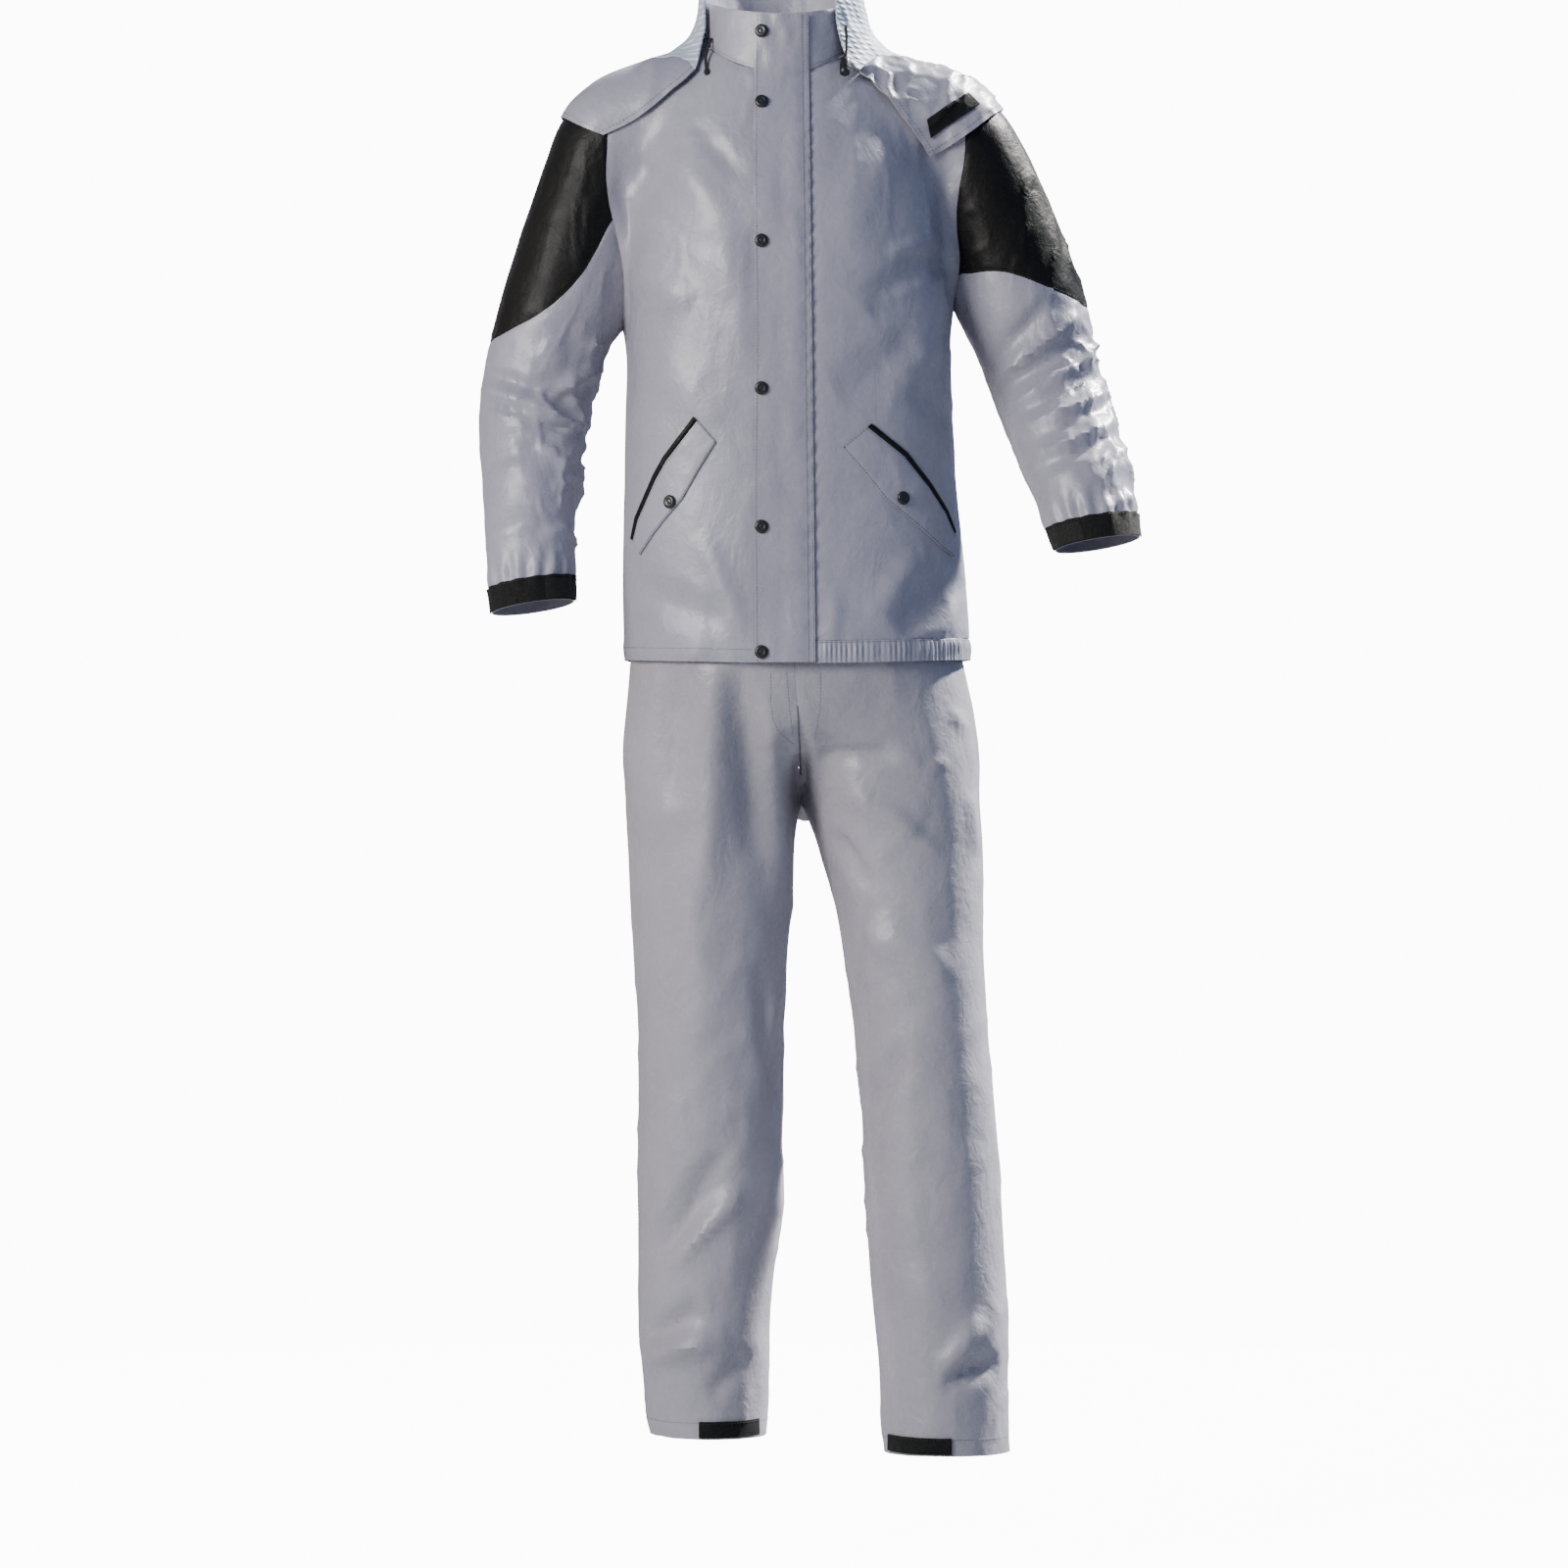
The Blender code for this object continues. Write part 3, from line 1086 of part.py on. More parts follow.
def hood_cord(name, route):
    """A free end of the hood's drawcord."""
    curve = bpy.data.curves.new(name, "CURVE")
    curve.dimensions = "3D"
    curve.bevel_depth = CORD_RADIUS * MM
    curve.bevel_resolution = 2
    curve.use_fill_caps = True
    points = resampled(route, CORD_POINTS)
    spline = curve.splines.new("POLY")
    spline.points.add(len(points) - 1)
    for target, point in zip(spline.points, points):
        target.co = (*(point * MM), 1)
    obj = bpy.data.objects.new(name, curve)
    curve.materials.append(material_for(name, "black_cord"))
    SUIT.objects.link(obj)
    return points


def cord_lock(end, before):
    """The barrel lock at the end of the left cord."""
    shape = bmesh.new()
    bmesh.ops.create_cone(
        shape,
        cap_ends=True,
        segments=16,
        radius1=LOCK_RADIUS * MM,
        radius2=LOCK_RADIUS * 0.85 * MM,
        depth=LOCK_LENGTH * MM,
    )
    mesh = bpy.data.meshes.new("hood_cord_lock")
    shape.to_mesh(mesh)
    shape.free()
    way = unit(end - before)
    seat = end + way * (LOCK_LENGTH / 2 + SEAM_GAP)
    turn = Vector((0, 0, -1)).rotation_difference(Vector(way)).to_matrix().to_4x4()
    place("hood_cord_lock", mesh, "black_snap", Matrix.Translation(Vector(seat) * MM) @ turn)


def build_jacket():
    seams = jacket_seams()
    fronts = {}
    for side, name in ((-1, "right"), (1, "left")):
        fronts[name] = field_wall(f"jacket_front_{name}", front_piece(side, seams), jacket, "grey_cloth")
    field_wall("jacket_back", back_piece(seams), jacket, "grey_cloth")
    casing = hem_casing(seams)
    stand = collar(seams)
    for side, name in ((-1, "right"), (1, "left")):
        sleeve_pieces(side, seams, name)
    flap = storm_flap(tree_of(*fronts.values(), casing, stand), seams)
    flap_tree = tree_of(flap)
    for number, z in enumerate(SNAP_Z, 1):
        snap(f"snap_front_{number}", (SNAP_X, z), flap_tree, jacket)
    for side, name in ((-1, "right"), (1, "left")):
        pocket(side, tree_of(*fronts.values()), name)
    hood_pieces()
    hood_cord("hood_cord_right", CORD_RIGHT)
    points = hood_cord("hood_cord_left", CORD_LEFT)
    cord_lock(points[-1], points[-2])


def build_trousers():
    seams = trouser_seams()
    fronts = []
    for side, name in ((-1, "right"), (1, "left")):
        for face, part in ((-1, "front"), (1, "back")):
            grid = trouser_piece(side, face, seams)
            halves = {"": grid}
            if side > 0:
                halves = {"_upper": grid[: KNEE_ROW + 1], "_lower": grid[KNEE_ROW:]}
            for half, rows in halves.items():
                piece = field_wall(f"trouser_{part}_{name}{half}", rows, trousers, "grey_cloth")
            if face < 0:
                fronts.append(piece)
    waistband(seams)
    for index, name in enumerate(("right", "left")):
        leg_tab(index, tree_of(fronts[index]), name)


for old in list(bpy.data.objects):
    bpy.data.objects.remove(old, do_unlink=True)
SUIT = bpy.data.collections.new("rain_suit")
bpy.context.scene.collection.children.link(SUIT)
build_jacket()
build_trousers()
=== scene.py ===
"""The look of the worn rain suit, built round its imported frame.

Sizes are in millimetres and turned into metres as each mesh is made. The front faces -Y, +Z is up and +X is
the wearer's left. The cut pieces are worked out as in the frame, on a smooth field without its folds, then
refined, and the folds, creases, gathers and puckered seams are raised along the cloth's normals.
"""

import math

import bmesh
import bpy
import numpy as np
from mathutils import Matrix, Vector
from mathutils.bvhtree import BVHTree


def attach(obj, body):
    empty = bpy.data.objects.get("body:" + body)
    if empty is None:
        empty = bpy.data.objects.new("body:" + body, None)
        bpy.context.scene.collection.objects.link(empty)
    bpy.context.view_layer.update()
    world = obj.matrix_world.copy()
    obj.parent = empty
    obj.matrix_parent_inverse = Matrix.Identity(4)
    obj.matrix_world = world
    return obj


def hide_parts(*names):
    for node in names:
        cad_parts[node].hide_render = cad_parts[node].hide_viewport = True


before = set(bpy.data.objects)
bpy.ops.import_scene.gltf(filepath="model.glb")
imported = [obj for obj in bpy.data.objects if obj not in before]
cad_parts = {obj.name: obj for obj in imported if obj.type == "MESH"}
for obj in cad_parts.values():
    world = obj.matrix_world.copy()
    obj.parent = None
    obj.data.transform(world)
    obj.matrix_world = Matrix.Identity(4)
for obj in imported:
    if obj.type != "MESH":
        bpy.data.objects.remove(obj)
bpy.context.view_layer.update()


SLOTS = ("grey_cloth", "black_cloth", "hood_lining", "black_tape", "black_snap", "black_cord")


class Nodes:
    """Short ways to build one material's nodes."""

    def __init__(self, name):
        self.material = bpy.data.materials.new(name)
        self.material.use_nodes = True
        self.tree = self.material.node_tree
        self.shader = self.tree.nodes["Principled BSDF"]
        self.place = self.add("ShaderNodeTexCoord").outputs["Object"]

    def add(self, kind, **values):
        node = self.tree.nodes.new(kind)
        for key, value in values.items():
            if hasattr(node, key):
                setattr(node, key, value)
            else:
                node.inputs[key.replace("_", " ")].default_value = value
        return node

    def join(self, output, socket):
        self.tree.links.new(output, socket)

    def noise(self, scale, detail=3.0, rough=0.5, stretch=None, distortion=0.0):
        node = self.add("ShaderNodeTexNoise", Scale=scale, Detail=detail, Roughness=rough, Distortion=distortion)
        self.join(self.stretched(stretch), node.inputs["Vector"])
        return node.outputs["Fac"]

    def stretched(self, stretch):
        if stretch is None:
            return self.place
        mapping = self.add("ShaderNodeMapping")
        mapping.inputs["Scale"].default_value = stretch
        self.join(self.place, mapping.inputs["Vector"])
        return mapping.outputs["Vector"]

    def ramp(self, factor, low, high, start=0.3, end=0.7):
        node = self.add("ShaderNodeMapRange")
        node.inputs["From Min"].default_value = start
        node.inputs["From Max"].default_value = end
        node.inputs["To Min"].default_value = low
        node.inputs["To Max"].default_value = high
        self.join(factor, node.inputs["Value"])
        return node.outputs["Result"]

    def mixed(self, factor, first, second):
        node = self.add("ShaderNodeMix", data_type="RGBA")
        self.join(factor, node.inputs["Factor"])
        for socket, value in ((6, first), (7, second)):
            if hasattr(value, "links"):
                self.join(value, node.inputs[socket])
            else:
                node.inputs[socket].default_value = (*value, 1)
        return node.outputs[2]

    def bump(self, height, strength, distance, normal=None):
        node = self.add("ShaderNodeBump")
        node.inputs["Strength"].default_value = strength
        node.inputs["Distance"].default_value = distance
        self.join(height, node.inputs["Height"])
        if normal is not None:
            self.join(normal, node.inputs["Normal"])
        return node.outputs["Normal"]

    def times(self, first, second):
        node = self.add("ShaderNodeMath", operation="MULTIPLY")
        self.join(first, node.inputs[0])
        self.join(second, node.inputs[1])
        return node.outputs["Value"]

    def waves(self, scale, direction, distortion=0.0):
        node = self.add("ShaderNodeTexWave", Scale=scale, Distortion=distortion)
        node.bands_direction = direction
        self.join(self.place, node.inputs["Vector"])
        return node.outputs["Fac"]

    def finish(self, colour, roughness, normal=None, **values):
        if hasattr(colour, "links"):
            self.join(colour, self.shader.inputs["Base Color"])
        else:
            self.shader.inputs["Base Color"].default_value = (*colour, 1)
        if hasattr(roughness, "links"):
            self.join(roughness, self.shader.inputs["Roughness"])
        else:
            self.shader.inputs["Roughness"].default_value = roughness
        if normal is not None:
            self.join(normal, self.shader.inputs["Normal"])
        for key, value in values.items():
            self.shader.inputs[key.replace("_", " ")].default_value = value
        return self.material


def coated_cloth(name, light, dark, gloss, crinkle, shine):
    """Coated cloth: a fine plain weave under a satin film, with crinkles and patches of wear."""
    nodes = Nodes(name)
    broad = nodes.noise(7.0, 4.0, 0.6)
    fine = nodes.noise(160.0, 4.0, 0.65)
    colour = nodes.mixed(nodes.ramp(broad, 0.0, 1.0), dark, light)
    worn = tuple(min(1.0, c * 1.12 + 0.01) for c in light)
    colour = nodes.mixed(nodes.ramp(fine, 0.0, 0.5, 0.5, 0.85), colour, worn)
    weave = nodes.times(nodes.waves(620.0, "X", 1.5), nodes.waves(620.0, "Z", 1.5))
    normal = nodes.bump(weave, 0.12, 0.0003)
    normal = nodes.bump(nodes.noise(420.0, 3.0), 0.10, 0.0006, normal)
    normal = nodes.bump(nodes.noise(70.0, 5.0, 0.55, None, 0.8), crinkle, 0.0035, normal)
    normal = nodes.bump(nodes.noise(24.0, 3.0, 0.5, (1.0, 1.0, 0.6), 1.2), crinkle, 0.006, normal)
    roughness = nodes.ramp(nodes.noise(30.0, 4.0), gloss - 0.06, gloss + 0.08)
    return nodes.finish(colour, roughness, normal, Specular_IOR_Level=shine, Coat_Weight=0.16 * shine, Coat_Roughness=0.22)


def basket_lining(name):
    """The hood's pale lining, a raised basket weave of about four millimetres."""
    nodes = Nodes(name)
    basket = nodes.times(nodes.waves(34.0, "DIAGONAL", 0.8), nodes.waves(52.0, "Z", 1.2))
    colour = nodes.mixed(nodes.ramp(basket, 0.0, 1.0, 0.05, 0.6), (0.36, 0.42, 0.52), (0.66, 0.70, 0.76))
    normal = nodes.bump(basket, 0.6, 0.0016)
    normal = nodes.bump(nodes.noise(260.0, 3.0), 0.2, 0.0006, normal)
    normal = nodes.bump(nodes.noise(40.0, 3.0), 0.3, 0.003, normal)
    return nodes.finish(colour, nodes.ramp(nodes.noise(60.0), 0.5, 0.75), normal, Sheen_Weight=0.2)


def hook_tape(name, low, high):
    """Hook-and-loop tape: short dense pile."""
    nodes = Nodes(name)
    pile = nodes.noise(900.0, 4.0, 0.7)
    colour = nodes.mixed(nodes.ramp(pile, 0.0, 1.0, 0.4, 0.8), (low, low, 0.9 * low), (high, high, 0.9 * high))
    normal = nodes.bump(pile, 0.7, 0.0009)
    normal = nodes.bump(nodes.noise(90.0, 3.0), 0.25, 0.002, normal)
    roughness = nodes.ramp(nodes.noise(300.0), 0.7, 0.95)
    return nodes.finish(colour, roughness, normal, Specular_IOR_Level=0.2, Sheen_Weight=0.03)


def snap_plastic(name):
    """Moulded black plastic, a little scuffed."""
    nodes = Nodes(name)
    scuffs = nodes.noise(700.0, 5.0, 0.7)
    colour = nodes.mixed(nodes.ramp(scuffs, 0.0, 1.0, 0.5, 0.8), (0.004, 0.004, 0.005), (0.016, 0.016, 0.018))
    return nodes.finish(colour, nodes.ramp(scuffs, 0.28, 0.5), nodes.bump(scuffs, 0.15, 0.0003), Coat_Weight=0.15)


def braided_cord(name):
    """A braided drawcord."""
    nodes = Nodes(name)
    braid = nodes.times(nodes.waves(380.0, "DIAGONAL"), nodes.waves(300.0, "Z"))
    colour = nodes.mixed(nodes.ramp(braid, 0.0, 1.0, 0.1, 0.6), (0.006, 0.006, 0.006), (0.03, 0.03, 0.03))
    return nodes.finish(colour, nodes.ramp(braid, 0.75, 0.95, 0.1, 0.6), nodes.bump(braid, 0.8, 0.0008))


def thread(name, colour, shade):
    """Sewing thread, twisted."""
    nodes = Nodes(name)
    twist = nodes.waves(900.0, "DIAGONAL")
    return nodes.finish(
        nodes.mixed(twist, shade, colour), nodes.ramp(twist, 0.5, 0.7), nodes.bump(twist, 0.4, 0.0002)
    )


LOOKS = {
    "grey_cloth": coated_cloth("grey_coated_cloth", (0.320, 0.312, 0.362), (0.270, 0.264, 0.312), 0.36, 0.26, 0.5),
    # the trousers' cloth is a lighter copy of the jacket's cloth: painted light, for the stronger light that falls on
    # the trousers
    "cloth_of_trousers_painted_lighter": coated_cloth("coated_cloth_of_trousers_painted_lighter", (0.350, 0.335, 0.368), (0.292, 0.280, 0.312), 0.38, 0.3, 0.45),
    "black_cloth": coated_cloth("black_coated_cloth", (0.007, 0.0065, 0.006), (0.004, 0.0038, 0.0036), 0.44, 0.3, 0.14),
    "hood_lining": basket_lining("hood_basket_lining"),
    "black_tape": hook_tape("black_hook_tape", 0.003, 0.012),
    "tape_light": hook_tape("black_loop_tape", 0.008, 0.024),
    "black_snap": snap_plastic("black_snap_plastic"),
    "black_cord": braided_cord("black_braided_cord"),
    "thread_grey": thread("grey_thread", (0.16, 0.155, 0.175), (0.06, 0.058, 0.07)),
    "thread_black": thread("black_thread", (0.03, 0.03, 0.03), (0.012, 0.012, 0.012)),
}


MM = 0.001
CLOTH = 1.8  # wall of the coated cloth with its lining
TRIM = 1.6  # wall of flaps and tabs
SEAM_GAP = 0.3  # between two pieces sewn together
LAY_GAP = 0.8  # under a piece that lies on another
AROUND = 24  # columns round a sleeve
ARM_ROWS = AROUND // 2  # rows down each half of an armhole
NECK_COLUMNS = 6  # columns in a quarter of the neckline
SHOULDER_COLUMNS = 5
SIDE_ROWS = 9  # rows from armpit to hem
FRONT_X = 2.0  # where the two fronts meet


def table(names, *rows):
    """A short table as named columns."""
    return dict(zip(names.split(), np.array(rows, float).T))


BODY = table(
    "z left right front back square",
    (130, -72, 73, -74, 78, 2.0),
    (60, -72, 73, -74, 78, 2.0),
    (38, -75, 75, -75, 79, 2.0),
    (15, -96, 98, -80, 88, 2.1),
    (-20, -126, 132, -92, 104, 2.2),
    (-60, -150, 160, -106, 120, 2.3),
    (-120, -163, 177, -124, 133, 2.4),
    (-180, -168, 183, -135, 139, 2.4),
    (-242, -168, 185, -139, 141, 2.4),
    (-340, -171, 188, -138, 138, 2.4),
    (-436, -172, 192, -137, 136, 2.4),
    (-519, -175, 200, -140, 139, 2.4),
    (-589, -174, 205, -143, 142, 2.4),
    (-660, -171, 208, -146, 145, 2.4),
)
ARM_RIGHT = table(
    "x y z r",
    (-58, 3, -29, 65),
    (-120, 5, -38, 62),
    (-188, 6, -52, 58),
    (-212, 9, -130, 61),
    (-241, 10, -242, 69),
    (-262, 12, -300, 63),
    (-273, 12, -345, 62),
    (-274, -25, -431, 54),
    (-273, -60, -513, 49),
    (-270, -80, -580, 45),
)
ARM_LEFT = table(
    "x y z r",
    (58, 3, -29, 65),
    (120, 5, -38, 62),
    (194, 8, -52, 58),
    (226, 10, -124, 61),
    (256, 12, -206, 67),
    (268, 13, -256, 69),
    (286, 14, -294, 65),
    (295, 12, -335, 63),
    (312, -30, -390, 61),
    (327, -72, -444, 55),
    (343, -105, -512, 46),
)
HIPS = table(
    "z left right front back square",
    (-430, -132, 146, -104, 110, 2.2),
    (-470, -136, 152, -108, 114, 2.2),
    (-520, -146, 166, -116, 122, 2.3),
    (-580, -158, 184, -128, 133, 2.4),
    (-636, -166, 200, -138, 143, 2.4),
    (-697, -170, 210, -128, 143, 2.4),
    (-740, -168, 212, -113, 134, 2.3),
    (-830, -166, 214, -104, 112, 2.2),
)
LEG_RIGHT = table(
    "z left right front back square",
    (-640, -140, 20, -90, 90, 2.1),
    (-730, -166, 19, -110, 102, 2.3),
    (-790, -170, 10, -107, 102, 2.2),
    (-841, -170, 16, -100, 100, 2.1),
    (-900, -166, 12, -97, 98, 2.1),
    (-986, -161, 4, -93, 97, 2.1),
    (-1042, -158, 2, -91, 96, 2.1),
    (-1239, -158, 2, -84, 98, 2.1),
    (-1297, -158, -6, -82, 98, 2.1),
    (-1354, -158, -12, -80, 98, 2.1),
    (-1405, -155, -14, -78, 96, 2.1),
    (-1500, -142, -17, -74, 92, 2.1),
)
LEG_LEFT = table(
    "z left right front back square",
    (-640, 22, 176, -90, 90, 2.1),
    (-730, 22, 209, -110, 102, 2.3),
    (-790, 33, 219, -108, 102, 2.2),
    (-841, 38, 222, -104, 98, 2.1),
    (-882, 55, 223, -104, 94, 2.1),
    (-948, 66, 222, -104, 88, 2.1),
    (-1042, 81, 227, -108, 80, 2.1),
    (-1162, 89, 237, -114, 68, 2.1),
    (-1258, 94, 243, -118, 58, 2.1),
    (-1354, 102, 250, -122, 48, 2.1),
    (-1413, 106, 248, -124, 42, 2.1),
    (-1520, 110, 248, -126, 36, 2.1),
)
YAW = math.radians(4)  # the wearer is turned a little to their right
BODY_WINDOW, ARM_WINDOW, LEG_WINDOW = 56, 70, 90  # lengths over which the tables are rounded
TABLE_STEP = 4.0
ARM_STEP = 20.0
ARM_BLEND, HIP_BLEND, CROTCH_BLEND = 24.0, 34.0, 30.0
CROTCH_FRONT = (-110.0, -731.0)  # y and z of the crotch at the front and at the back
CROTCH_BACK = (90.0, -812.0)
LEG_TOP = -650.0  # the leg sections end inside the hips
FOLD_TURN = 30.0  # depth over which a fold on the front fades towards the back

FOLD_COLUMNS = "x0 z0 x1 z1 y width height crisp"  # seen from the front; height is under 0 in a valley
JACKET_FOLDS = table(
    FOLD_COLUMNS,
    (-165, -90, -60, -190, 0, 34, -6.1, 0.1),
    (-120, -70, -45, -250, 0, 40, 5.4, 0.1),
    (-96, -52, -40, -120, 0, 18, -3.4, 0.3),
    (-60, -150, -38, -330, 0, 26, 2.7, 0.1),
    (-168, -210, -95, -255, 0, 30, 5.4, 0.2),
    (-150, -300, -60, -380, 0, 40, 2.7, 0.0),
    (110, -60, 70, -200, 0, 44, 4.7, 0.1),
    (182, -190, 92, -262, 0, 34, -8.1, 0.2),
    (176, -176, 118, -196, 0, 12, 3.5, 0.7),
    (190, -215, 110, -250, 0, 14, 3.2, 0.6),
    (188, -240, 140, -300, 0, 22, 4.6, 0.3),
    (150, -300, 60, -350, 0, 40, -5.4, 0.1),
    (185, -290, 120, -330, 0, 26, 5.4, 0.3),
    (186, -380, 140, -340, 0, 22, -4.1, 0.3),
    (-160, -560, -60, -600, 0, 30, -5.4, 0.1),
    (-88, -500, -40, -610, 0, 20, 3.5, 0.2),
    (190, -540, 130, -610, 0, 42, -8.1, 0.1),
    (150, -520, 100, -600, 0, 26, 4.7, 0.2),
    (200, -560, 168, -622, 0, 14, 4.1, 0.7),
    (188, -600, 128, -618, 0, 8, 3.0, 0.8),
    (60, -560, 52, -640, 0, 14, 2.7, 0.4),
    (-332, -318, -226, -354, 12, 13, -6.8, 0.5),
    (-330, -338, -232, -372, 12, 12, 6.8, 0.7),
    (-334, -352, -212, -392, 12, 9, -4.9, 0.6),
    (-330, -366, -215, -378, 12, 11, 5.4, 0.7),
    (-205, -318, -255, -352, 12, 12, 5.4, 0.6),
    (-208, -372, -250, -398, 8, 9, 4.9, 0.8),
    (-212, -398, -246, -430, 4, 10, 4.9, 0.8),
    (-216, -432, -250, -452, 0, 9, 4.1, 0.8),
    (-325, -420, -250, -400, -20, 14, -4.7, 0.4),
    (-222, -486, -262, -508, -20, 10, 4.6, 0.8),
    (-318, -505, -250, -480, -45, 17, 4.1, 0.4),
    (-300, -545, -250, -528, -55, 12, -3.2, 0.4),
    (222, -322, 300, -236, 12, 15, -6.8, 0.5),
    (228, -335, 330, -256, 12, 10, 6.1, 0.7),
    (235, -345, 345, -272, 12, 12, -4.9, 0.6),
    (246, -362, 352, -296, 10, 9, 5.7, 0.8),
    (250, -372, 358, -318, 5, 11, -5.4, 0.6),
    (258, -388, 368, -338, -8, 9, 5.7, 0.8),
    (262, -402, 372, -352, -20, 12, -4.6, 0.6),
    (270, -420, 376, -372, -34, 9, 5.4, 0.8),
    (276, -430, 378, -386, -45, 12, -5.7, 0.6),
    (284, -448, 382, -404, -56, 9, 4.9, 0.8),
    (290, -462, 384, -420, -70, 13, 4.6, 0.6),
    (300, -482, 388, -444, -80, 10, -4.1, 0.6),
)
TROUSER_FOLDS = table(
    FOLD_COLUMNS,
    (21, -738, 21, -800, 0, 13, -9.0, 0.3),
    (-112, -640, -122, -800, 0, 26, -7.5, 0.1),
    (-74, -640, -80, -900, 0, 26, 8.5, 0.1),
    (-44, -640, -28, -860, 0, 26, -11.2, 0.1),
    (-12, -680, 0, -910, 0, 22, 8.5, 0.2),
    (-92, -820, -84, -1060, 0, 34, 3.8, 0.0),
    (20, -700, 34, -760, 0, 12, -3.6, 0.4),
    (40, -735, 130, -740, 0, 20, -8.5, 0.3),
    (34, -733, 112, -729, 0, 9, 3.9, 0.8),
    (112, -729, 158, -752, 0, 8, 4.2, 0.9),
    (158, -752, 184, -750, 0, 8, 3.3, 0.9),
    (184, -690, 204, -716, 0, 12, 3.9, 0.7),
    (60, -772, 150, -830, 0, 22, 6.5, 0.2),
    (118, -800, 172, -850, 0, 12, 3.9, 0.6),
    (56, -822, 104, -890, 0, 20, -7.5, 0.2),
    (62, -812, 100, -872, 0, 7, 2.7, 0.8),
    (90, -925, 124, -962, 0, 7, 2.4, 0.8),
    (92, -925, 190, -985, 0, 34, 7.5, 0.1),
    (206, -780, 214, -850, 0, 12, 4.5, 0.8),
    (140, -1055, 94, -1130, 0, 24, -8.5, 0.2),
    (150, -1048, 108, -1130, 0, 12, 3.6, 0.5),
    (-24, -960, -12, -1120, 0, 14, -7.5, 0.5),
    (-10, -1000, -20, -1110, 0, 8, 6.4, 0.9),
    (-140, -1290, -55, -1170, 5, 30, -15.0, 0.4),
    (-128, -1302, -40, -1214, 5, 15, 9.4, 0.7),
    (-155, -1400, -56, -1372, 5, 22, 11.9, 0.4),
    (-150, -1378, -80, -1340, 5, 22, -10.5, 0.4),
    (-36, -1392, -80, -1440, 5, 18, -8.5, 0.3),
    (172, -1418, 236, -1396, -40, 20, -13.1, 0.5),
    (218, -1348, 172, -1412, -40, 20, 10.8, 0.5),
    (240, -1330, 214, -1400, -40, 16, 4.5, 0.4),
    (120, -1300, 180, -1340, -40, 30, 3.8, 0.0),
)

# Seam lines, seen from the front as (x, z)
ARMHOLE_RIGHT = ((-190, -28), (-188, -69), (-193, -105), (-190, -136), (-178, -177), (-170, -225))
ARMHOLE_LEFT = ((197, -28), (204, -75), (197, -110), (190, -144), (192, -170), (200, -203))
SHOULDER_RIGHT = ((-110, 5, 30), (-157, 6, 14), (-188, 6, 5))
SHOULDER_LEFT = ((110, 5, 30), (160, 7, 14), (194, 8, 5))
ARMPIT_X, ARMPIT_Y = (160.0, 215.0), 10.0  # where the armpits are looked for
PANEL_SEAM_RIGHT = ((-190, -146), (-196, -173), (-213, -217), (-235, -235), (-267, -265), (-320, -295))
PANEL_SEAM_LEFT = ((203, -203), (237, -209), (262, -217), (287, -228), (310, -236), (335, -254))
PANEL_ROWS = 6

NECK_X, NECK_Y = 76.0, 77.0
NECK_Z = (29.0, -31.0, 9.0)  # mean height, fall to the front, rise at the sides
COLLAR_TOP_X, COLLAR_TOP_Y = 84.0, 85.0
COLLAR_TOP_Z = (88.0, -22.0, 5.0)
COLLAR_ROWS = 3
HEM_FRONT, HEM_SIDE, HEM_BACK = -642.0, -636.0, -640.0
CASING_HEIGHT = 24.0
CASING_WAVES = 46
CASING_WAVE = 1.3
SLEEVE_START = -335.0  # height of the arm's centre at the first whole ring
SLEEVE_RINGS = 9
CUFF = 28.0  # height of a cuff and of its tab
CUFF_WAVE = 1.4
CUFF_AXIS = (0.155, -0.10, -0.98)

FLAP_FREE_X, FLAP_SEWN_TOP_X, FLAP_SEWN_HEM_X = -29.5, 29.5, 37.0
FLAP_COLUMNS = 4
FLAP_LAY_GAP = 1.5
SNAP_Z = (46.0, -32.5, -187.0, -346.0, -495.0, -630.0)
SNAP_X = -21.0
SNAP_RADIUS, SNAP_CROWN, SNAP_HEIGHT = 7.3, 5.6, 2.2

POCKET_LINE_RIGHT = ((-92, -378), (-125, -420), (-136, -439), (-146, -461), (-156, -483), (-161, -505))
POCKET_EDGE_RIGHT = ((-70, -403), (-88, -432), (-106, -464), (-127, -488), (-138, -502), (-152, -523))
POCKET_LINE_LEFT = ((95, -385), (134, -415), (161, -448), (179, -475), (188, -497))
POCKET_EDGE_LEFT = ((66, -409), (90, -436), (112, -464), (153, -497), (172, -514), (187, -525))
POCKET_COLUMNS, POCKET_ROWS = 12, 3
PIPING_WIDTH, PIPING_WALL = 6.0, 2.6
POCKET_SNAP_RIGHT, POCKET_SNAP_LEFT = (-120, -467), (132, -463)

WAIST_TOP, WAIST_BOTTOM = -436.0, -470.0
BAND = 2.4  # wall of the waistband with its elastic
CROTCH = (21, 15, -780)
RISE_FRONT = ((6, -470), (9, -560), (13, -640), (18, -700), (20, -728))
RISE_BACK = ((14, -470), (16, -600), (19, -700), (21, -770))
TROUSER_HEM_RIGHT = (-1486.0, -1492.0)  # front and back
TROUSER_HEM_LEFT = (-1498.0, -1506.0)
RISE_ROWS, LEG_ROWS, LEG_COLUMNS = 10, 12, 10
LEG_TABS = table("x0 x1 top bottom", (-89, -26, -1466, -1484), (118, 184, -1478, -1496))
TAB_COLUMNS, TAB_GAP = 12, 1.2




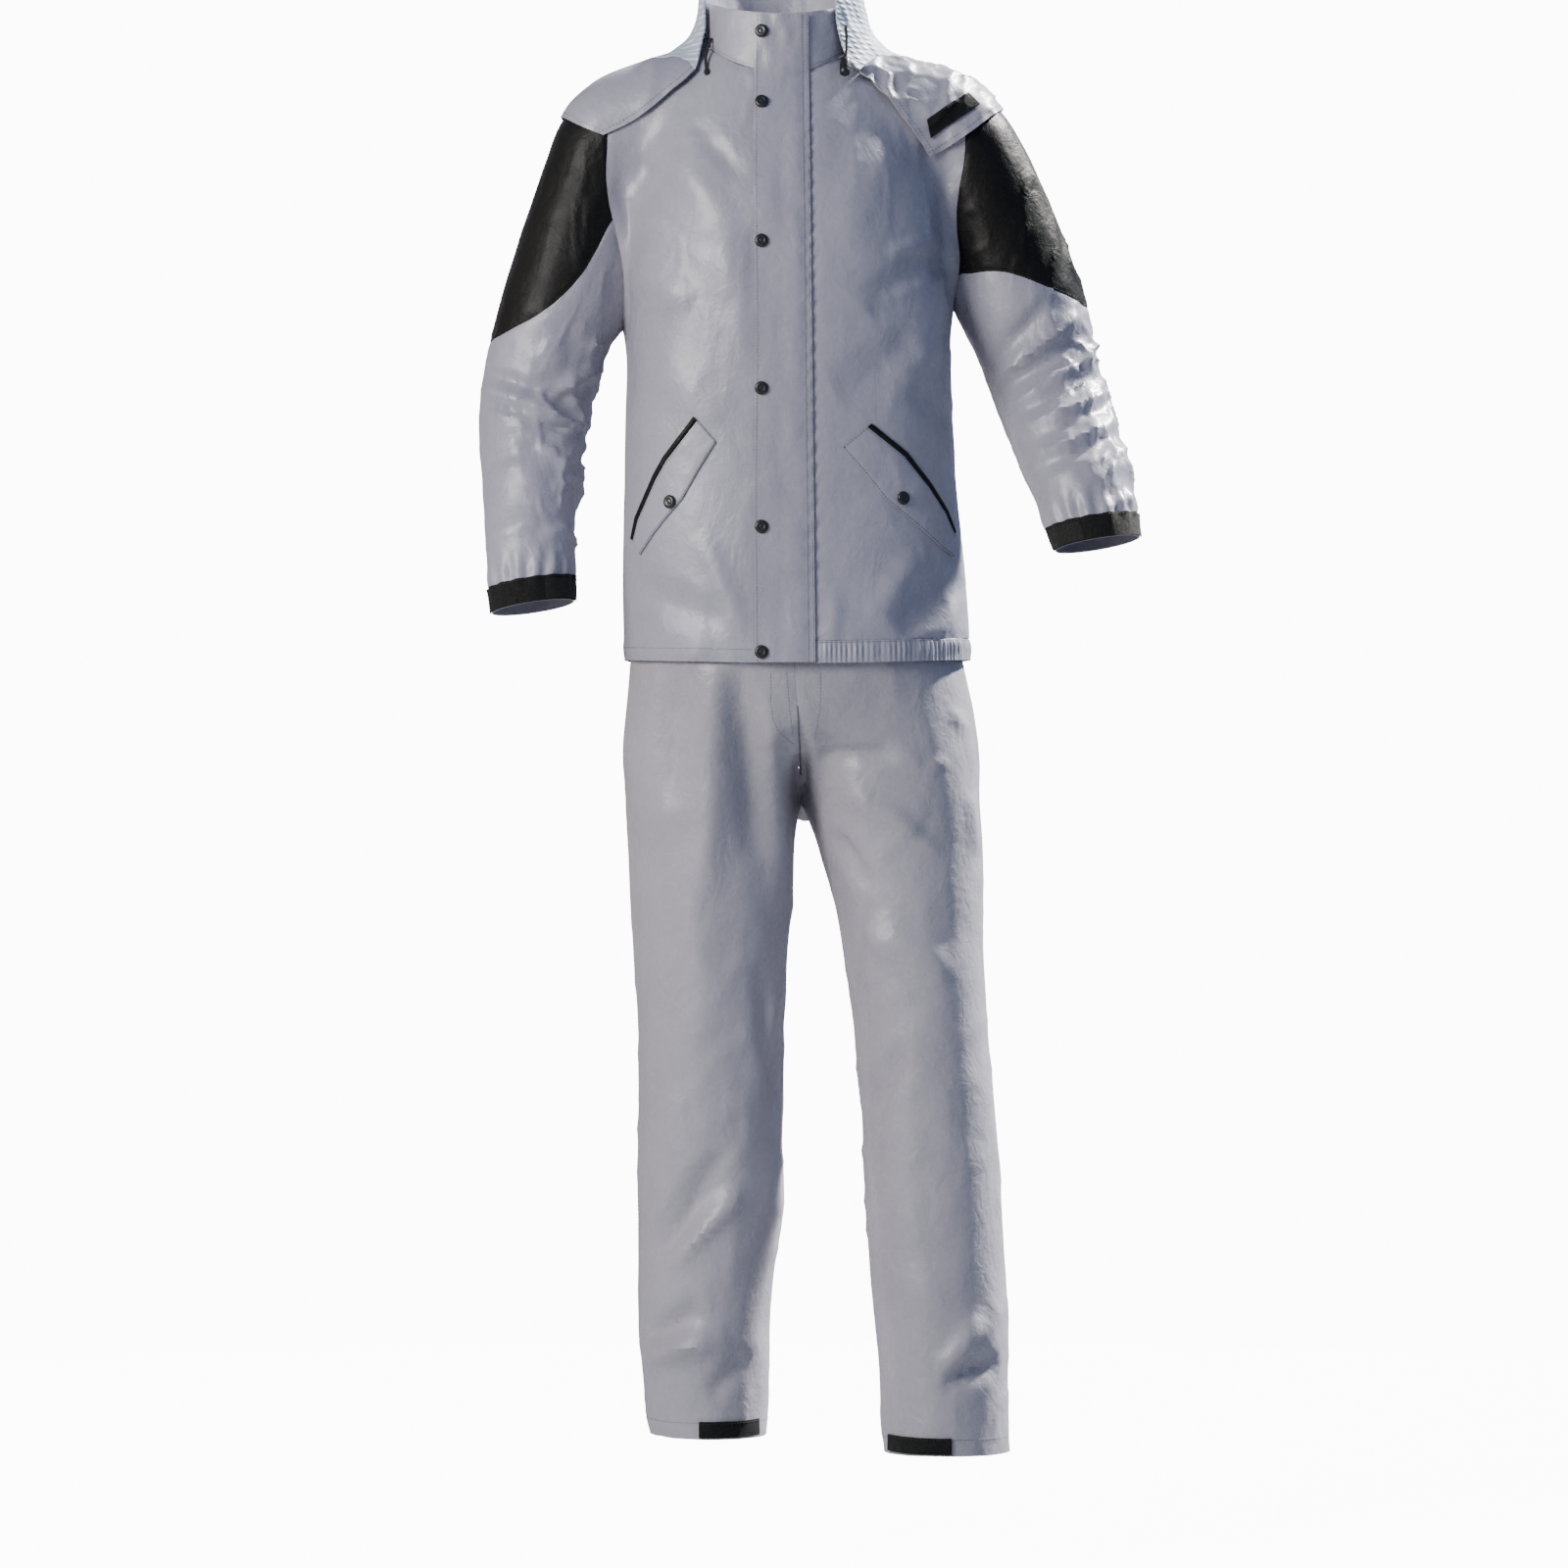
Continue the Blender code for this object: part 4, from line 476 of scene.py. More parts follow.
def rounded(columns, key, window, step):
    """The columns over an even run of the key, rounded by a Hann window that keeps both ends."""
    order = np.argsort(columns[key])
    run = np.arange(columns[key].min(), columns[key].max() + step, step)
    kernel = np.hanning(2 * round(window / step / 2) + 3)[1:-1]
    pad = len(kernel) // 2
    result = {key: run}
    for name, values in columns.items():
        if name == key:
            continue
        dense = np.interp(run, columns[key][order], values[order])
        padded = np.pad(dense, pad, mode="reflect", reflect_type="odd")
        result[name] = np.convolve(padded, kernel / kernel.sum(), "valid")
    return result


def chain(columns, window):
    """A sleeve's centre line and radius, as short straight stretches."""
    points = np.stack([columns["x"], columns["y"], columns["z"]], 1)
    lengths = np.linalg.norm(np.diff(points, axis=0), axis=1)
    whole = rounded({**columns, "s": np.concatenate([[0], np.cumsum(lengths)])}, "s", window, ARM_STEP)
    return np.stack([whole["x"], whole["y"], whole["z"]], 1), whole["r"]


def section_distance(points, sections):
    """How far points lie outside a stack of level rounded sections, measured from each section's centre."""
    at = {name: np.interp(points[:, 2], sections["z"], sections[name]) for name in sections if name != "z"}
    x = points[:, 0] - (at["left"] + at["right"]) / 2
    y = points[:, 1] - (at["front"] + at["back"]) / 2
    across = x * math.cos(YAW) + y * math.sin(YAW)
    along = y * math.cos(YAW) - x * math.sin(YAW)
    half_x = (at["right"] - at["left"]) / 2
    half_y = (at["back"] - at["front"]) / 2
    scaled = np.abs(across / half_x) ** at["square"] + np.abs(along / half_y) ** at["square"]
    scaled = np.maximum(scaled, 1e-9) ** (1 / at["square"])
    reach = np.hypot(x, y)
    return reach - reach / np.maximum(scaled, 1e-3)


def chain_distance(points, centres, radii):
    """Distance to a chain of round cones."""
    nearest = np.full(len(points), 1e9)
    for a, b, ra, rb in zip(centres[:-1], centres[1:], radii[:-1], radii[1:]):
        run = b - a
        t = np.clip((points - a) @ run / (run @ run), 0, 1)
        off = points - a - t[:, None] * run
        nearest = np.minimum(nearest, np.sqrt((off * off).sum(1)) - ra - t * (rb - ra))
    return nearest


def blend(a, b, width):
    """The union of two distances, filleted over a width."""
    share = np.clip(0.5 + 0.5 * (b - a) / width, 0, 1)
    return b + (a - b) * share - width * share * (1 - share)


BODY_SECTIONS = rounded(BODY, "z", BODY_WINDOW, TABLE_STEP)
HIP_SECTIONS = rounded(HIPS, "z", BODY_WINDOW, TABLE_STEP)
LEG_SECTIONS = [rounded(leg, "z", LEG_WINDOW, TABLE_STEP) for leg in (LEG_RIGHT, LEG_LEFT)]
ARMS = {-1: chain(ARM_RIGHT, ARM_WINDOW), 1: chain(ARM_LEFT, ARM_WINDOW)}


def jacket(points):
    """The jacket's outer face is where this is 0."""
    arms = np.minimum(chain_distance(points, *ARMS[-1]), chain_distance(points, *ARMS[1]))
    return blend(section_distance(points, BODY_SECTIONS), arms, ARM_BLEND)


def trousers(points):
    """The trousers' outer face is where this is 0."""
    slope = (CROTCH_BACK[1] - CROTCH_FRONT[1]) / (CROTCH_BACK[0] - CROTCH_FRONT[0])
    below = CROTCH_FRONT[1] + slope * (points[:, 1] - CROTCH_FRONT[0]) - points[:, 2]
    hips = -blend(-section_distance(points, HIP_SECTIONS), -below / math.hypot(1, slope), HIP_BLEND)
    legs = np.minimum(*(section_distance(points, leg) for leg in LEG_SECTIONS))
    legs = np.maximum(legs, points[:, 2] - LEG_TOP)
    return blend(hips, legs, CROTCH_BLEND)


def gradient(points, field):
    """The field's slope at each point."""
    step = 0.5
    steps = np.concatenate([np.eye(3), -np.eye(3)]) * step
    values = field((points + steps[:, None]).reshape(-1, 3)).reshape(6, -1)
    return ((values[:3] - values[3:]) / (2 * step)).T


def settle(points, field, level=0.0):
    """Moves points along the field's slope until they lie at a level of it."""
    shape = np.shape(points)
    points = np.array(points, float).reshape(-1, 3)
    level = np.broadcast_to(np.reshape(level, -1), len(points))
    for _ in range(7):
        slope = gradient(points, field)
        step = (field(points) - level) / np.maximum((slope**2).sum(1), 0.05)
        points = points - np.clip(step, -25, 25)[:, None] * slope
        if np.abs(step).max(initial=0) < 0.005:
            break
    return points.reshape(shape)


def outward(points, field):
    """Unit vectors straight out of the cloth."""
    slope = gradient(np.reshape(points, (-1, 3)), field)
    return (slope / np.linalg.norm(slope, axis=1)[:, None]).reshape(np.shape(points))


def seen(places, field, side=-1, level=0.0):
    """The first points of the face that are seen at (x, z) from the front, or from behind at side 1."""
    places = np.array(places, float)
    depths = side * np.arange(300.0, -120.0, -4.0)
    rays = np.stack(
        [
            np.repeat(places[:, 0], len(depths)),
            np.tile(depths, len(places)),
            np.repeat(places[:, 1], len(depths)),
        ],
        1,
    )
    inside = field(rays).reshape(len(places), -1) < level
    first = depths[np.argmax(inside, 1)]
    missed = ~inside.any(1)
    first[missed] = 0.0
    start = np.stack([places[:, 0], first, places[:, 1]], 1)
    far = start - [0, -4.0 * side, 0]
    near = start
    for _ in range(12):
        middle = (near + far) / 2
        within = (field(middle) < level)[:, None]
        near, far = np.where(within, middle, near), np.where(within, far, middle)
    return np.where(missed[:, None], settle(start, field, level), near)


def armpit(side):
    """The crown of the arch between a sleeve and the body, seen from below."""
    across = side * np.arange(ARMPIT_X[0], ARMPIT_X[1], 1.0)
    heights = np.arange(-340.0, -180.0, 1.0)
    x, z = np.meshgrid(across, heights, indexing="ij")
    depth = np.full(x.size, ARMPIT_Y)
    within = jacket(np.stack([x.ravel(), depth, z.ravel()], 1)).reshape(x.shape) < 0
    lowest = heights[np.argmax(within, 1)]
    crown = int(np.argmax(lowest))
    return settle([(across[crown], ARMPIT_Y, lowest[crown])], jacket)[0]


def resampled(points, count):
    """An even run of count + 1 points along a line."""
    points = np.array(points, float)
    lengths = np.concatenate([[0], np.cumsum(np.linalg.norm(np.diff(points, axis=0), axis=1))])
    wanted = np.linspace(0, lengths[-1], count + 1)
    return np.stack([np.interp(wanted, lengths, points[:, axis]) for axis in range(3)], 1)


def seam_line(guide, count, field, level=0.0):
    """A seam: an even run of points on the cloth along a guide."""
    line = resampled(guide, 4 * count)
    ends = line[[0, -1]]
    line = settle(line, field, level)
    line = settle(resampled(line, count), field, level)
    if count > 2:
        line[1:-1] = settle(line[1:-1] * 0.5 + (line[:-2] + line[2:]) * 0.25, field, level)
    line[[0, -1]] = settle(ends, field, level)
    return line



def patch(top, bottom, left, right, field, level=0.0, rounds=12):
    """A grid of cloth points between four seam lines, settled and evened out."""
    u = np.linspace(0, 1, len(top))[None, :, None]
    v = np.linspace(0, 1, len(left))[:, None, None]
    grid = (1 - v) * top[None] + v * bottom[None] + (1 - u) * left[:, None] + u * right[:, None]
    grid -= (1 - v) * ((1 - u) * top[0] + u * top[-1]) + v * ((1 - u) * bottom[0] + u * bottom[-1])
    grid[0], grid[-1], grid[:, 0], grid[:, -1] = top, bottom, left, right
    inner = (slice(1, -1), slice(1, -1))
    levels = np.broadcast_to(level, grid.shape[:2]) if np.ndim(level) else np.full(grid.shape[:2], level)
    for _ in range(rounds):
        around = grid[:-2, 1:-1] + grid[2:, 1:-1] + grid[1:-1, :-2] + grid[1:-1, 2:]
        grid[inner] = grid[inner] * 0.4 + around * 0.15
        grid[inner] = settle_once(grid[inner], field, levels[inner])
    grid[inner] = settle(grid[inner], field, levels[inner])
    return grid


def settle_once(points, field, level):
    """One quick move towards a level of the field."""
    shape = points.shape
    points = points.reshape(-1, 3)
    slope = gradient(points, field)
    step = (field(points) - level.reshape(-1)) / np.maximum((slope**2).sum(1), 0.05)
    return (points - np.clip(step, -25, 25)[:, None] * slope).reshape(shape)


def unit(vectors):
    return vectors / np.maximum(np.linalg.norm(vectors, axis=-1, keepdims=True), 1e-9)


def drawn_in(line, beyond, normals, gap):
    """Moves that draw an edge in over the cloth, square to the edge, towards the points beyond it."""
    across = beyond - line
    for way in (normals, unit(np.gradient(line, axis=0))):
        across = across - (across * way).sum(-1, keepdims=True) * way
    return gap * unit(across)


def pulled_back(grid, normals, edges="tblr", gap=SEAM_GAP / 2):
    """The grid with the named edges (top, bottom, left, right) drawn in by half a seam gap."""
    result = grid.copy()
    if "t" in edges:
        result[0] += drawn_in(grid[0], grid[1], normals[0], gap)
    if "b" in edges:
        result[-1] += drawn_in(grid[-1], grid[-2], normals[-1], gap)
    if "l" in edges:
        result[:, 0] += drawn_in(grid[:, 0], grid[:, 1], normals[:, 0], gap)
    if "r" in edges:
        result[:, -1] += drawn_in(grid[:, -1], grid[:, -2], normals[:, -1], gap)
    return result



FINE = 6  # fine cells in each coarse cell of a grid
CREASE_TAPER = 3.0


def along_run(points, at):
    """Points at fractional places along axis 0, on a smooth curve through the given ones."""
    last = len(points) - 1
    before = 2 * points[0] - points[1]
    beyond = 2 * points[-1] - points[-2]
    padded = np.concatenate([before[None], points, beyond[None]])
    cell = np.clip(np.floor(at).astype(int), 0, last - 1)
    t = (at - cell).reshape(-1, *[1] * (points.ndim - 1))
    a, b, c, d = (padded[cell + k] for k in range(4))
    return b + 0.5 * t * (c - a + t * (2 * a - 5 * b + 4 * c - d + t * (3 * (b - c) + d - a)))


def fine_places(count, around=False):
    """Fractional places of the fine lines between count + 1 coarse ones, closer together at a seam."""
    places = np.arange(count * FINE + 1) / FINE
    if around:
        return places[:-1]
    return np.unique(np.concatenate([places, [0.05, count - 0.05]]))


def refined(grid, around=False):
    """A coarse grid as a fine one on the same smooth surface."""
    rows = fine_places(len(grid) - 1)
    grid = along_run(grid, rows)
    across = np.swapaxes(grid, 0, 1)
    if around:
        count = len(across)
        across = np.concatenate([across[-2:], across, across[:3]])
        places = fine_places(count, True) + 2
    else:
        places = fine_places(len(across) - 1)
    return np.swapaxes(along_run(across, places), 0, 1)


def lattice(cells, seed):
    """An unchanging value between -1 and 1 for each whole-numbered cell."""
    x, y, z = (cells[..., axis].astype(np.int64) for axis in range(3))
    mixed = (x * 73856093) ^ (y * 19349663) ^ (z * 83492791) ^ (seed * 2654435761)
    mixed = (mixed ^ (mixed >> 13)) * 1274126177 & 0x7FFFFFFF
    mixed = (mixed ^ (mixed >> 15)) * 668265263 & 0x7FFFFFFF
    return mixed / 0x3FFFFFFF - 1


def noise(points, size, seed):
    """Smooth noise between -1 and 1 whose cells measure size along x, y and z."""
    spots = points / np.array(size, float) + 0.37 * seed
    cell = np.floor(spots)
    t = spots - cell
    t = t * t * (3 - 2 * t)
    total = 0.0
    for dx in (0, 1):
        for dy in (0, 1):
            for dz in (0, 1):
                step = np.array([dx, dy, dz])
                weight = np.abs(1 - step - t).prod(-1)
                total = total + weight * lattice(cell + step, seed)
    return total


def creased(points, size, seed, width=0.35):
    """Narrow winding ridges, 1 on their tops and 0 between them."""
    value = np.abs(noise(points, size, seed))
    return np.clip(1 - value / width, 0, 1) ** 1.5


def fold_height(points, folds):
    """How far the folds lift the cloth at each point."""
    flat = points.reshape(-1, 3)
    height = np.zeros(len(flat))
    for x0, z0, x1, z1, y, width, lift, crisp in zip(*(folds[name] for name in FOLD_COLUMNS.split())):
        run = np.array([x1 - x0, z1 - z0])
        off = flat[:, [0, 2]] - (x0, z0)
        t = np.clip(off @ run / (run @ run), 0, 1)
        away = np.hypot(*(off - t[:, None] * run).T) / width
        near = away < 1
        front = np.clip(0.5 - (flat[near, 1] - y) / FOLD_TURN, 0, 1)
        taper = 1 - np.abs(2 * t[near] - 1) ** CREASE_TAPER
        soft = 0.5 + 0.5 * np.cos(np.pi * away[near])
        sharp = (1 - away[near]) ** 1.5
        height[near] += lift * front * taper * (soft * (1 - crisp) + sharp * crisp)
    return height.reshape(points.shape[:-1])


def neck_ring(angles, sizes, heights):
    """Points round the neck at angles from the front: sizes are the half width and depth."""
    angles = np.array(angles)
    mean, fall, rise = heights
    return np.stack(
        [
            sizes[0] * np.sin(angles),
            -sizes[1] * np.cos(angles) + 2,
            mean + fall * np.cos(angles) + rise * np.sin(angles) ** 2,
        ],
        1,
    )


def hem_height(angle):
    """The hem's height at an angle from the front."""
    ends = HEM_FRONT if math.cos(angle) > 0 else HEM_BACK
    return HEM_SIDE + (ends - HEM_SIDE) * math.cos(angle) ** 2


def body_ring(angles, heights, sections, field):
    """Points on the cloth round the body at angles from the front."""
    points = []
    for angle, height in zip(angles, heights):
        at = {name: np.interp(height, sections["z"], sections[name]) for name in sections if name != "z"}
        x = (at["left"] + at["right"]) / 2 + (at["right"] - at["left"]) / 2 * math.sin(angle)
        y = (at["front"] + at["back"]) / 2 - (at["back"] - at["front"]) / 2 * math.cos(angle)
        points.append((x, y, height))
    return settle(points, field)


def cast(origin, targets, field, reach=150.0):
    """The first points, on rays from inside a sleeve towards the targets, that lie outside the cloth."""
    away = unit(targets - origin)
    steps = np.arange(8.0, reach, 4.0)
    rays = origin + away[:, None, :] * steps[None, :, None]
    outside = field(rays.reshape(-1, 3)).reshape(len(targets), -1) > 0
    first = np.where(outside.any(1), steps[np.argmax(outside, 1)], reach)
    near, far = first - 4.0, first
    for _ in range(12):
        middle = (near + far) / 2
        beyond = field(origin + away * middle[:, None]) > 0
        near, far = np.where(beyond, near, middle), np.where(beyond, middle, far)
    points = origin + away * far[:, None]
    lost = ~outside.any(1)
    points[lost] = targets[lost]
    return points


def grid_normals(grid, centre):
    """Unit normals of a grid of points, on the side away from a centre."""
    along = np.gradient(grid, axis=0)
    across = np.gradient(grid, axis=1)
    normals = unit(np.cross(along, across))
    facing = np.sign(((grid - centre) * normals).sum(-1).sum())
    return normals * facing


def joined(*lines):
    """Lines end to end, each starting at the last point of the one before."""
    return np.concatenate([lines[0]] + [line[1:] for line in lines[1:]])


def jacket_seams():
    """The seam lines that the jacket's pieces share."""
    seams = {}
    start = math.asin(FRONT_X / NECK_X)
    quarter = math.pi / 2
    for side in (-1, 1):
        angles = np.linspace(start, side * quarter, NECK_COLUMNS + 1)
        seams["neck", side] = settle(neck_ring(angles, (NECK_X, NECK_Y), NECK_Z), jacket)
    angles = np.linspace(quarter, 3 * quarter, 2 * NECK_COLUMNS + 1)
    back = settle(neck_ring(angles, (NECK_X, NECK_Y), NECK_Z), jacket)
    back[0], back[-1] = seams["neck", 1][-1], seams["neck", -1][-1]
    seams["neck", "back"] = back
    columns = NECK_COLUMNS + SHOULDER_COLUMNS
    for level, rise in (("hem", 0.0), ("casing", CASING_HEIGHT)):
        for part, a, b, count in (
            (-1, 0, -quarter, columns),
            (1, 0, quarter, columns),
            ("back", quarter, 3 * quarter, 2 * columns),
        ):
            angles = np.linspace(a, b, count + 1)
            heights = [hem_height(angle) + rise for angle in angles]
            ring = body_ring(angles, heights, BODY_SECTIONS, jacket)
            if part != "back":
                ring[0] = seen([(FRONT_X, heights[0])], jacket)[0]
                ring = seam_line(ring, columns, jacket)
            seams[level, part] = ring
    for level in ("hem", "casing"):
        seams[level, "back"][0] = seams[level, 1][-1]
        seams[level, "back"][-1] = seams[level, -1][-1]
    rows = ARM_ROWS + SIDE_ROWS
    for side, shoulder, armhole in (
        (-1, SHOULDER_RIGHT, ARMHOLE_RIGHT),
        (1, SHOULDER_LEFT, ARMHOLE_LEFT),
    ):
        neck_side = seams["neck", side][-1]
        line = seam_line([neck_side, *shoulder], SHOULDER_COLUMNS, jacket)
        line[0] = neck_side
        seams["shoulder", side] = line
        pit = armpit(side)
        for face in (-1, 1):
            places = seen(armhole, jacket, face)
            hole = seam_line([line[-1], *places, pit], ARM_ROWS, jacket)
            hole[0], hole[-1] = line[-1], pit
            seams["armhole", side, face] = hole
        low = seams["casing", side][-1]
        guide = [pit]
        for z in np.linspace(pit[2], low[2], 6)[1:-1]:
            guide.extend(body_ring([side * quarter], [z], BODY_SECTIONS, jacket))
        edge = seam_line([*guide, low], SIDE_ROWS, jacket)
        edge[0], edge[-1] = pit, low
        seams["side", side] = edge
        level = "hem" if side < 0 else "casing"
        high, low = seams["neck", side][0], seams[level, side][0]
        places = [(FRONT_X, z) for z in np.linspace(high[2], low[2], rows + (2 if side < 0 else 1))]
        line = seen(places, jacket)
        line[0], line[-1] = high, low
        seams["centre", side] = line
    return seams


def front_piece(side, seams):
    """One jacket front, from the centre to its armhole and side seam."""
    level = "hem" if side < 0 else "casing"
    top = joined(seams["neck", side], seams["shoulder", side])
    outer = joined(seams["armhole", side, -1], seams["side", side])
    if side < 0:
        outer = np.concatenate([outer, seams["hem", side][-1:]])
    return patch(top, seams[level, side], seams["centre", side], outer, jacket)


def back_piece(seams):
    """The jacket's back, from shoulder to shoulder and down to the casing."""
    top = joined(seams["shoulder", 1][::-1], seams["neck", "back"], seams["shoulder", -1])
    left = joined(seams["armhole", 1, 1], seams["side", 1])
    right = joined(seams["armhole", -1, 1], seams["side", -1])
    return patch(top, seams["casing", "back"], left, right, jacket)



def near_line(points, line, width):
    """1 on a line of (x, z) places as seen from the front, falling to 0 at a width from it."""
    away = np.full(points.shape[:-1], 1e9)
    for (x0, z0), (x1, z1) in zip(line[:-1], line[1:]):
        run = np.array([x1 - x0, z1 - z0], float)
        off = points[..., [0, 2]] - (x0, z0)
        t = np.clip(off @ run / (run @ run), 0, 1)
        away = np.minimum(away, np.hypot(*np.moveaxis(off - t[..., None] * run, -1, 0)))
    return np.clip(1 - away / width, 0, 1)


def arm_centre(x, z):
    """How far to the side the centre of the arm at x lies, at a height."""
    right, left = (np.interp(-z, -ARMS[side][0][:, 2], ARMS[side][0][:, 0]) for side in (-1, 1))
    return np.where(x < 0, right, left)


def jacket_relief(points):
    """How far the jacket's cloth stands off its smooth form."""
    x, y, z = (points[..., axis] for axis in range(3))
    height = fold_height(points, JACKET_FOLDS)
    height += 1.3 * noise(points, (70, 80, 100), 3) + 0.5 * noise(points, (30, 40, 44), 7)
    arm = np.clip((np.abs(x - 14) - 196) / 22, 0, 1)
    low_arm = arm * np.clip((-230 - z) / 60, 0, 1)
    sunny = np.clip(0.5 + (x - arm_centre(x, z)) / 60, 0.12, 1)
    slanted = np.stack([x, y, z - 0.5 * np.abs(x)], -1)
    elbow = 0.6 + 0.4 * np.exp(-(((z + 340) / 130) ** 2))
    crumple = 7.0 * creased(slanted, (54, 60, 30), 11, 0.42) - 2.4
    crumple += 3.6 * creased(points, (24, 30, 17), 12, 0.4) - 0.8
    height += low_arm * elbow * sunny * crumple
    height += low_arm * 1.2 * creased(slanted, (60, 60, 34), 19, 0.3)
    height += arm * (1 - low_arm) * sunny * 3.0 * creased(points, (16, 60, 90), 13, 0.3)
    body = 1 - arm
    height += body * 1.0 * creased(points, (62, 80, 95), 14, 0.25)
    rough_side = np.clip((x - 60) / 80, 0, 1) * body
    height += rough_side * 1.3 * creased(points, (40, 60, 46), 15, 0.3)
    hem = np.clip((z + 600) / -30, 0, 1) * body
    height += hem * 0.8 * noise(points, (14, 30, 60), 16)
    neck = np.clip((z + 60) / 50, 0, 1) * np.clip(1 - np.abs(x) / 110, 0, 1)
    height += neck * 1.2 * noise(points, (9, 14, 40), 17)
    sewn = np.interp(z, (HEM_FRONT, 60), (FLAP_SEWN_HEM_X, FLAP_SEWN_TOP_X))
    pucker = np.exp(-(((x - sewn) / 8.0) ** 2)) * (y < 0)
    height += pucker * (0.9 * np.sin(z * 0.9 + 2 * noise(points, (40, 40, 20), 18)) - 1.2)
    return height


def trouser_relief(points):
    """How far the trousers' cloth stands off its smooth form."""
    x, z = points[..., 0], points[..., 2]
    height = fold_height(points, TROUSER_FOLDS)
    height += 1.4 * noise(points, (60, 70, 150), 23) + 0.6 * noise(points, (26, 36, 70), 27)
    slanted = np.stack([x, points[..., 1], z - 0.7 * x], -1)
    outer = np.clip((np.abs(x - 14) - 95) / 60, 0, 1)
    height += (1 - 0.6 * outer) * 1.7 * creased(slanted, (60, 80, 110), 24, 0.28)
    height += outer * 0.7 * creased(slanted, (44, 60, 60), 28, 0.34)
    knee = np.exp(-(((z + 1130) / 200) ** 2))
    height += (1 - 0.6 * outer) * knee * 2.8 * creased(slanted, (60, 70, 50), 25, 0.34)
    hem = np.clip((z + 1340) / -110, 0, 1)
    height += hem * (1.8 * noise(points, (40, 50, 46), 26) + 1.4 * creased(slanted, (40, 50, 40), 29, 0.34))
    return height


RELIEF = {jacket: jacket_relief, trousers: trouser_relief}
PIECES = {}
TRIMS = {}
FACES = {}


NODES = {f"trouser_{part}_left": [f"trouser_{part}_left_{half}" for half in ("upper", "lower")] for part in
         ("front", "back")}


def run_lengths(grid, axis):
    """Mean distances along a grid's rows or columns."""
    steps = np.linalg.norm(np.diff(grid, axis=axis), axis=-1).mean(1 - axis)
    return np.concatenate([[0], np.cumsum(steps)])


def place(name, mesh, slot, matrix=None, node=None):
    """A piece that rides on the suit's body and stands for its CAD node."""
    obj = bpy.data.objects.new(name, mesh)
    mesh.materials.append(LOOKS[slot])
    mesh.shade_smooth()
    if matrix is not None:
        obj.matrix_world = matrix
    bpy.context.scene.collection.objects.link(obj)
    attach(obj, "root")
    if node:
        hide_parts(*NODES.get(node, (node,)))
        PIECES[node] = obj
    return obj


def cloth_wall(name, outer, inner, slot, around=False, trim_of=None):
    """A cut piece: an outer and an inner grid of points joined round their edges into one closed wall."""
    rows, columns = outer.shape[:2]
    index = np.arange(rows * columns).reshape(rows, columns)
    ring = np.concatenate([index, index[:, :1]], 1) if around else index
    cells = np.stack([ring[:-1, :-1], ring[:-1, 1:], ring[1:, 1:], ring[1:, :-1]], -1).reshape(-1, 4)
    total = rows * columns
    edges = [ring[0], ring[-1]] if around else [ring[0], ring[-1], ring[:, 0], ring[:, -1]]
    rims = [np.stack([e[:-1], e[1:], e[1:] + total, e[:-1] + total], -1) for e in edges]
    faces = np.concatenate([cells, cells[:, ::-1] + total, *rims])
    mesh = bpy.data.meshes.new(name)
    points = np.concatenate([outer.reshape(-1, 3), inner.reshape(-1, 3)]) * MM
    mesh.from_pydata(points.tolist(), [], faces.tolist())
    shape = bmesh.new()
    shape.from_mesh(mesh)
    bmesh.ops.remove_doubles(shape, verts=shape.verts, dist=1e-6)
    bmesh.ops.recalc_face_normals(shape, faces=shape.faces)
    shape.to_mesh(mesh)
    shape.free()
    FACES[name] = (outer, unit(outer - inner))
    obj = place(name + "_cloth", mesh, slot, node=None if trim_of else name)
    if trim_of:
        TRIMS.setdefault(trim_of, []).append(obj)
    mesh.set_sharp_from_angle(angle=math.radians(48))
    return obj


def edge_relief(grid, edges, depth=0.9, reach=5.0):
    """How far the cloth dips towards the seams at its named edges."""
    dip = np.zeros(grid.shape[:2])
    for edge in edges:
        axis = 0 if edge in "tb" else 1
        steps = np.linalg.norm(np.diff(grid, axis=axis), axis=-1)
        zero = np.zeros_like(steps[:1] if axis == 0 else steps[:, :1])
        away = np.concatenate([zero, np.cumsum(steps, axis=axis)], axis)
        if edge in "br":
            away = np.take(away, [-1], axis) - away
        ripple = 1 + 0.8 * noise(grid, (9, 9, 9), 31)
        dip = np.minimum(dip, -depth * ripple * np.exp(-((away / reach) ** 2)))
    return dip


def field_wall(name, grid, field, slot, edges="tblr", around=False, thickness=CLOTH, seams=None):
    """A cut piece whose inner face is parallel to the field's, with seam gaps at the named edges."""
    grid = refined(grid, around)
    normals = outward(grid, field)
    grid = pulled_back(grid, normals, edges)
    lift = RELIEF[field](grid) + edge_relief(grid, edges if seams is None else seams)
    grid = grid + normals * lift[..., None]
    return cloth_wall(name, grid, grid - thickness * turned(grid, normals, around), slot, around)


def turned(grid, normals, around=False):
    """The normals of a displaced grid, from its points."""
    if around:
        wide = np.concatenate([grid[:, -2:], grid, grid[:, :2]], 1)
        own = grid_normals(wide, wide.mean((0, 1)))[:, 2:-2]
    else:
        own = grid_normals(grid, grid.mean((0, 1)))
    own = own * np.sign((own * normals).sum(-1, keepdims=True))
    return unit(0.5 * own + 0.5 * normals)


CASING_FINE = 26


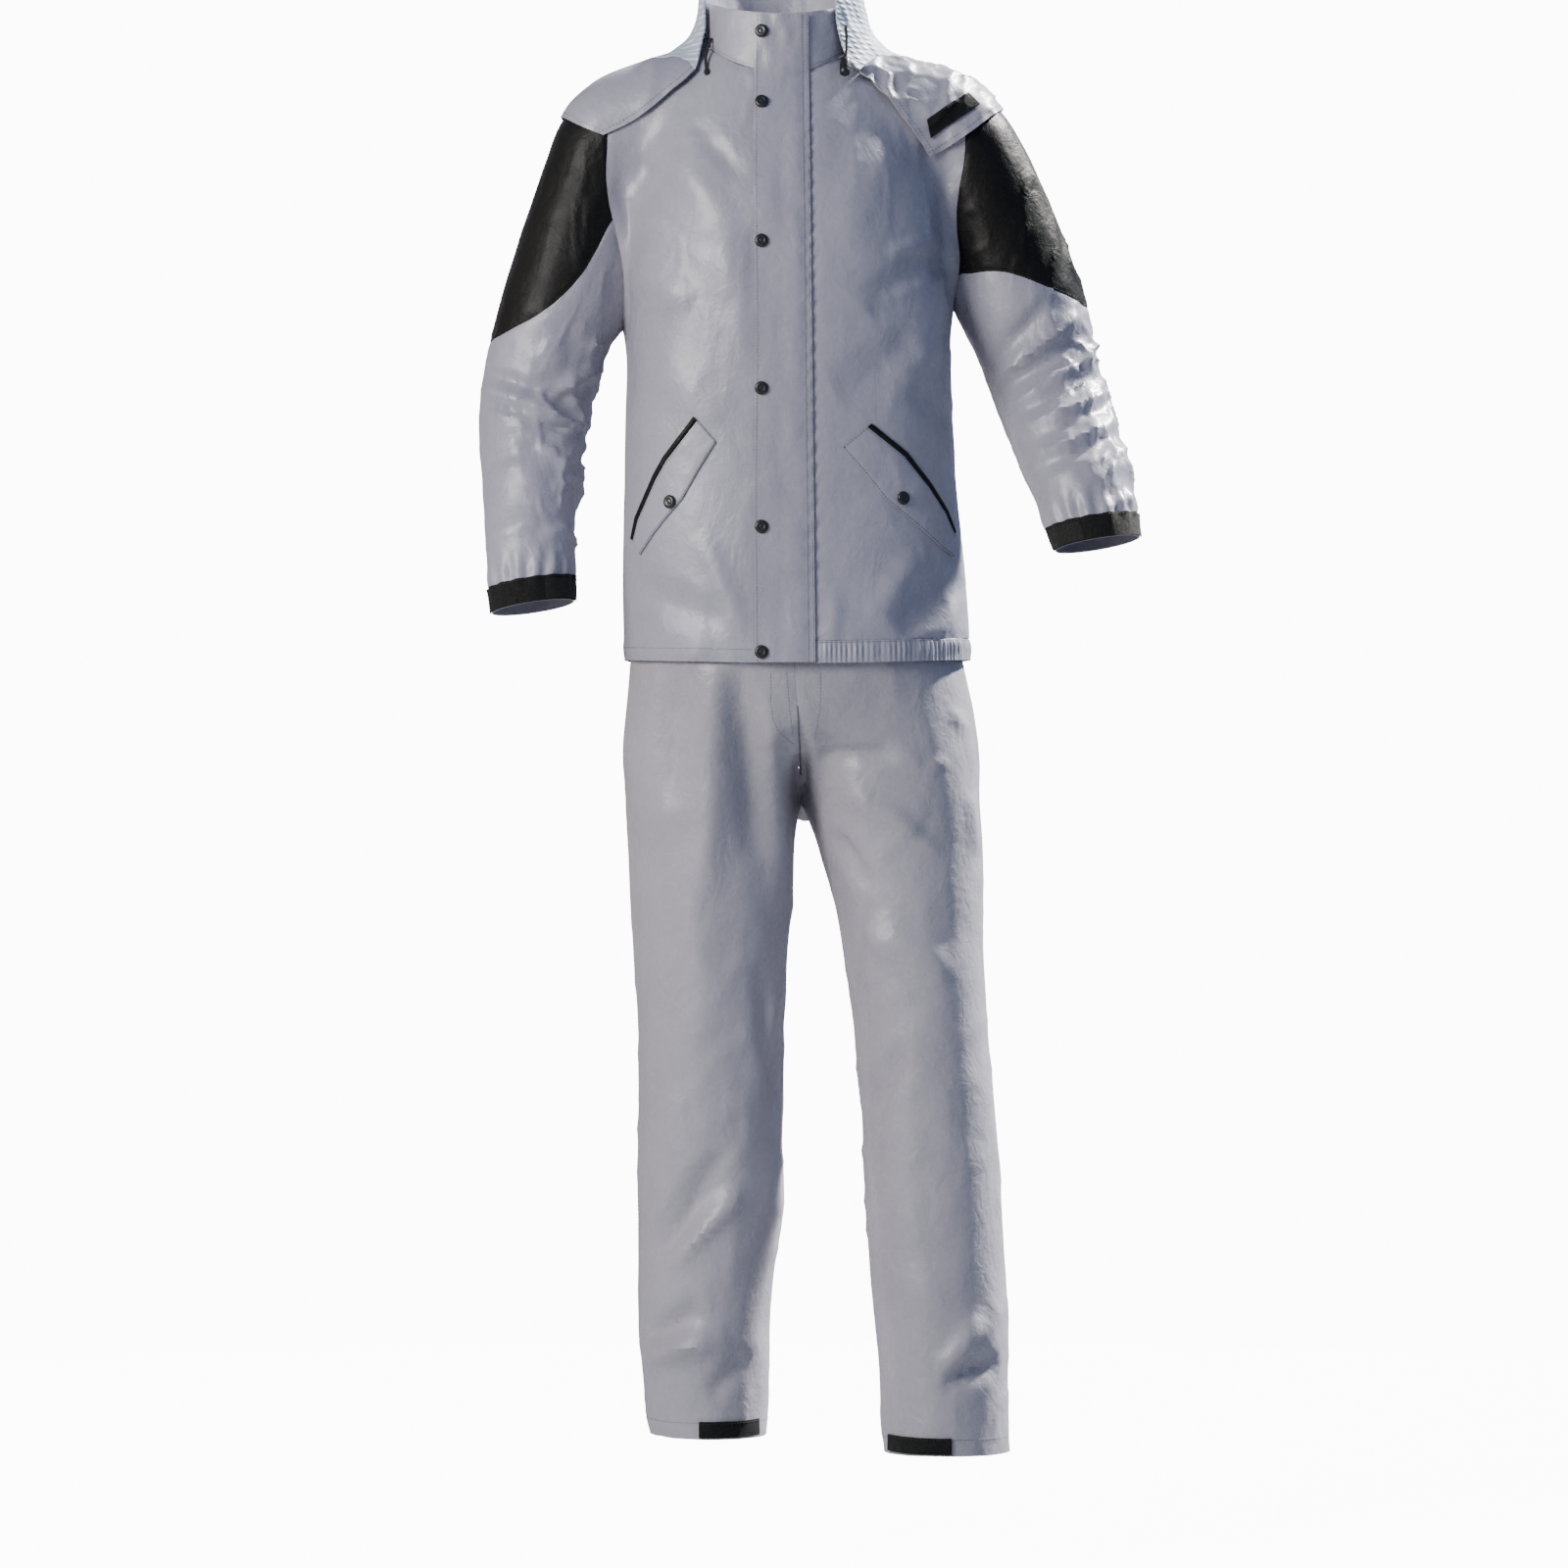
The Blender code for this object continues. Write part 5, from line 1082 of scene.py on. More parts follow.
def hem_casing(seams):
    """The gathered hem casing, from the left front's centre round the back to the right side seam."""
    top = joined(seams["casing", 1], seams["casing", "back"])
    low = joined(seams["hem", 1], seams["hem", "back"])
    count = CASING_FINE * CASING_WAVES
    top, low = resampled(top, count), resampled(low, count)
    rows = []
    for share in np.linspace(0, 1, 9):
        row = top * (1 - share) + low * share
        height = row[:, 2].copy()
        row = settle(row, jacket)
        row[:, 2] = height
        rows.append(row)
    grid = np.array(rows)
    normals = outward(grid, jacket)
    grid = pulled_back(grid, normals, "tlr")
    turn = 2 * math.pi * np.arange(count + 1) / CASING_FINE + 1.4 * noise(grid[4], (40, 40, 40), 41)
    wave = CASING_WAVE * (1 - np.cos(turn)) * (0.4 + 0.4 * noise(grid[4], (25, 25, 25), 42))
    wave += 0.55 * (1 - np.cos(3 * turn)) * (0.8 + 0.6 * noise(grid[4], (18, 18, 18), 43))
    clear_of_flap = np.clip((grid[0, :, 0] - FLAP_SEWN_HEM_X) / 12, 0, 1)
    clear_of_flap[grid[0, :, 1] > 0] = 1
    wave = wave * clear_of_flap
    wave[[0, -1]] = 0
    swell = np.array([0.0, 0.45, 0.8, 1.0, 1.0, 0.9, 0.7, 0.5, 0.45])
    lift = wave[None] * swell[:, None] + 0.5 * jacket_relief(grid)
    lift[0] -= 0.6
    grid = grid + normals * lift[..., None]
    return cloth_wall("hem_casing", grid, grid - CLOTH * normals, "grey_cloth")


def collar(seams):
    """The stand collar, a band with its two ends under the storm flap."""
    base = joined(seams["neck", 1], seams["neck", "back"], seams["neck", -1][::-1])
    start = math.asin(FRONT_X / NECK_X)
    turns = np.concatenate([
        np.linspace(start, math.pi / 2, NECK_COLUMNS + 1),
        np.linspace(math.pi / 2, 1.5 * math.pi, 2 * NECK_COLUMNS + 1)[1:],
        np.linspace(1.5 * math.pi, 2 * math.pi + start, NECK_COLUMNS + 1)[1:],
    ])
    top = neck_ring(turns, (COLLAR_TOP_X, COLLAR_TOP_Y), COLLAR_TOP_Z)
    share = np.linspace(0, 1, COLLAR_ROWS + 1)[:, None, None]
    grid = refined((1 - share) * base + share * top)
    normals = unit(grid * (1, 1, 0))
    grid = pulled_back(grid, normals, "tlr")
    rise = np.linspace(1, 0, len(grid))[:, None]
    lift = 1.6 * (1 - rise) * noise(grid, (10, 16, 30), 51) + 0.7 * noise(grid, (30, 30, 26), 52)
    lift -= 0.8 * np.exp(-(((1 - rise) * 65 / 5) ** 2))
    grid = grid + normals * (lift * np.clip(8 * rise, 0, 1))[..., None]
    return cloth_wall("collar", grid, grid - CLOTH * normals, "grey_cloth")


def sleeve_pieces(side, seams, name):
    """One sleeve: the black panel over the shoulder, the grey tube below it and the cuff tab."""
    front, back = seams["armhole", side, -1], seams["armhole", side, 1]
    guide = PANEL_SEAM_RIGHT if side < 0 else PANEL_SEAM_LEFT
    tip_front = int(np.argmin(np.linalg.norm(front[:, [0, 2]] - guide[0], axis=1)))
    tip_back = int(np.argmin(np.linalg.norm(back[:, [0, 2]] - guide[0], axis=1)))
    outer = settle([(guide[-1][0], 10, guide[-1][1])], jacket)[0]
    line = [front[tip_front], *seen(guide[1:-1], jacket, -1), outer]
    line += [*seen(guide[1:-1], jacket, 1)[::-1], back[tip_back]]
    seam = seam_line(line, tip_front + tip_back, jacket)
    seam[0], seam[-1] = front[tip_front], back[tip_back]
    top = np.concatenate([front[tip_front::-1], back[1 : tip_back + 1]])
    ends = [np.repeat(seam[i][None], PANEL_ROWS + 1, 0) for i in (0, -1)]
    field_wall(f"sleeve_black_{name}", patch(top, seam, *ends, jacket), jacket, "black_cloth", "tb")

    ring = np.empty((AROUND, 3))
    for k in range(AROUND):
        if k <= tip_front:
            ring[k] = seam[tip_front - k]
        elif k >= AROUND - tip_back:
            ring[k] = seam[tip_front + AROUND - k]
        else:
            ring[k] = front[k] if k <= ARM_ROWS else back[AROUND - k]
    centres = ARMS[side][0]
    run = np.concatenate([[0], np.cumsum(np.linalg.norm(np.diff(centres, axis=0), axis=1))])
    end = run[-1]
    first = np.interp(-SLEEVE_START, -centres[:, 2], run)
    gather = end - CUFF - 16
    stations = [*np.linspace(first, gather - 34, SLEEVE_RINGS - 3), gather, end - CUFF, end]
    turn = 2 * math.pi * np.arange(AROUND) / AROUND
    whole = []
    for station in stations:
        centre = np.array([np.interp(station, run, centres[:, axis]) for axis in range(3)])
        ahead = np.array([np.interp(station + 8, run, centres[:, axis]) for axis in range(3)])
        behind = np.array([np.interp(station - 8, run, centres[:, axis]) for axis in range(3)])
        near_cuff = np.clip((station - (end - 130)) / 100, 0, 1)
        axis = unit(unit(ahead - behind) * (1 - near_cuff) + np.array(CUFF_AXIS) * near_cuff)
        out = unit(np.array([side, 0, 0]) - side * axis[0] * axis)
        forward = np.cross(axis, out)
        forward *= -np.sign(forward[1])
        ways = out * np.cos(turn)[:, None] + forward * np.sin(turn)[:, None]
        whole.append(cast(centre, centre + 50 * ways, jacket))

    def arm(points):
        return chain_distance(points, *ARMS[side])

    stack = [ring, ring * 2 / 3 + whole[0] / 3, ring / 3 + whole[0] * 2 / 3, whole[0]]
    for _ in range(6):
        for i in (1, 2):
            row = stack[i]
            mean = (np.roll(row, 1, 0) + np.roll(row, -1, 0) + stack[i - 1] + stack[i + 1]) / 4
            stack[i] = settle(row * 0.4 + mean * 0.6, arm)
    coarse = np.array([ring, *stack[1:3], *whole])
    grid = refined(coarse, True)
    normals = outward(grid, jacket)
    grid = pulled_back(grid, normals, "t")
    lift = jacket_relief(grid) + edge_relief(grid, "t")
    count = grid.shape[1]
    away = run_lengths(grid, 0)
    from_end = (away[-1] - away)[:, None]
    quiet = np.clip((from_end - CUFF) / 40, 0, 1)
    round_cuff = 2 * math.pi * CUFF_GATHERS * np.arange(count) / count
    wander = 1.3 * noise(grid, (30, 30, 60), 61)
    envelope = np.exp(-(((from_end - CUFF - 9) / 15) ** 2))
    gathers = CUFF_WAVE * 1.5 * envelope * np.cos(round_cuff[None] + wander)
    grid = grid + normals * (lift * quiet + gathers)[..., None]
    cloth_wall(f"sleeve_grey_{name}", grid, grid - CLOTH * turned(grid, normals, True), "grey_cloth", around=True)

    rows = int(np.argmax(from_end[:, 0] <= CUFF + 0.5))
    tab = grid[rows:, : count // 2 + 1]
    ways = normals[rows:, : count // 2 + 1]
    outer = tab + (LAY_GAP + TRIM) * ways
    cloth_wall(f"cuff_tab_{name}", outer, tab + LAY_GAP * ways, "black_tape")
    inner_end = slice(-count // 5, None)
    loops = [face[1:-1, inner_end] for face in (outer, ways)]
    cloth_wall(f"cuff_loop_{name}", loops[0] + 0.35 * loops[1], loops[0] + 0.02 * loops[1], "tape_light", trim_of=f"cuff_tab_{name}")


CUFF_GATHERS = 15


def tree_of(*objects):
    """A search tree of the objects' faces, in metres."""
    verts, faces = [], []
    for obj in objects:
        start = len(verts)
        verts += [v.co.copy() for v in obj.data.vertices]
        for polygon in obj.data.polygons:
            faces.append([start + v for v in polygon.vertices])
    return BVHTree.FromPolygons(verts, faces)


def on_faces(places, tree, side=-1):
    """The points where rays from the front, or from behind at side 1, meet the faces at (x, z).

    A ray that slips through a seam's gap takes the depth of the nearest of the rays beside it.
    """
    points = []
    beside = ((0.0, 0.0), (0.0, 0.7), (0.0, -0.7), (0.7, 0.0), (-0.7, 0.0))
    for x, z in np.reshape(places, (-1, 2)):
        depths = []
        for dx, dz in beside:
            start = Vector((x + dx, side * 400.0, z + dz)) * MM
            hit = tree.ray_cast(start, Vector((0, -side, 0)))[0]
            depths.append(-side * 1000.0 if hit is None else hit[1] / MM)
        depth = depths[0]
        nearest = side * max(side * d for d in depths)
        if side * (nearest - depth) > 2.0:
            depth = nearest
        points.append((x, depth, z))
    return np.array(points).reshape((*np.shape(places)[:-1], 3))



def between_lines(first, last, columns, rows):
    """A grid of (x, z) places between two lines, each an even run of points."""
    lines = []
    for line in (first, last):
        flat = resampled([(x, 0, z) for x, z in line], columns)
        lines.append(flat[:, [0, 2]])
    share = np.linspace(0, 1, rows + 1)[:, None, None]
    return (1 - share) * lines[0] + share * lines[1]



def laid_wall(name, places, tree, field, slot, gap=LAY_GAP, thickness=TRIM, plump=0.0):
    """A piece that lies on others: their face's points at a grid of (x, z) places, moved out."""
    base = on_faces(places, tree)
    away = outward(settle(base, field), field)
    rows, columns = base.shape[:2]
    across = np.sin(np.pi * np.linspace(0, 1, rows))[:, None] * np.sin(np.pi * np.linspace(0, 1, columns))[None]
    lift = plump * across**0.5 + 0.5 * noise(base, (16, 16, 16), 71) * np.clip(across * 4, 0, 1)
    outer = base + (gap + thickness + lift)[..., None] * away
    return cloth_wall(name, outer, base + gap * away, slot)


def storm_flap(tree, seams):
    """The flap over the front opening, from the collar's top edge to the hem, in the fronts' own rows."""
    collar_top = COLLAR_TOP_Z[0] + COLLAR_TOP_Z[1] - 1.5
    centre = seams["centre", -1][:, 2]
    heights = np.concatenate([np.linspace(collar_top, centre[0], COLLAR_ROWS + 1), centre[1:]])
    heights[-1] += 1.0
    heights = along_run(heights, fine_places(len(heights) - 1))
    sewn = np.interp(heights, (HEM_FRONT, collar_top), (FLAP_SEWN_HEM_X, FLAP_SEWN_TOP_X))
    share = np.unique(np.concatenate([np.linspace(0, 1, 19), [0.02, 0.97, 0.985]]))
    free = FLAP_FREE_X + 0.7 * np.sin(heights / 60)
    x = free[:, None] + (sewn - free)[:, None] * share
    places = np.stack([x, heights[:, None] + 0 * x], -1)
    base = on_faces(places, tree)
    smooth = base[..., 1].copy()
    for _ in range(14):
        smooth[1:-1] = (smooth[:-2] + 2 * smooth[1:-1] + smooth[2:]) / 4
        smooth[:, 1:-1] = (smooth[:, :-2] + 2 * smooth[:, 1:-1] + smooth[:, 2:]) / 4
    held = np.clip((share - 0.55) / 0.4, 0, 1)[None]
    base[..., 1] = np.minimum(base[..., 1], smooth * (1 - held) + base[..., 1] * held)
    lift = 0.9 * noise(base, (26, 26, 60), 72) + 0.6 * noise(base, (12, 12, 30), 73) + 0.5
    near_sewn = np.exp(-(((x - sewn[:, None] + 5) / 7) ** 2))
    lift = np.clip(lift, 0, 3) * (1 - near_sewn)
    lift -= 0.5 * near_sewn * (1 + np.sin(heights * 1.05)[:, None])
    top = np.clip((heights + 10) / 40, 0, 1)[:, None]
    lift += top * 1.3 * noise(base, (9, 9, 26), 74)
    out = np.array([0.0, -1.0, 0.0])
    outer = base + (FLAP_LAY_GAP + TRIM + lift)[..., None] * out
    return cloth_wall("storm_flap", outer, base + FLAP_LAY_GAP * out, "grey_cloth")


SNAP_PROFILE = table(
    "radius height",
    (0.0, 2.0),
    (1.6, 2.0),
    (2.2, 1.75),
    (2.6, 1.75),
    (3.4, 2.15),
    (4.8, 2.2),
    (6.0, 1.9),
    (6.8, 1.2),
    (7.3, 0.4),
    (7.3, -1.1),
)
SNAP_AROUND = 40


def snap(name, place_xz, tree, field):
    """A round snap cap with a dished middle, standing on the cloth at (x, z)."""
    turns = 2 * math.pi * np.arange(SNAP_AROUND) / SNAP_AROUND
    rings = []
    for radius, height in zip(SNAP_PROFILE["radius"][1:], SNAP_PROFILE["height"][1:]):
        rings.append(np.stack([radius * np.cos(turns), radius * np.sin(turns), 0 * turns + height], 1))
    shape = bmesh.new()
    middle = shape.verts.new((0, 0, SNAP_PROFILE["height"][0] * MM))
    loops = [[shape.verts.new(Vector(p) * MM) for p in ring] for ring in rings]
    for k in range(SNAP_AROUND):
        after = (k + 1) % SNAP_AROUND
        shape.faces.new((middle, loops[0][k], loops[0][after]))
        for inner, outer in zip(loops[:-1], loops[1:]):
            shape.faces.new((inner[k], outer[k], outer[after], inner[after]))
    shape.faces.new(loops[-1][::-1])
    bmesh.ops.recalc_face_normals(shape, faces=shape.faces)
    mesh = bpy.data.meshes.new(name)
    shape.to_mesh(mesh)
    shape.free()
    base = on_faces([place_xz], tree)
    ways = base + 4 * np.array([[0, 0, 0], [1, 0, 0], [-1, 0, 0], [0, 0, 1], [0, 0, -1]])
    base_way = outward(settle(ways, field), field).mean(0)
    seat = base[0] + unit(base_way) * (0.45 + SNAP_HEIGHT / 2)
    turn = Vector((0, 0, 1)).rotation_difference(Vector(base_way)).to_matrix().to_4x4()
    matrix = Matrix.Translation(Vector(seat) * MM) @ turn
    mesh.transform(matrix)
    place(name + "_cap", mesh, "black_snap", node=name)
    mesh.set_sharp_from_angle(angle=math.radians(50))


def pocket(side, tree, name):
    """A slanted pocket: its piping, the flap sewn under it and the flap's snap."""
    line, edge = (POCKET_LINE_RIGHT, POCKET_EDGE_RIGHT) if side < 0 else (POCKET_LINE_LEFT, POCKET_EDGE_LEFT)
    places = between_lines(line, edge, POCKET_COLUMNS * 5, POCKET_ROWS * 5)
    strip = unit(places[1] - places[0])
    first = places[0] + strip * (PIPING_WIDTH / 2 + SEAM_GAP)
    share = np.linspace(0, 1, len(places))[:, None, None]
    flap = laid_wall(
        f"pocket_flap_{name}", (1 - share) * first + share * places[-1], tree, jacket, "grey_cloth", plump=1.2
    )
    half = PIPING_WIDTH / 2 * np.linspace(1.0, 0.7, places.shape[1])[:, None]
    across = np.linspace(-1, 1, 7)[:, None, None]
    piping = places[0] + across * strip * half
    base = on_faces(piping, tree)
    away = outward(settle(base, jacket), jacket)
    crown = np.sqrt(1 - 0.85 * np.linspace(-1, 1, 7) ** 2)[:, None, None]
    cloth_wall(
        f"pocket_piping_{name}",
        base + (LAY_GAP + 0.6 + (PIPING_WALL - 0.6) * crown) * away,
        base + LAY_GAP * away,
        "black_cloth",
    )
    snap(f"snap_pocket_{name}", POCKET_SNAP_RIGHT if side < 0 else POCKET_SNAP_LEFT, tree_of(flap), jacket)


HOOD_RIM_SIZES, HOOD_RIM_Z = (90.0, 93.0), (97.0, -14.0, 3.0)
HOOD_LEVEL = 8.0  # height of the hood's outer face over the jacket on the shoulders
HOOD_EDGE_LEVEL = 4.6  # and at its edges
HOOD_FRONT_RIGHT, HOOD_FRONT_LEFT = -68.0, 42.0  # angles of its front edges at the rim, from the front
HOOD_SEAM_RIGHT = ((-94, 8), (-105, 21), (-117, 27), (-138, 22))  # seen from the front
HOOD_SEAM_LEFT = ((86, 6), (100, 20), (114, 28), (128, 26))
HOOD_TOP_RIGHT, HOOD_TOP_LEFT = (-148, 22, 24), (138, 22, 26)
FLAP_FRONT_RIGHT = ((-106, -4), (-124, -18), (-142, -34), (-160, -47), (-184, -59), (-195, -63))
FLAP_FRONT_LEFT = ((98, -2), (111, -17), (128, -37), (145, -59), (165, -88))
FLAP_END_RIGHT, FLAP_END_LEFT = ((-221, -52),), ((198, -67),)
FLAP_POINT_RIGHT, FLAP_POINT_LEFT = (-244, 10, -36), (239, 4, -34)
HOOD_COLUMNS = (10, 12, 10)  # along the seam: right flap, back of the neck, left flap
HOOD_ROWS, FLAP_SIDE_ROWS = 4, 7
BAG_ROWS, BAG_COLUMNS, BAG_SIDE_ROWS = 9, 12, 3
BAG_TOP, BAG_TOP_SIDE, BAG_BOTTOM = 46.0, 22.0, -234.0
BAG_WIDTH, BAG_BULGE_X, BAG_DEPTH = 106.0, 30.0, 50.0
HOOK_PATCH = ((204, -16), (217, -29), (163, -67), (159, -47))



def bag_places():
    """The (x, z) places of the hood's bag on the back, and how far it stands off the jacket there."""
    u = np.linspace(-1, 1, BAG_COLUMNS + 1)[None, :]
    v = np.linspace(0, 1, BAG_ROWS + 1)[:, None]
    half = BAG_WIDTH + BAG_BULGE_X * np.sin(np.pi * v**0.8) - 22 * v**3
    top = BAG_TOP + (BAG_TOP_SIDE - BAG_TOP) * np.abs(u) ** 2.2
    bottom = BAG_BOTTOM + 34 * np.abs(u) ** 3
    x = half * u
    z = top * (1 - v) + bottom * v
    stand = (1 - np.abs(u) ** 2.4) ** 0.8 * np.cos(0.5 * np.pi * v**2.2)
    return np.stack([x, z + 0 * x], -1), BAG_DEPTH * stand



FLAP_SOFT_FOLD = ((-139, 27), (-140, -6), (-150, -34))


def hood_pieces():
    """The hood, laid open: a neck part round the collar, a flap on each shoulder and the bag on the back."""
    places, stand = bag_places()
    shape = places.shape[:2]
    back = seen(places.reshape(-1, 2), jacket, 1, HOOD_EDGE_LEVEL).reshape((*shape, 3))
    bag = refined(back + stand[..., None] * np.array([0.0, 1.0, 0.0]))
    normals = grid_normals(bag, np.array([0.0, 60.0, -60.0]))
    loose = refined(np.repeat(stand[..., None], 3, -1))[..., 0] / BAG_DEPTH
    lift = 4.0 * noise(bag, (60, 60, 44), 81) + 3.0 * creased(bag, (50, 50, 36), 82) - 1.0
    lift += 1.4 * creased(bag, (24, 24, 20), 83)
    bag = bag + normals * (np.clip(loose * 2, 0, 1) * lift)[..., None]
    cloth_wall("hood_bag", bag, bag - CLOTH * turned(bag, normals), "grey_cloth")

    junction = {-1: back[0, 0], 1: back[0, -1]}
    lines = {}
    for side, front, top in (
        (-1, HOOD_SEAM_RIGHT, HOOD_TOP_RIGHT),
        (1, HOOD_SEAM_LEFT, HOOD_TOP_LEFT),
    ):
        shoulder = settle([top], jacket, HOOD_LEVEL)[0]
        behind = settle([shoulder * 0.5 + junction[side] * 0.5], jacket, HOOD_LEVEL)[0]
        guide = [*seen(front, jacket, -1, HOOD_LEVEL), shoulder, behind, junction[side]]
        count = HOOD_COLUMNS[0] if side < 0 else HOOD_COLUMNS[2]
        heights = [HOOD_LEVEL, HOOD_LEVEL, HOOD_EDGE_LEVEL]
        level = np.interp(np.arange(count + 1), [0, count - 2, count], heights)
        line = settle(resampled(guide, count), jacket, level)
        line[-1] = junction[side]
        lines[side] = line
    neck = []
    for angle in np.linspace(1, -1, 9)[1:-1] * math.radians(60):
        neck.append((88 * math.sin(angle), 88 * math.cos(angle) + 2, 46))
    neck = settle(neck, jacket, HOOD_EDGE_LEVEL)
    behind = resampled([junction[1], *neck, junction[-1]], HOOD_COLUMNS[1])
    behind[1:-1] = settle(behind[1:-1], jacket, HOOD_EDGE_LEVEL)
    seam = joined(lines[1], behind, lines[-1][::-1])
    turns = np.radians(np.linspace(HOOD_FRONT_LEFT, 360 + HOOD_FRONT_RIGHT, len(seam)))
    rim = neck_ring(turns, HOOD_RIM_SIZES, HOOD_RIM_Z)
    waist = rim * (1.02, 1.02, 0)
    waist[:, 2] = np.minimum(seam[:, 2] + 16, rim[:, 2] - 20)
    share = np.linspace(0, 1, HOOD_ROWS + 1)[:, None, None]
    grid = (1 - share) ** 2 * rim + 2 * share * (1 - share) * waist + share**2 * seam
    flat = grid[1:-1].reshape(-1, 3)
    low = jacket(flat) < HOOD_EDGE_LEVEL
    flat[low] = settle(flat[low], jacket, HOOD_EDGE_LEVEL)
    grid[1:-1] = flat.reshape(grid[1:-1].shape)
    grid = refined(grid)
    normals = grid_normals(grid, np.array([0.0, 0.0, -40.0]))
    grid = pulled_back(grid, normals, "b", 2 * SEAM_GAP)
    rise = np.linspace(1, 0, len(grid))[:, None]
    lift = 1.6 * noise(grid, (22, 22, 22), 84) + 1.4 * creased(grid, (30, 30, 24), 85)
    grid = grid + normals * (lift * np.clip(4 * rise * (1 - rise) + 0.15, 0, 1))[..., None]
    cloth_wall("hood_neck", grid, grid - CLOTH * turned(grid, normals), "hood_lining")

    flaps = {}
    for side, name, front, end, point in (
        (-1, "right", FLAP_FRONT_RIGHT, FLAP_END_RIGHT, FLAP_POINT_RIGHT),
        (1, "left", FLAP_FRONT_LEFT, FLAP_END_LEFT, FLAP_POINT_LEFT),
    ):
        bag_edge = back[: BAG_SIDE_ROWS + 1, 0 if side < 0 else -1]
        count = len(lines[side]) - 1
        front_points = seen(front, jacket, -1, HOOD_LEVEL)
        fronts = resampled([lines[side][0], *front_points], FLAP_SIDE_ROWS)
        fronts[1:] = settle(fronts[1:], jacket, np.linspace(HOOD_LEVEL, HOOD_EDGE_LEVEL, FLAP_SIDE_ROWS))
        behind = resampled(bag_edge, FLAP_SIDE_ROWS)
        tip = settle([point], jacket, HOOD_EDGE_LEVEL)[0]
        blade = settle([tip * (0.86, 1, 1) + (0, 60, -26)], jacket, HOOD_EDGE_LEVEL)[0]
        guide = [fronts[-1], *seen(end, jacket, -1, HOOD_EDGE_LEVEL), tip, blade, behind[-1]]
        low = resampled(guide, count)
        low[1:-1] = settle(low[1:-1], jacket, HOOD_EDGE_LEVEL)
        level = np.full((FLAP_SIDE_ROWS + 1, count + 1), HOOD_LEVEL)
        level *= np.linspace(1, HOOD_EDGE_LEVEL / HOOD_LEVEL, FLAP_SIDE_ROWS + 1)[:, None]
        level[:, -2] = (HOOD_LEVEL + HOOD_EDGE_LEVEL) / 2
        level = np.maximum(level, HOOD_EDGE_LEVEL)
        flap = patch(lines[side], low, fronts, behind, jacket, level, rounds=8)
        fine = refined(flap)
        normals = outward(fine, jacket)
        fine = pulled_back(fine, normals, "tr")
        if side > 0:
            lift = 1.6 * noise(fine, (36, 36, 36), 86) + 4.2 * creased(fine, (34, 34, 34), 87)
            lift += 2.2 * creased(fine, (17, 17, 17), 88) - 1.0
        else:
            lift = 1.4 * noise(fine, (60, 60, 60), 89)
            lift += 2.4 * near_line(fine, FLAP_SOFT_FOLD, 16) ** 1.3
        fine = fine + normals * (lift + edge_relief(fine, "tlb", 0.6, 6.0))[..., None]
        inner = fine - CLOTH * turned(fine, normals)
        flaps[name] = cloth_wall(f"hood_flap_{name}", fine, inner, "grey_cloth")
    corners = HOOK_PATCH
    places = between_lines((corners[0], corners[3]), (corners[1], corners[2]), 28, 10)
    laid_wall("hood_hook_patch", places, tree_of(flaps["left"]), jacket, "black_tape", gap=1.0)



def trouser_seams():
    """The seam lines that the trouser pieces share."""
    seams = {}
    quarter = math.pi / 2
    crotch = settle([CROTCH], trousers)[0]
    for face, rise in ((-1, RISE_FRONT), (1, RISE_BACK)):
        guide = [*seen(rise, trousers, face), crotch]
        seams["rise", face] = seam_line(guide, RISE_ROWS, trousers)
        seams["rise", face][-1] = crotch
    for side, leg, hem in ((-1, LEG_SECTIONS[0], TROUSER_HEM_RIGHT), (1, LEG_SECTIONS[1], TROUSER_HEM_LEFT)):
        waist = {}
        for face, centre_angle in ((-1, 0), (1, 2 * quarter * side)):
            angles = np.linspace(side * quarter, centre_angle, LEG_COLUMNS + 1)
            ring = body_ring(angles, [WAIST_BOTTOM] * len(angles), HIP_SECTIONS, trousers)
            ring[-1] = seams["rise", face][0]
            waist[face] = ring
            low = np.linspace(0, math.pi, LEG_COLUMNS + 1)
            angles = side * quarter - side * low if face < 0 else side * quarter + side * low
            heights = [hem[0] + (hem[1] - hem[0]) * (1 - math.cos(a)) / 2 for a in angles]
            seams["hem", side, face] = body_ring(angles, heights, leg, trousers)
        waist[1][0] = waist[-1][0]
        for face in (-1, 1):
            seams["waist", side, face] = waist[face]
            seams["hem", side, face][0] = seams["hem", side, -1][0]
            seams["hem", side, face][-1] = seams["hem", side, -1][-1]
        hem_out, hem_in = seams["hem", side, -1][0], seams["hem", side, -1][-1]
        guide = [waist[-1][0]]
        for z in (-560, -640, -700, -760):
            guide.extend(body_ring([side * quarter], [z], HIP_SECTIONS, trousers))
        for z in (-860, -980, -1120, -1260, -1380):
            guide.extend(body_ring([side * quarter], [z], leg, trousers))
        whole = seam_line([*guide, hem_out], RISE_ROWS + LEG_ROWS, trousers)
        whole[0], whole[-1] = waist[-1][0], hem_out
        seams["outseam", side] = whole
        guide = [crotch]
        for z in (-830, -900, -1000, -1120, -1260, -1380):
            guide.extend(body_ring([-side * quarter], [z], leg, trousers))
        line = seam_line([*guide, hem_in], LEG_ROWS, trousers)
        line[0], line[-1] = crotch, hem_in
        seams["inseam", side] = line
    return seams


def trouser_piece(side, face, seams):
    """A front or back half leg, from the waistband to the hem."""
    inner = joined(seams["rise", face], seams["inseam", side])
    return patch(
        seams["waist", side, face],
        seams["hem", side, face],
        seams["outseam", side],
        inner,
        trousers,
    )



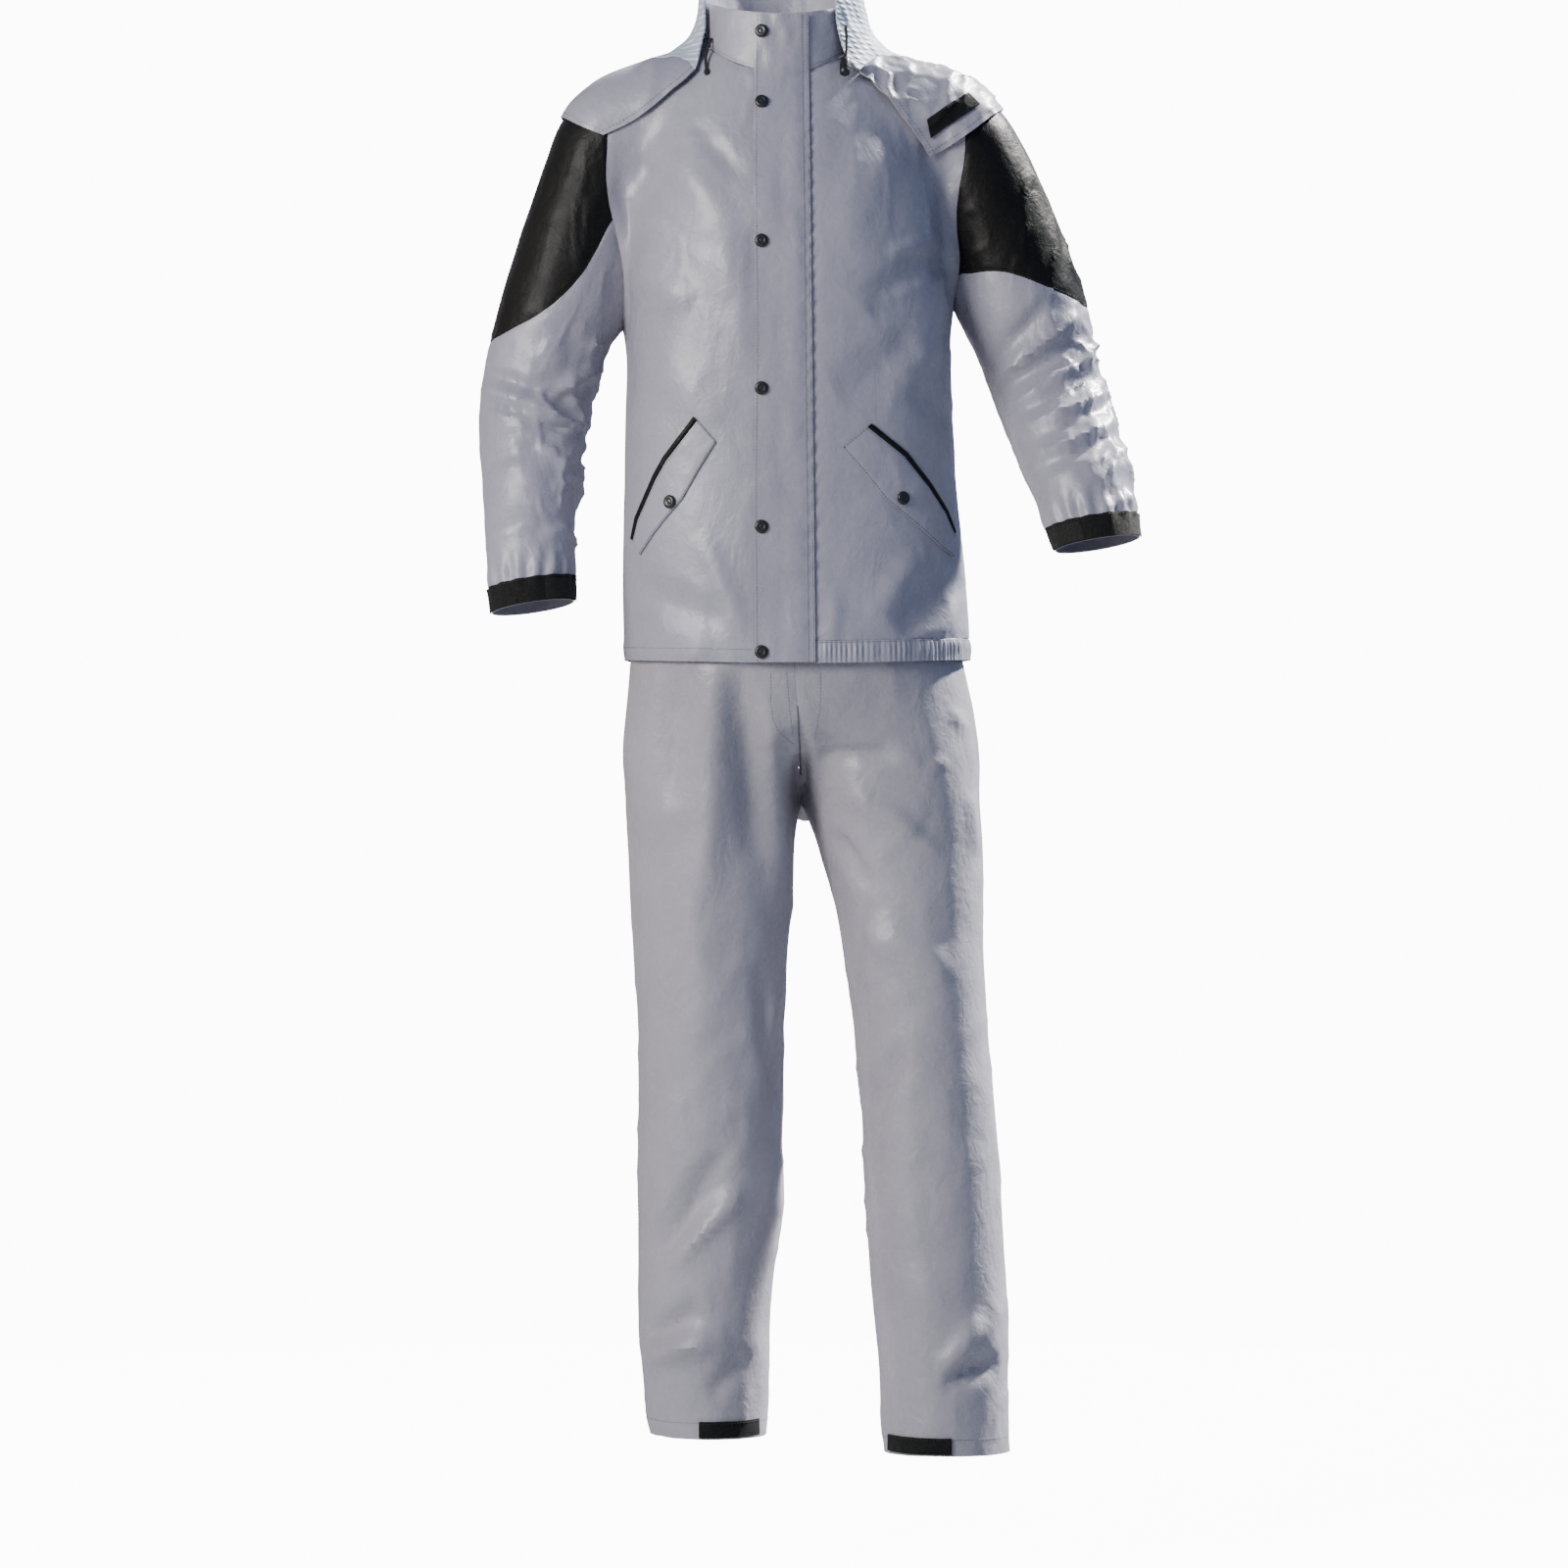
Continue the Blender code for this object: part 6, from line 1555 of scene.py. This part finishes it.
CORD_RADIUS = 1.6
CORD_RIGHT = ((-76.3, -38.8, 44), (-80.3, -44.8, 33), (-82.8, -52.8, 20), (-81.3, -62.8, 6))
CORD_LEFT = ((70.4, -64, 54.3), (71.4, -65, 43.3), (71.4, -68, 30.3), (70.4, -74, 17.3))
CORD_POINTS = 9
LOCK_RADIUS, LOCK_LENGTH = 6.0, 19.0



def waistband(seams):
    """The elastic waistband, a band over the tops of the four leg pieces."""
    ring = joined(
        seams["waist", 1, -1][::-1],
        seams["waist", 1, 1],
        seams["waist", -1, 1][::-1],
        seams["waist", -1, -1],
    )[:-1]
    rows = [ring + (0, 0, height - WAIST_BOTTOM) for height in (WAIST_TOP, WAIST_BOTTOM + SEAM_GAP)]
    grid = refined(np.array(rows), True)
    normals = outward(grid, trousers)
    count = grid.shape[1]
    gathers = 0.9 * (1 + np.cos(2 * math.pi * WAIST_GATHERS * np.arange(count) / count))
    share = np.sin(np.pi * np.linspace(0.05, 0.95, len(grid)))[:, None]
    grid = grid + normals * (gathers[None] * share)[..., None]
    cloth_wall("waistband", grid, grid - BAND * normals, "grey_cloth", around=True)


WAIST_GATHERS = 60


def leg_tab(index, tree, name):
    """The hook-and-loop tab at the front of a trouser hem."""
    row = {key: values[index] for key, values in LEG_TABS.items()}
    top, bottom = (((row["x0"], row[edge]), (row["x1"], row[edge])) for edge in ("top", "bottom"))
    places = between_lines(top, bottom, TAB_COLUMNS * 4, 5)
    laid_wall(f"leg_tab_{name}", places, tree, trousers, "black_tape", gap=TAB_GAP)


def hood_cord(name, route, end_radius):
    """A free end of the hood's drawcord."""
    curve = bpy.data.curves.new(name, "CURVE")
    curve.dimensions = "3D"
    curve.bevel_depth = CORD_RADIUS * MM
    curve.bevel_resolution = 4
    curve.use_fill_caps = True
    points = resampled(route, CORD_POINTS)
    points = along_run(points, np.linspace(0, CORD_POINTS, 4 * CORD_POINTS + 1))
    spline = curve.splines.new("POLY")
    spline.points.add(len(points) - 1)
    for target, point in zip(spline.points, points):
        target.co = (*(point * MM), 1)
    obj = bpy.data.objects.new(name + "_line", curve)
    curve.materials.append(LOOKS["black_cord"])
    bpy.context.scene.collection.objects.link(obj)
    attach(obj, "root")
    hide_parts(name)
    return obj, points


def turned_solid(name, profile, matrix, slot, node=None):
    """A solid of revolution from (radius, height) pairs in millimetres."""
    turns = 2 * math.pi * np.arange(SNAP_AROUND) / SNAP_AROUND
    shape = bmesh.new()
    loops = []
    for radius, height in profile:
        ring = np.stack([radius * np.cos(turns), radius * np.sin(turns), 0 * turns + height], 1)
        loops.append([shape.verts.new(Vector(p) * MM) for p in ring])
    for inner, outer in zip(loops[:-1], loops[1:]):
        for k in range(SNAP_AROUND):
            after = (k + 1) % SNAP_AROUND
            shape.faces.new((inner[k], outer[k], outer[after], inner[after]))
    shape.faces.new(loops[0])
    shape.faces.new(loops[-1])
    bmesh.ops.recalc_face_normals(shape, faces=shape.faces)
    mesh = bpy.data.meshes.new(name)
    shape.to_mesh(mesh)
    shape.free()
    mesh.transform(matrix)
    obj = place(name, mesh, slot, node=node)
    mesh.set_sharp_from_angle(angle=math.radians(40))
    return obj


LOCK_PROFILE = ((2.2, -9.5), (4.6, -9.5), (5.4, -8.8), (5.9, -6.0), (5.9, -3.4), (5.2, -3.0), (5.2, -2.2),
                (5.9, -1.8), (5.9, 5.0), (5.3, 8.4), (4.2, 9.5), (1.9, 9.5))
KNOT_PROFILE = ((0.8, -4.2), (2.2, -3.6), (3.1, -1.6), (3.0, 1.2), (2.2, 3.2), (0.8, 4.0))


def cord_lock(end, before):
    """The barrel lock at the end of the left cord."""
    way = unit(end - before)
    seat = end + way * (LOCK_LENGTH / 2 + SEAM_GAP)
    turn = Vector((0, 0, -1)).rotation_difference(Vector(way)).to_matrix().to_4x4()
    matrix = Matrix.Translation(Vector(seat) * MM) @ turn
    return turned_solid("hood_cord_lock_barrel", LOCK_PROFILE, matrix, "black_snap", node="hood_cord_lock")


def stitches(name, line, ways, host=None, pitch=3.6, length=2.4, radius=0.3, look="thread_grey"):
    """A row of stitches along a line on the cloth, each a short thin bar laid on it."""
    steps = np.linalg.norm(np.diff(line, axis=0), axis=1)
    at = np.concatenate([[0], np.cumsum(steps)])
    count = max(1, int(at[-1] / pitch))
    verts, faces = [], []
    for k in range(count):
        middle = (k + 0.5) * at[-1] / count
        a, b = (np.array([np.interp(s, at, line[:, axis]) for axis in range(3)]) for s in
                (middle - length / 2, middle + length / 2))
        way = unit(np.array([np.interp(middle, at, ways[:, axis]) for axis in range(3)]))
        along = unit(b - a)
        beside = np.cross(along, way)
        start = len(verts)
        for point, size in ((a, 0.45), ((a + b) / 2, 1.0), (b, 0.45)):
            lift = way * (0.12 + 0.10 * size)
            for dx, dy in ((-1, -0.4), (-0.6, 0.8), (0.6, 0.8), (1, -0.4)):
                verts.append((point + lift + radius * size * (dx * beside + dy * way)) * MM)
        for ring in (0, 4):
            for i in range(4):
                j = (i + 1) % 4
                faces.append((start + ring + i, start + ring + j, start + ring + 4 + j, start + ring + 4 + i))
        faces.append((start, start + 1, start + 2, start + 3))
        faces.append((start + 11, start + 10, start + 9, start + 8))
    mesh = bpy.data.meshes.new(name)
    mesh.from_pydata([tuple(v) for v in verts], [], faces)
    obj = place(name, mesh, look)
    if host:
        TRIMS.setdefault(host, []).append(obj)
    return obj


def inset(name, edge, distance):
    """A line on a piece at a distance in from one of its edges, and the ways out of the cloth along it."""
    lines = []
    for grid in FACES[name]:
        if edge in "lr":
            grid = np.swapaxes(grid, 0, 1)
        if edge in "br":
            grid = grid[::-1]
        lines.append(grid)
    outer, ways = lines
    away = np.concatenate([np.zeros((1, outer.shape[1])), np.cumsum(np.linalg.norm(np.diff(outer, axis=0), axis=-1), 0)])
    line, out = [], []
    for j in range(outer.shape[1]):
        line.append([np.interp(distance, away[:, j], outer[:, j, axis]) for axis in range(3)])
        out.append([np.interp(distance, away[:, j], ways[:, j, axis]) for axis in range(3)])
    return np.array(line), np.array(out)


def sew(name, host, edge, distance, start=0, stop=None, **how):
    """A stitched line along one edge of a piece, between two shares of its length."""
    line, ways = inset(host, edge, distance)
    count = len(line) - 1
    low, high = int(start * count), int((1 if stop is None else stop) * count) + 1
    return stitches(name, line[low:high], ways[low:high], host, **how)


def sew_places(name, host, places, field, **how):
    """A stitched line through (x, z) places seen from the front."""
    flat = resampled([(x, 0, z) for x, z in places], 60)[:, [0, 2]]
    tree = tree_of(PIECES[host])
    line = on_faces(flat, tree)
    ways = outward(settle(line, field), field)
    return stitches(name, line, ways, host, **how)


def stage_light(name, kind, spot, target, energy, colour, size=1.0):
    light = bpy.data.lights.new(name, kind)
    light.energy = energy
    light.color = colour
    if kind == "AREA":
        light.size = size
    else:
        light.angle = size
    obj = bpy.data.objects.new(name, light)
    obj.location = spot
    obj.rotation_euler = (Vector(target) - Vector(spot)).to_track_quat("-Z", "Y").to_euler()
    bpy.context.scene.collection.objects.link(obj)
    return obj


def surroundings():
    """White to the camera, and to the cloth a sky that is warm on the left, blue on the right and broken up."""
    world = bpy.data.worlds.new("surroundings")
    bpy.context.scene.world = world
    world.use_nodes = True
    tree = world.node_tree
    tree.nodes.clear()

    def add(kind, **values):
        node = tree.nodes.new(kind)
        for key, value in values.items():
            node.inputs[key.replace("_", " ")].default_value = value
        return node

    output = add("ShaderNodeOutputWorld")
    mix = add("ShaderNodeMixShader")
    path = add("ShaderNodeLightPath")
    sky = add("ShaderNodeBackground")
    white = add("ShaderNodeBackground", Color=(1, 1, 1, 1), Strength=WHITE)
    way = add("ShaderNodeTexCoord")
    lean = tree.nodes.new("ShaderNodeVectorMath")
    lean.operation = "DOT_PRODUCT"
    lean.inputs[1].default_value = SKY_COLD_WAY
    side = add("ShaderNodeMapRange", From_Min=-0.5, From_Max=0.6)
    colour = tree.nodes.new("ShaderNodeMix")
    colour.data_type = "RGBA"
    colour.inputs[6].default_value = SKY_LEFT
    colour.inputs[7].default_value = SKY_RIGHT
    patches = add("ShaderNodeTexNoise", Scale=2.6, Detail=3.0)
    strength = add("ShaderNodeMapRange", From_Min=0.35, From_Max=0.65, To_Min=SKY_DIM, To_Max=SKY_BRIGHT)
    join = tree.links.new
    join(way.outputs["Generated"], lean.inputs[0])
    join(way.outputs["Generated"], patches.inputs["Vector"])
    join(lean.outputs["Value"], side.inputs["Value"])
    join(side.outputs["Result"], colour.inputs["Factor"])
    join(patches.outputs["Fac"], strength.inputs["Value"])
    join(colour.outputs[2], sky.inputs["Color"])
    join(strength.outputs["Result"], sky.inputs["Strength"])
    join(path.outputs["Is Camera Ray"], mix.inputs["Fac"])
    join(sky.outputs["Background"], mix.inputs[1])
    join(white.outputs["Background"], mix.inputs[2])
    join(mix.outputs["Shader"], output.inputs["Surface"])


def photo_camera():
    camera = bpy.data.cameras.new("photo_camera")
    camera.sensor_width = 36.0
    camera.lens = camera.sensor_width * CAMERA_AWAY / PHOTO_WIDTH
    camera.clip_end = 50.0
    obj = bpy.data.objects.new("photo_camera", camera)
    obj.location = (CAMERA_X, -CAMERA_AWAY, CAMERA_Z)
    obj.rotation_euler = (math.radians(90), 0, 0)
    bpy.context.scene.collection.objects.link(obj)
    bpy.context.scene.camera = obj


CAMERA_AWAY, PHOTO_WIDTH = 6.0, 1.728
CAMERA_X, CAMERA_Z = 0.0032, -0.772
WHITE = 12.0
SKY_LEFT, SKY_RIGHT = (1.0, 0.93, 0.88, 1), (0.42, 0.60, 1.0, 1)
SKY_COLD_WAY = (0.7, 0.0, 0.7)
SKY_DIM, SKY_BRIGHT = 0.08, 0.75

photo_camera()
surroundings()
stage_light("window", "AREA", (-2.4, -2.25, 0.6), (0, 0, -0.75), 138, (1.0, 0.965, 0.94), 1.4)
low_sun = stage_light("low_sun", "SUN", (2.5, 1.85, 2.3), (0, 0, -0.6), 19.0, (1.0, 0.98, 0.95), 0.1)


def pale_floor(sun):
    """A plain round floor under the hems, as far below them as a wearer's shoes reach."""
    shape = bmesh.new()
    bmesh.ops.create_circle(shape, cap_ends=True, radius=FLOOR_RADIUS, segments=96)
    mesh = bpy.data.meshes.new("floor")
    shape.to_mesh(mesh)
    shape.free()
    nodes = Nodes("pale_floor")
    grain = nodes.noise(40.0, 3.0)
    colour = nodes.mixed(grain, (0.86, 0.86, 0.87), (0.92, 0.92, 0.92))
    mesh.materials.append(nodes.finish(colour, nodes.ramp(grain, 0.8, 0.95)))
    path = nodes.add("ShaderNodeLightPath")
    glow = nodes.add("ShaderNodeMath", operation="MULTIPLY")
    nodes.tree.links.new(path.outputs["Is Camera Ray"], glow.inputs[0])
    glow.inputs[1].default_value = FLOOR_GLOW
    nodes.shader.inputs["Emission Color"].default_value = (1, 1, 1, 1)
    nodes.tree.links.new(glow.outputs[0], nodes.shader.inputs["Emission Strength"])
    floor = bpy.data.objects.new("floor", mesh)
    floor.location = (0, 0, FLOOR_Z)
    bpy.context.scene.collection.objects.link(floor)
    unlit = bpy.data.collections.new("not_in_the_sun")
    unlit.objects.link(floor)
    unlit.collection_objects[0].light_linking.link_state = "EXCLUDE"
    sun.light_linking.receiver_collection = unlit


FLOOR_RADIUS, FLOOR_Z, FLOOR_GLOW = 2.4, -1.63, 12.0
pale_floor(low_sun)


def build_jacket():
    seams = jacket_seams()
    fronts = {}
    for side, name in ((-1, "right"), (1, "left")):
        fronts[name] = field_wall(f"jacket_front_{name}", front_piece(side, seams), jacket, "grey_cloth")
    field_wall("jacket_back", back_piece(seams), jacket, "grey_cloth")
    casing = hem_casing(seams)
    stand = collar(seams)
    for side, name in ((-1, "right"), (1, "left")):
        sleeve_pieces(side, seams, name)
    flap = storm_flap(tree_of(*fronts.values(), casing, stand), seams)
    flap_tree = tree_of(flap)
    for number, z in enumerate(SNAP_Z, 1):
        snap(f"snap_front_{number}", (SNAP_X, z), flap_tree, jacket)
    for side, name in ((-1, "right"), (1, "left")):
        pocket(side, tree_of(*fronts.values()), name)
        TRIMS.setdefault(f"jacket_front_{name}", []).append(PIECES[f"pocket_piping_{name}"])
    hood_pieces()


def build_trousers():
    seams = trouser_seams()
    for side, name in ((-1, "right"), (1, "left")):
        for face, part in ((-1, "front"), (1, "back")):
            grid = trouser_piece(side, face, seams)
            field_wall(f"trouser_{part}_{name}", grid, trousers, "cloth_of_trousers_painted_lighter")
    waistband(seams)
    for index, name in enumerate(("right", "left")):
        leg_tab(index, tree_of(PIECES[f"trouser_front_{name}"]), name)


def sew_jacket():
    for name in ("right", "left"):
        sew(f"stitch_flap_end_{name}", f"hood_flap_{name}", "b", 6.0, pitch=4.0)
        sew(f"stitch_flap_front_{name}", f"hood_flap_{name}", "l", 6.0, pitch=4.0)
        # thick black stitches on the pocket flaps' end and lower edges: partly real stitching, partly painted shadow
        # for the dark line under each flap's free edge
        sew(f"pocket_end_stitch_painted_shadow_{name}", f"pocket_flap_{name}", "l", 1.0, radius=0.4, look="thread_black")
        sew(f"pocket_low_stitch_painted_shadow_{name}", f"pocket_flap_{name}", "b", 1.0, radius=0.4, look="thread_black")
        sew(f"stitch_pocket_top_{name}", f"pocket_flap_{name}", "t", 2.0)
        sew(f"stitch_panel_{name}", f"sleeve_black_{name}", "b", 3.0, look="thread_black")
        sew(f"stitch_cuff_{name}", f"sleeve_grey_{name}", "b", 4.0, pitch=3.8)
        sew(f"stitch_tab_{name}", f"cuff_tab_{name}", "t", 2.2, look="thread_black")
    sew("stitch_storm_free", "storm_flap", "l", 3.5)
    sew("stitch_storm_sewn", "storm_flap", "r", 1.6, pitch=3.2)
    sew("stitch_storm_second", "storm_flap", "r", 7.0, pitch=3.2)
    sew("stitch_collar_top", "collar", "t", 4.0)
    sew("stitch_hem_right", "jacket_front_right", "b", 14.0)
    sew("stitch_casing", "hem_casing", "t", 2.0, pitch=3.2)
    sew("stitch_patch_top", "hood_hook_patch", "t", 1.8, look="thread_black")
    sew("stitch_patch_low", "hood_hook_patch", "b", 1.8, look="thread_black")


def sew_trousers():
    for name in ("right", "left"):
        for part in ("front", "back"):
            sew(f"stitch_hem_{part}_{name}", f"trouser_{part}_{name}", "b", 18.0)
        sew(f"stitch_outseam_{name}", f"trouser_front_{name}", "l", 3.0)
        sew(f"stitch_tab_low_{name}", f"leg_tab_{name}", "t", 2.0, look="thread_black")
    # a row of dark stitches along the curve of a fold's shade: painted shade
    sew_places("stitch_fly_curve", "trouser_front_right", FOLD_SHADE_CURVE, trousers)
    sew_places("stitch_fly", "trouser_front_right", FLY_LINE, trousers)
    sew_places("stitch_fly_left", "trouser_front_left", FLY_LEFT, trousers)
    sew_places("stitch_fly_tack", "trouser_front_left", FLY_TACK, trousers, pitch=1.3, length=1.5, radius=1.0)


# the curve of a fold's shade beside the fly, where dark stitches are laid as painted shade
FOLD_SHADE_CURVE = ((-11, -652), (-11, -684), (-9, -702), (-2, -716), (8, -725), (14, -729))
FLY_LINE = ((6, -652), (9, -690), (13, -722))
FLY_TACK = ((17.4, -688), (18.5, -700), (18.9, -711), (19.5, -720), (20.1, -729), (20.9, -741), (21.5, -762))
FLY_LEFT = ((43, -652), (42, -690), (36, -724))


build_jacket()
build_trousers()
sew_jacket()
sew_trousers()

right_cord, right_points = hood_cord("hood_cord_right", CORD_RIGHT, 1)
left_cord, left_points = hood_cord("hood_cord_left", CORD_LEFT, 1)
lock = cord_lock(left_points[-1], left_points[-2])
knot_way = Vector(unit(right_points[-1] - right_points[-2]))
knot_turn = Vector((0, 0, -1)).rotation_difference(knot_way).to_matrix().to_4x4()
knot_seat = Vector(right_points[-1] + np.array(knot_way) * 1.5) * MM
knot = turned_solid("hood_cord_knot", KNOT_PROFILE, Matrix.Translation(knot_seat) @ knot_turn, "black_cord")
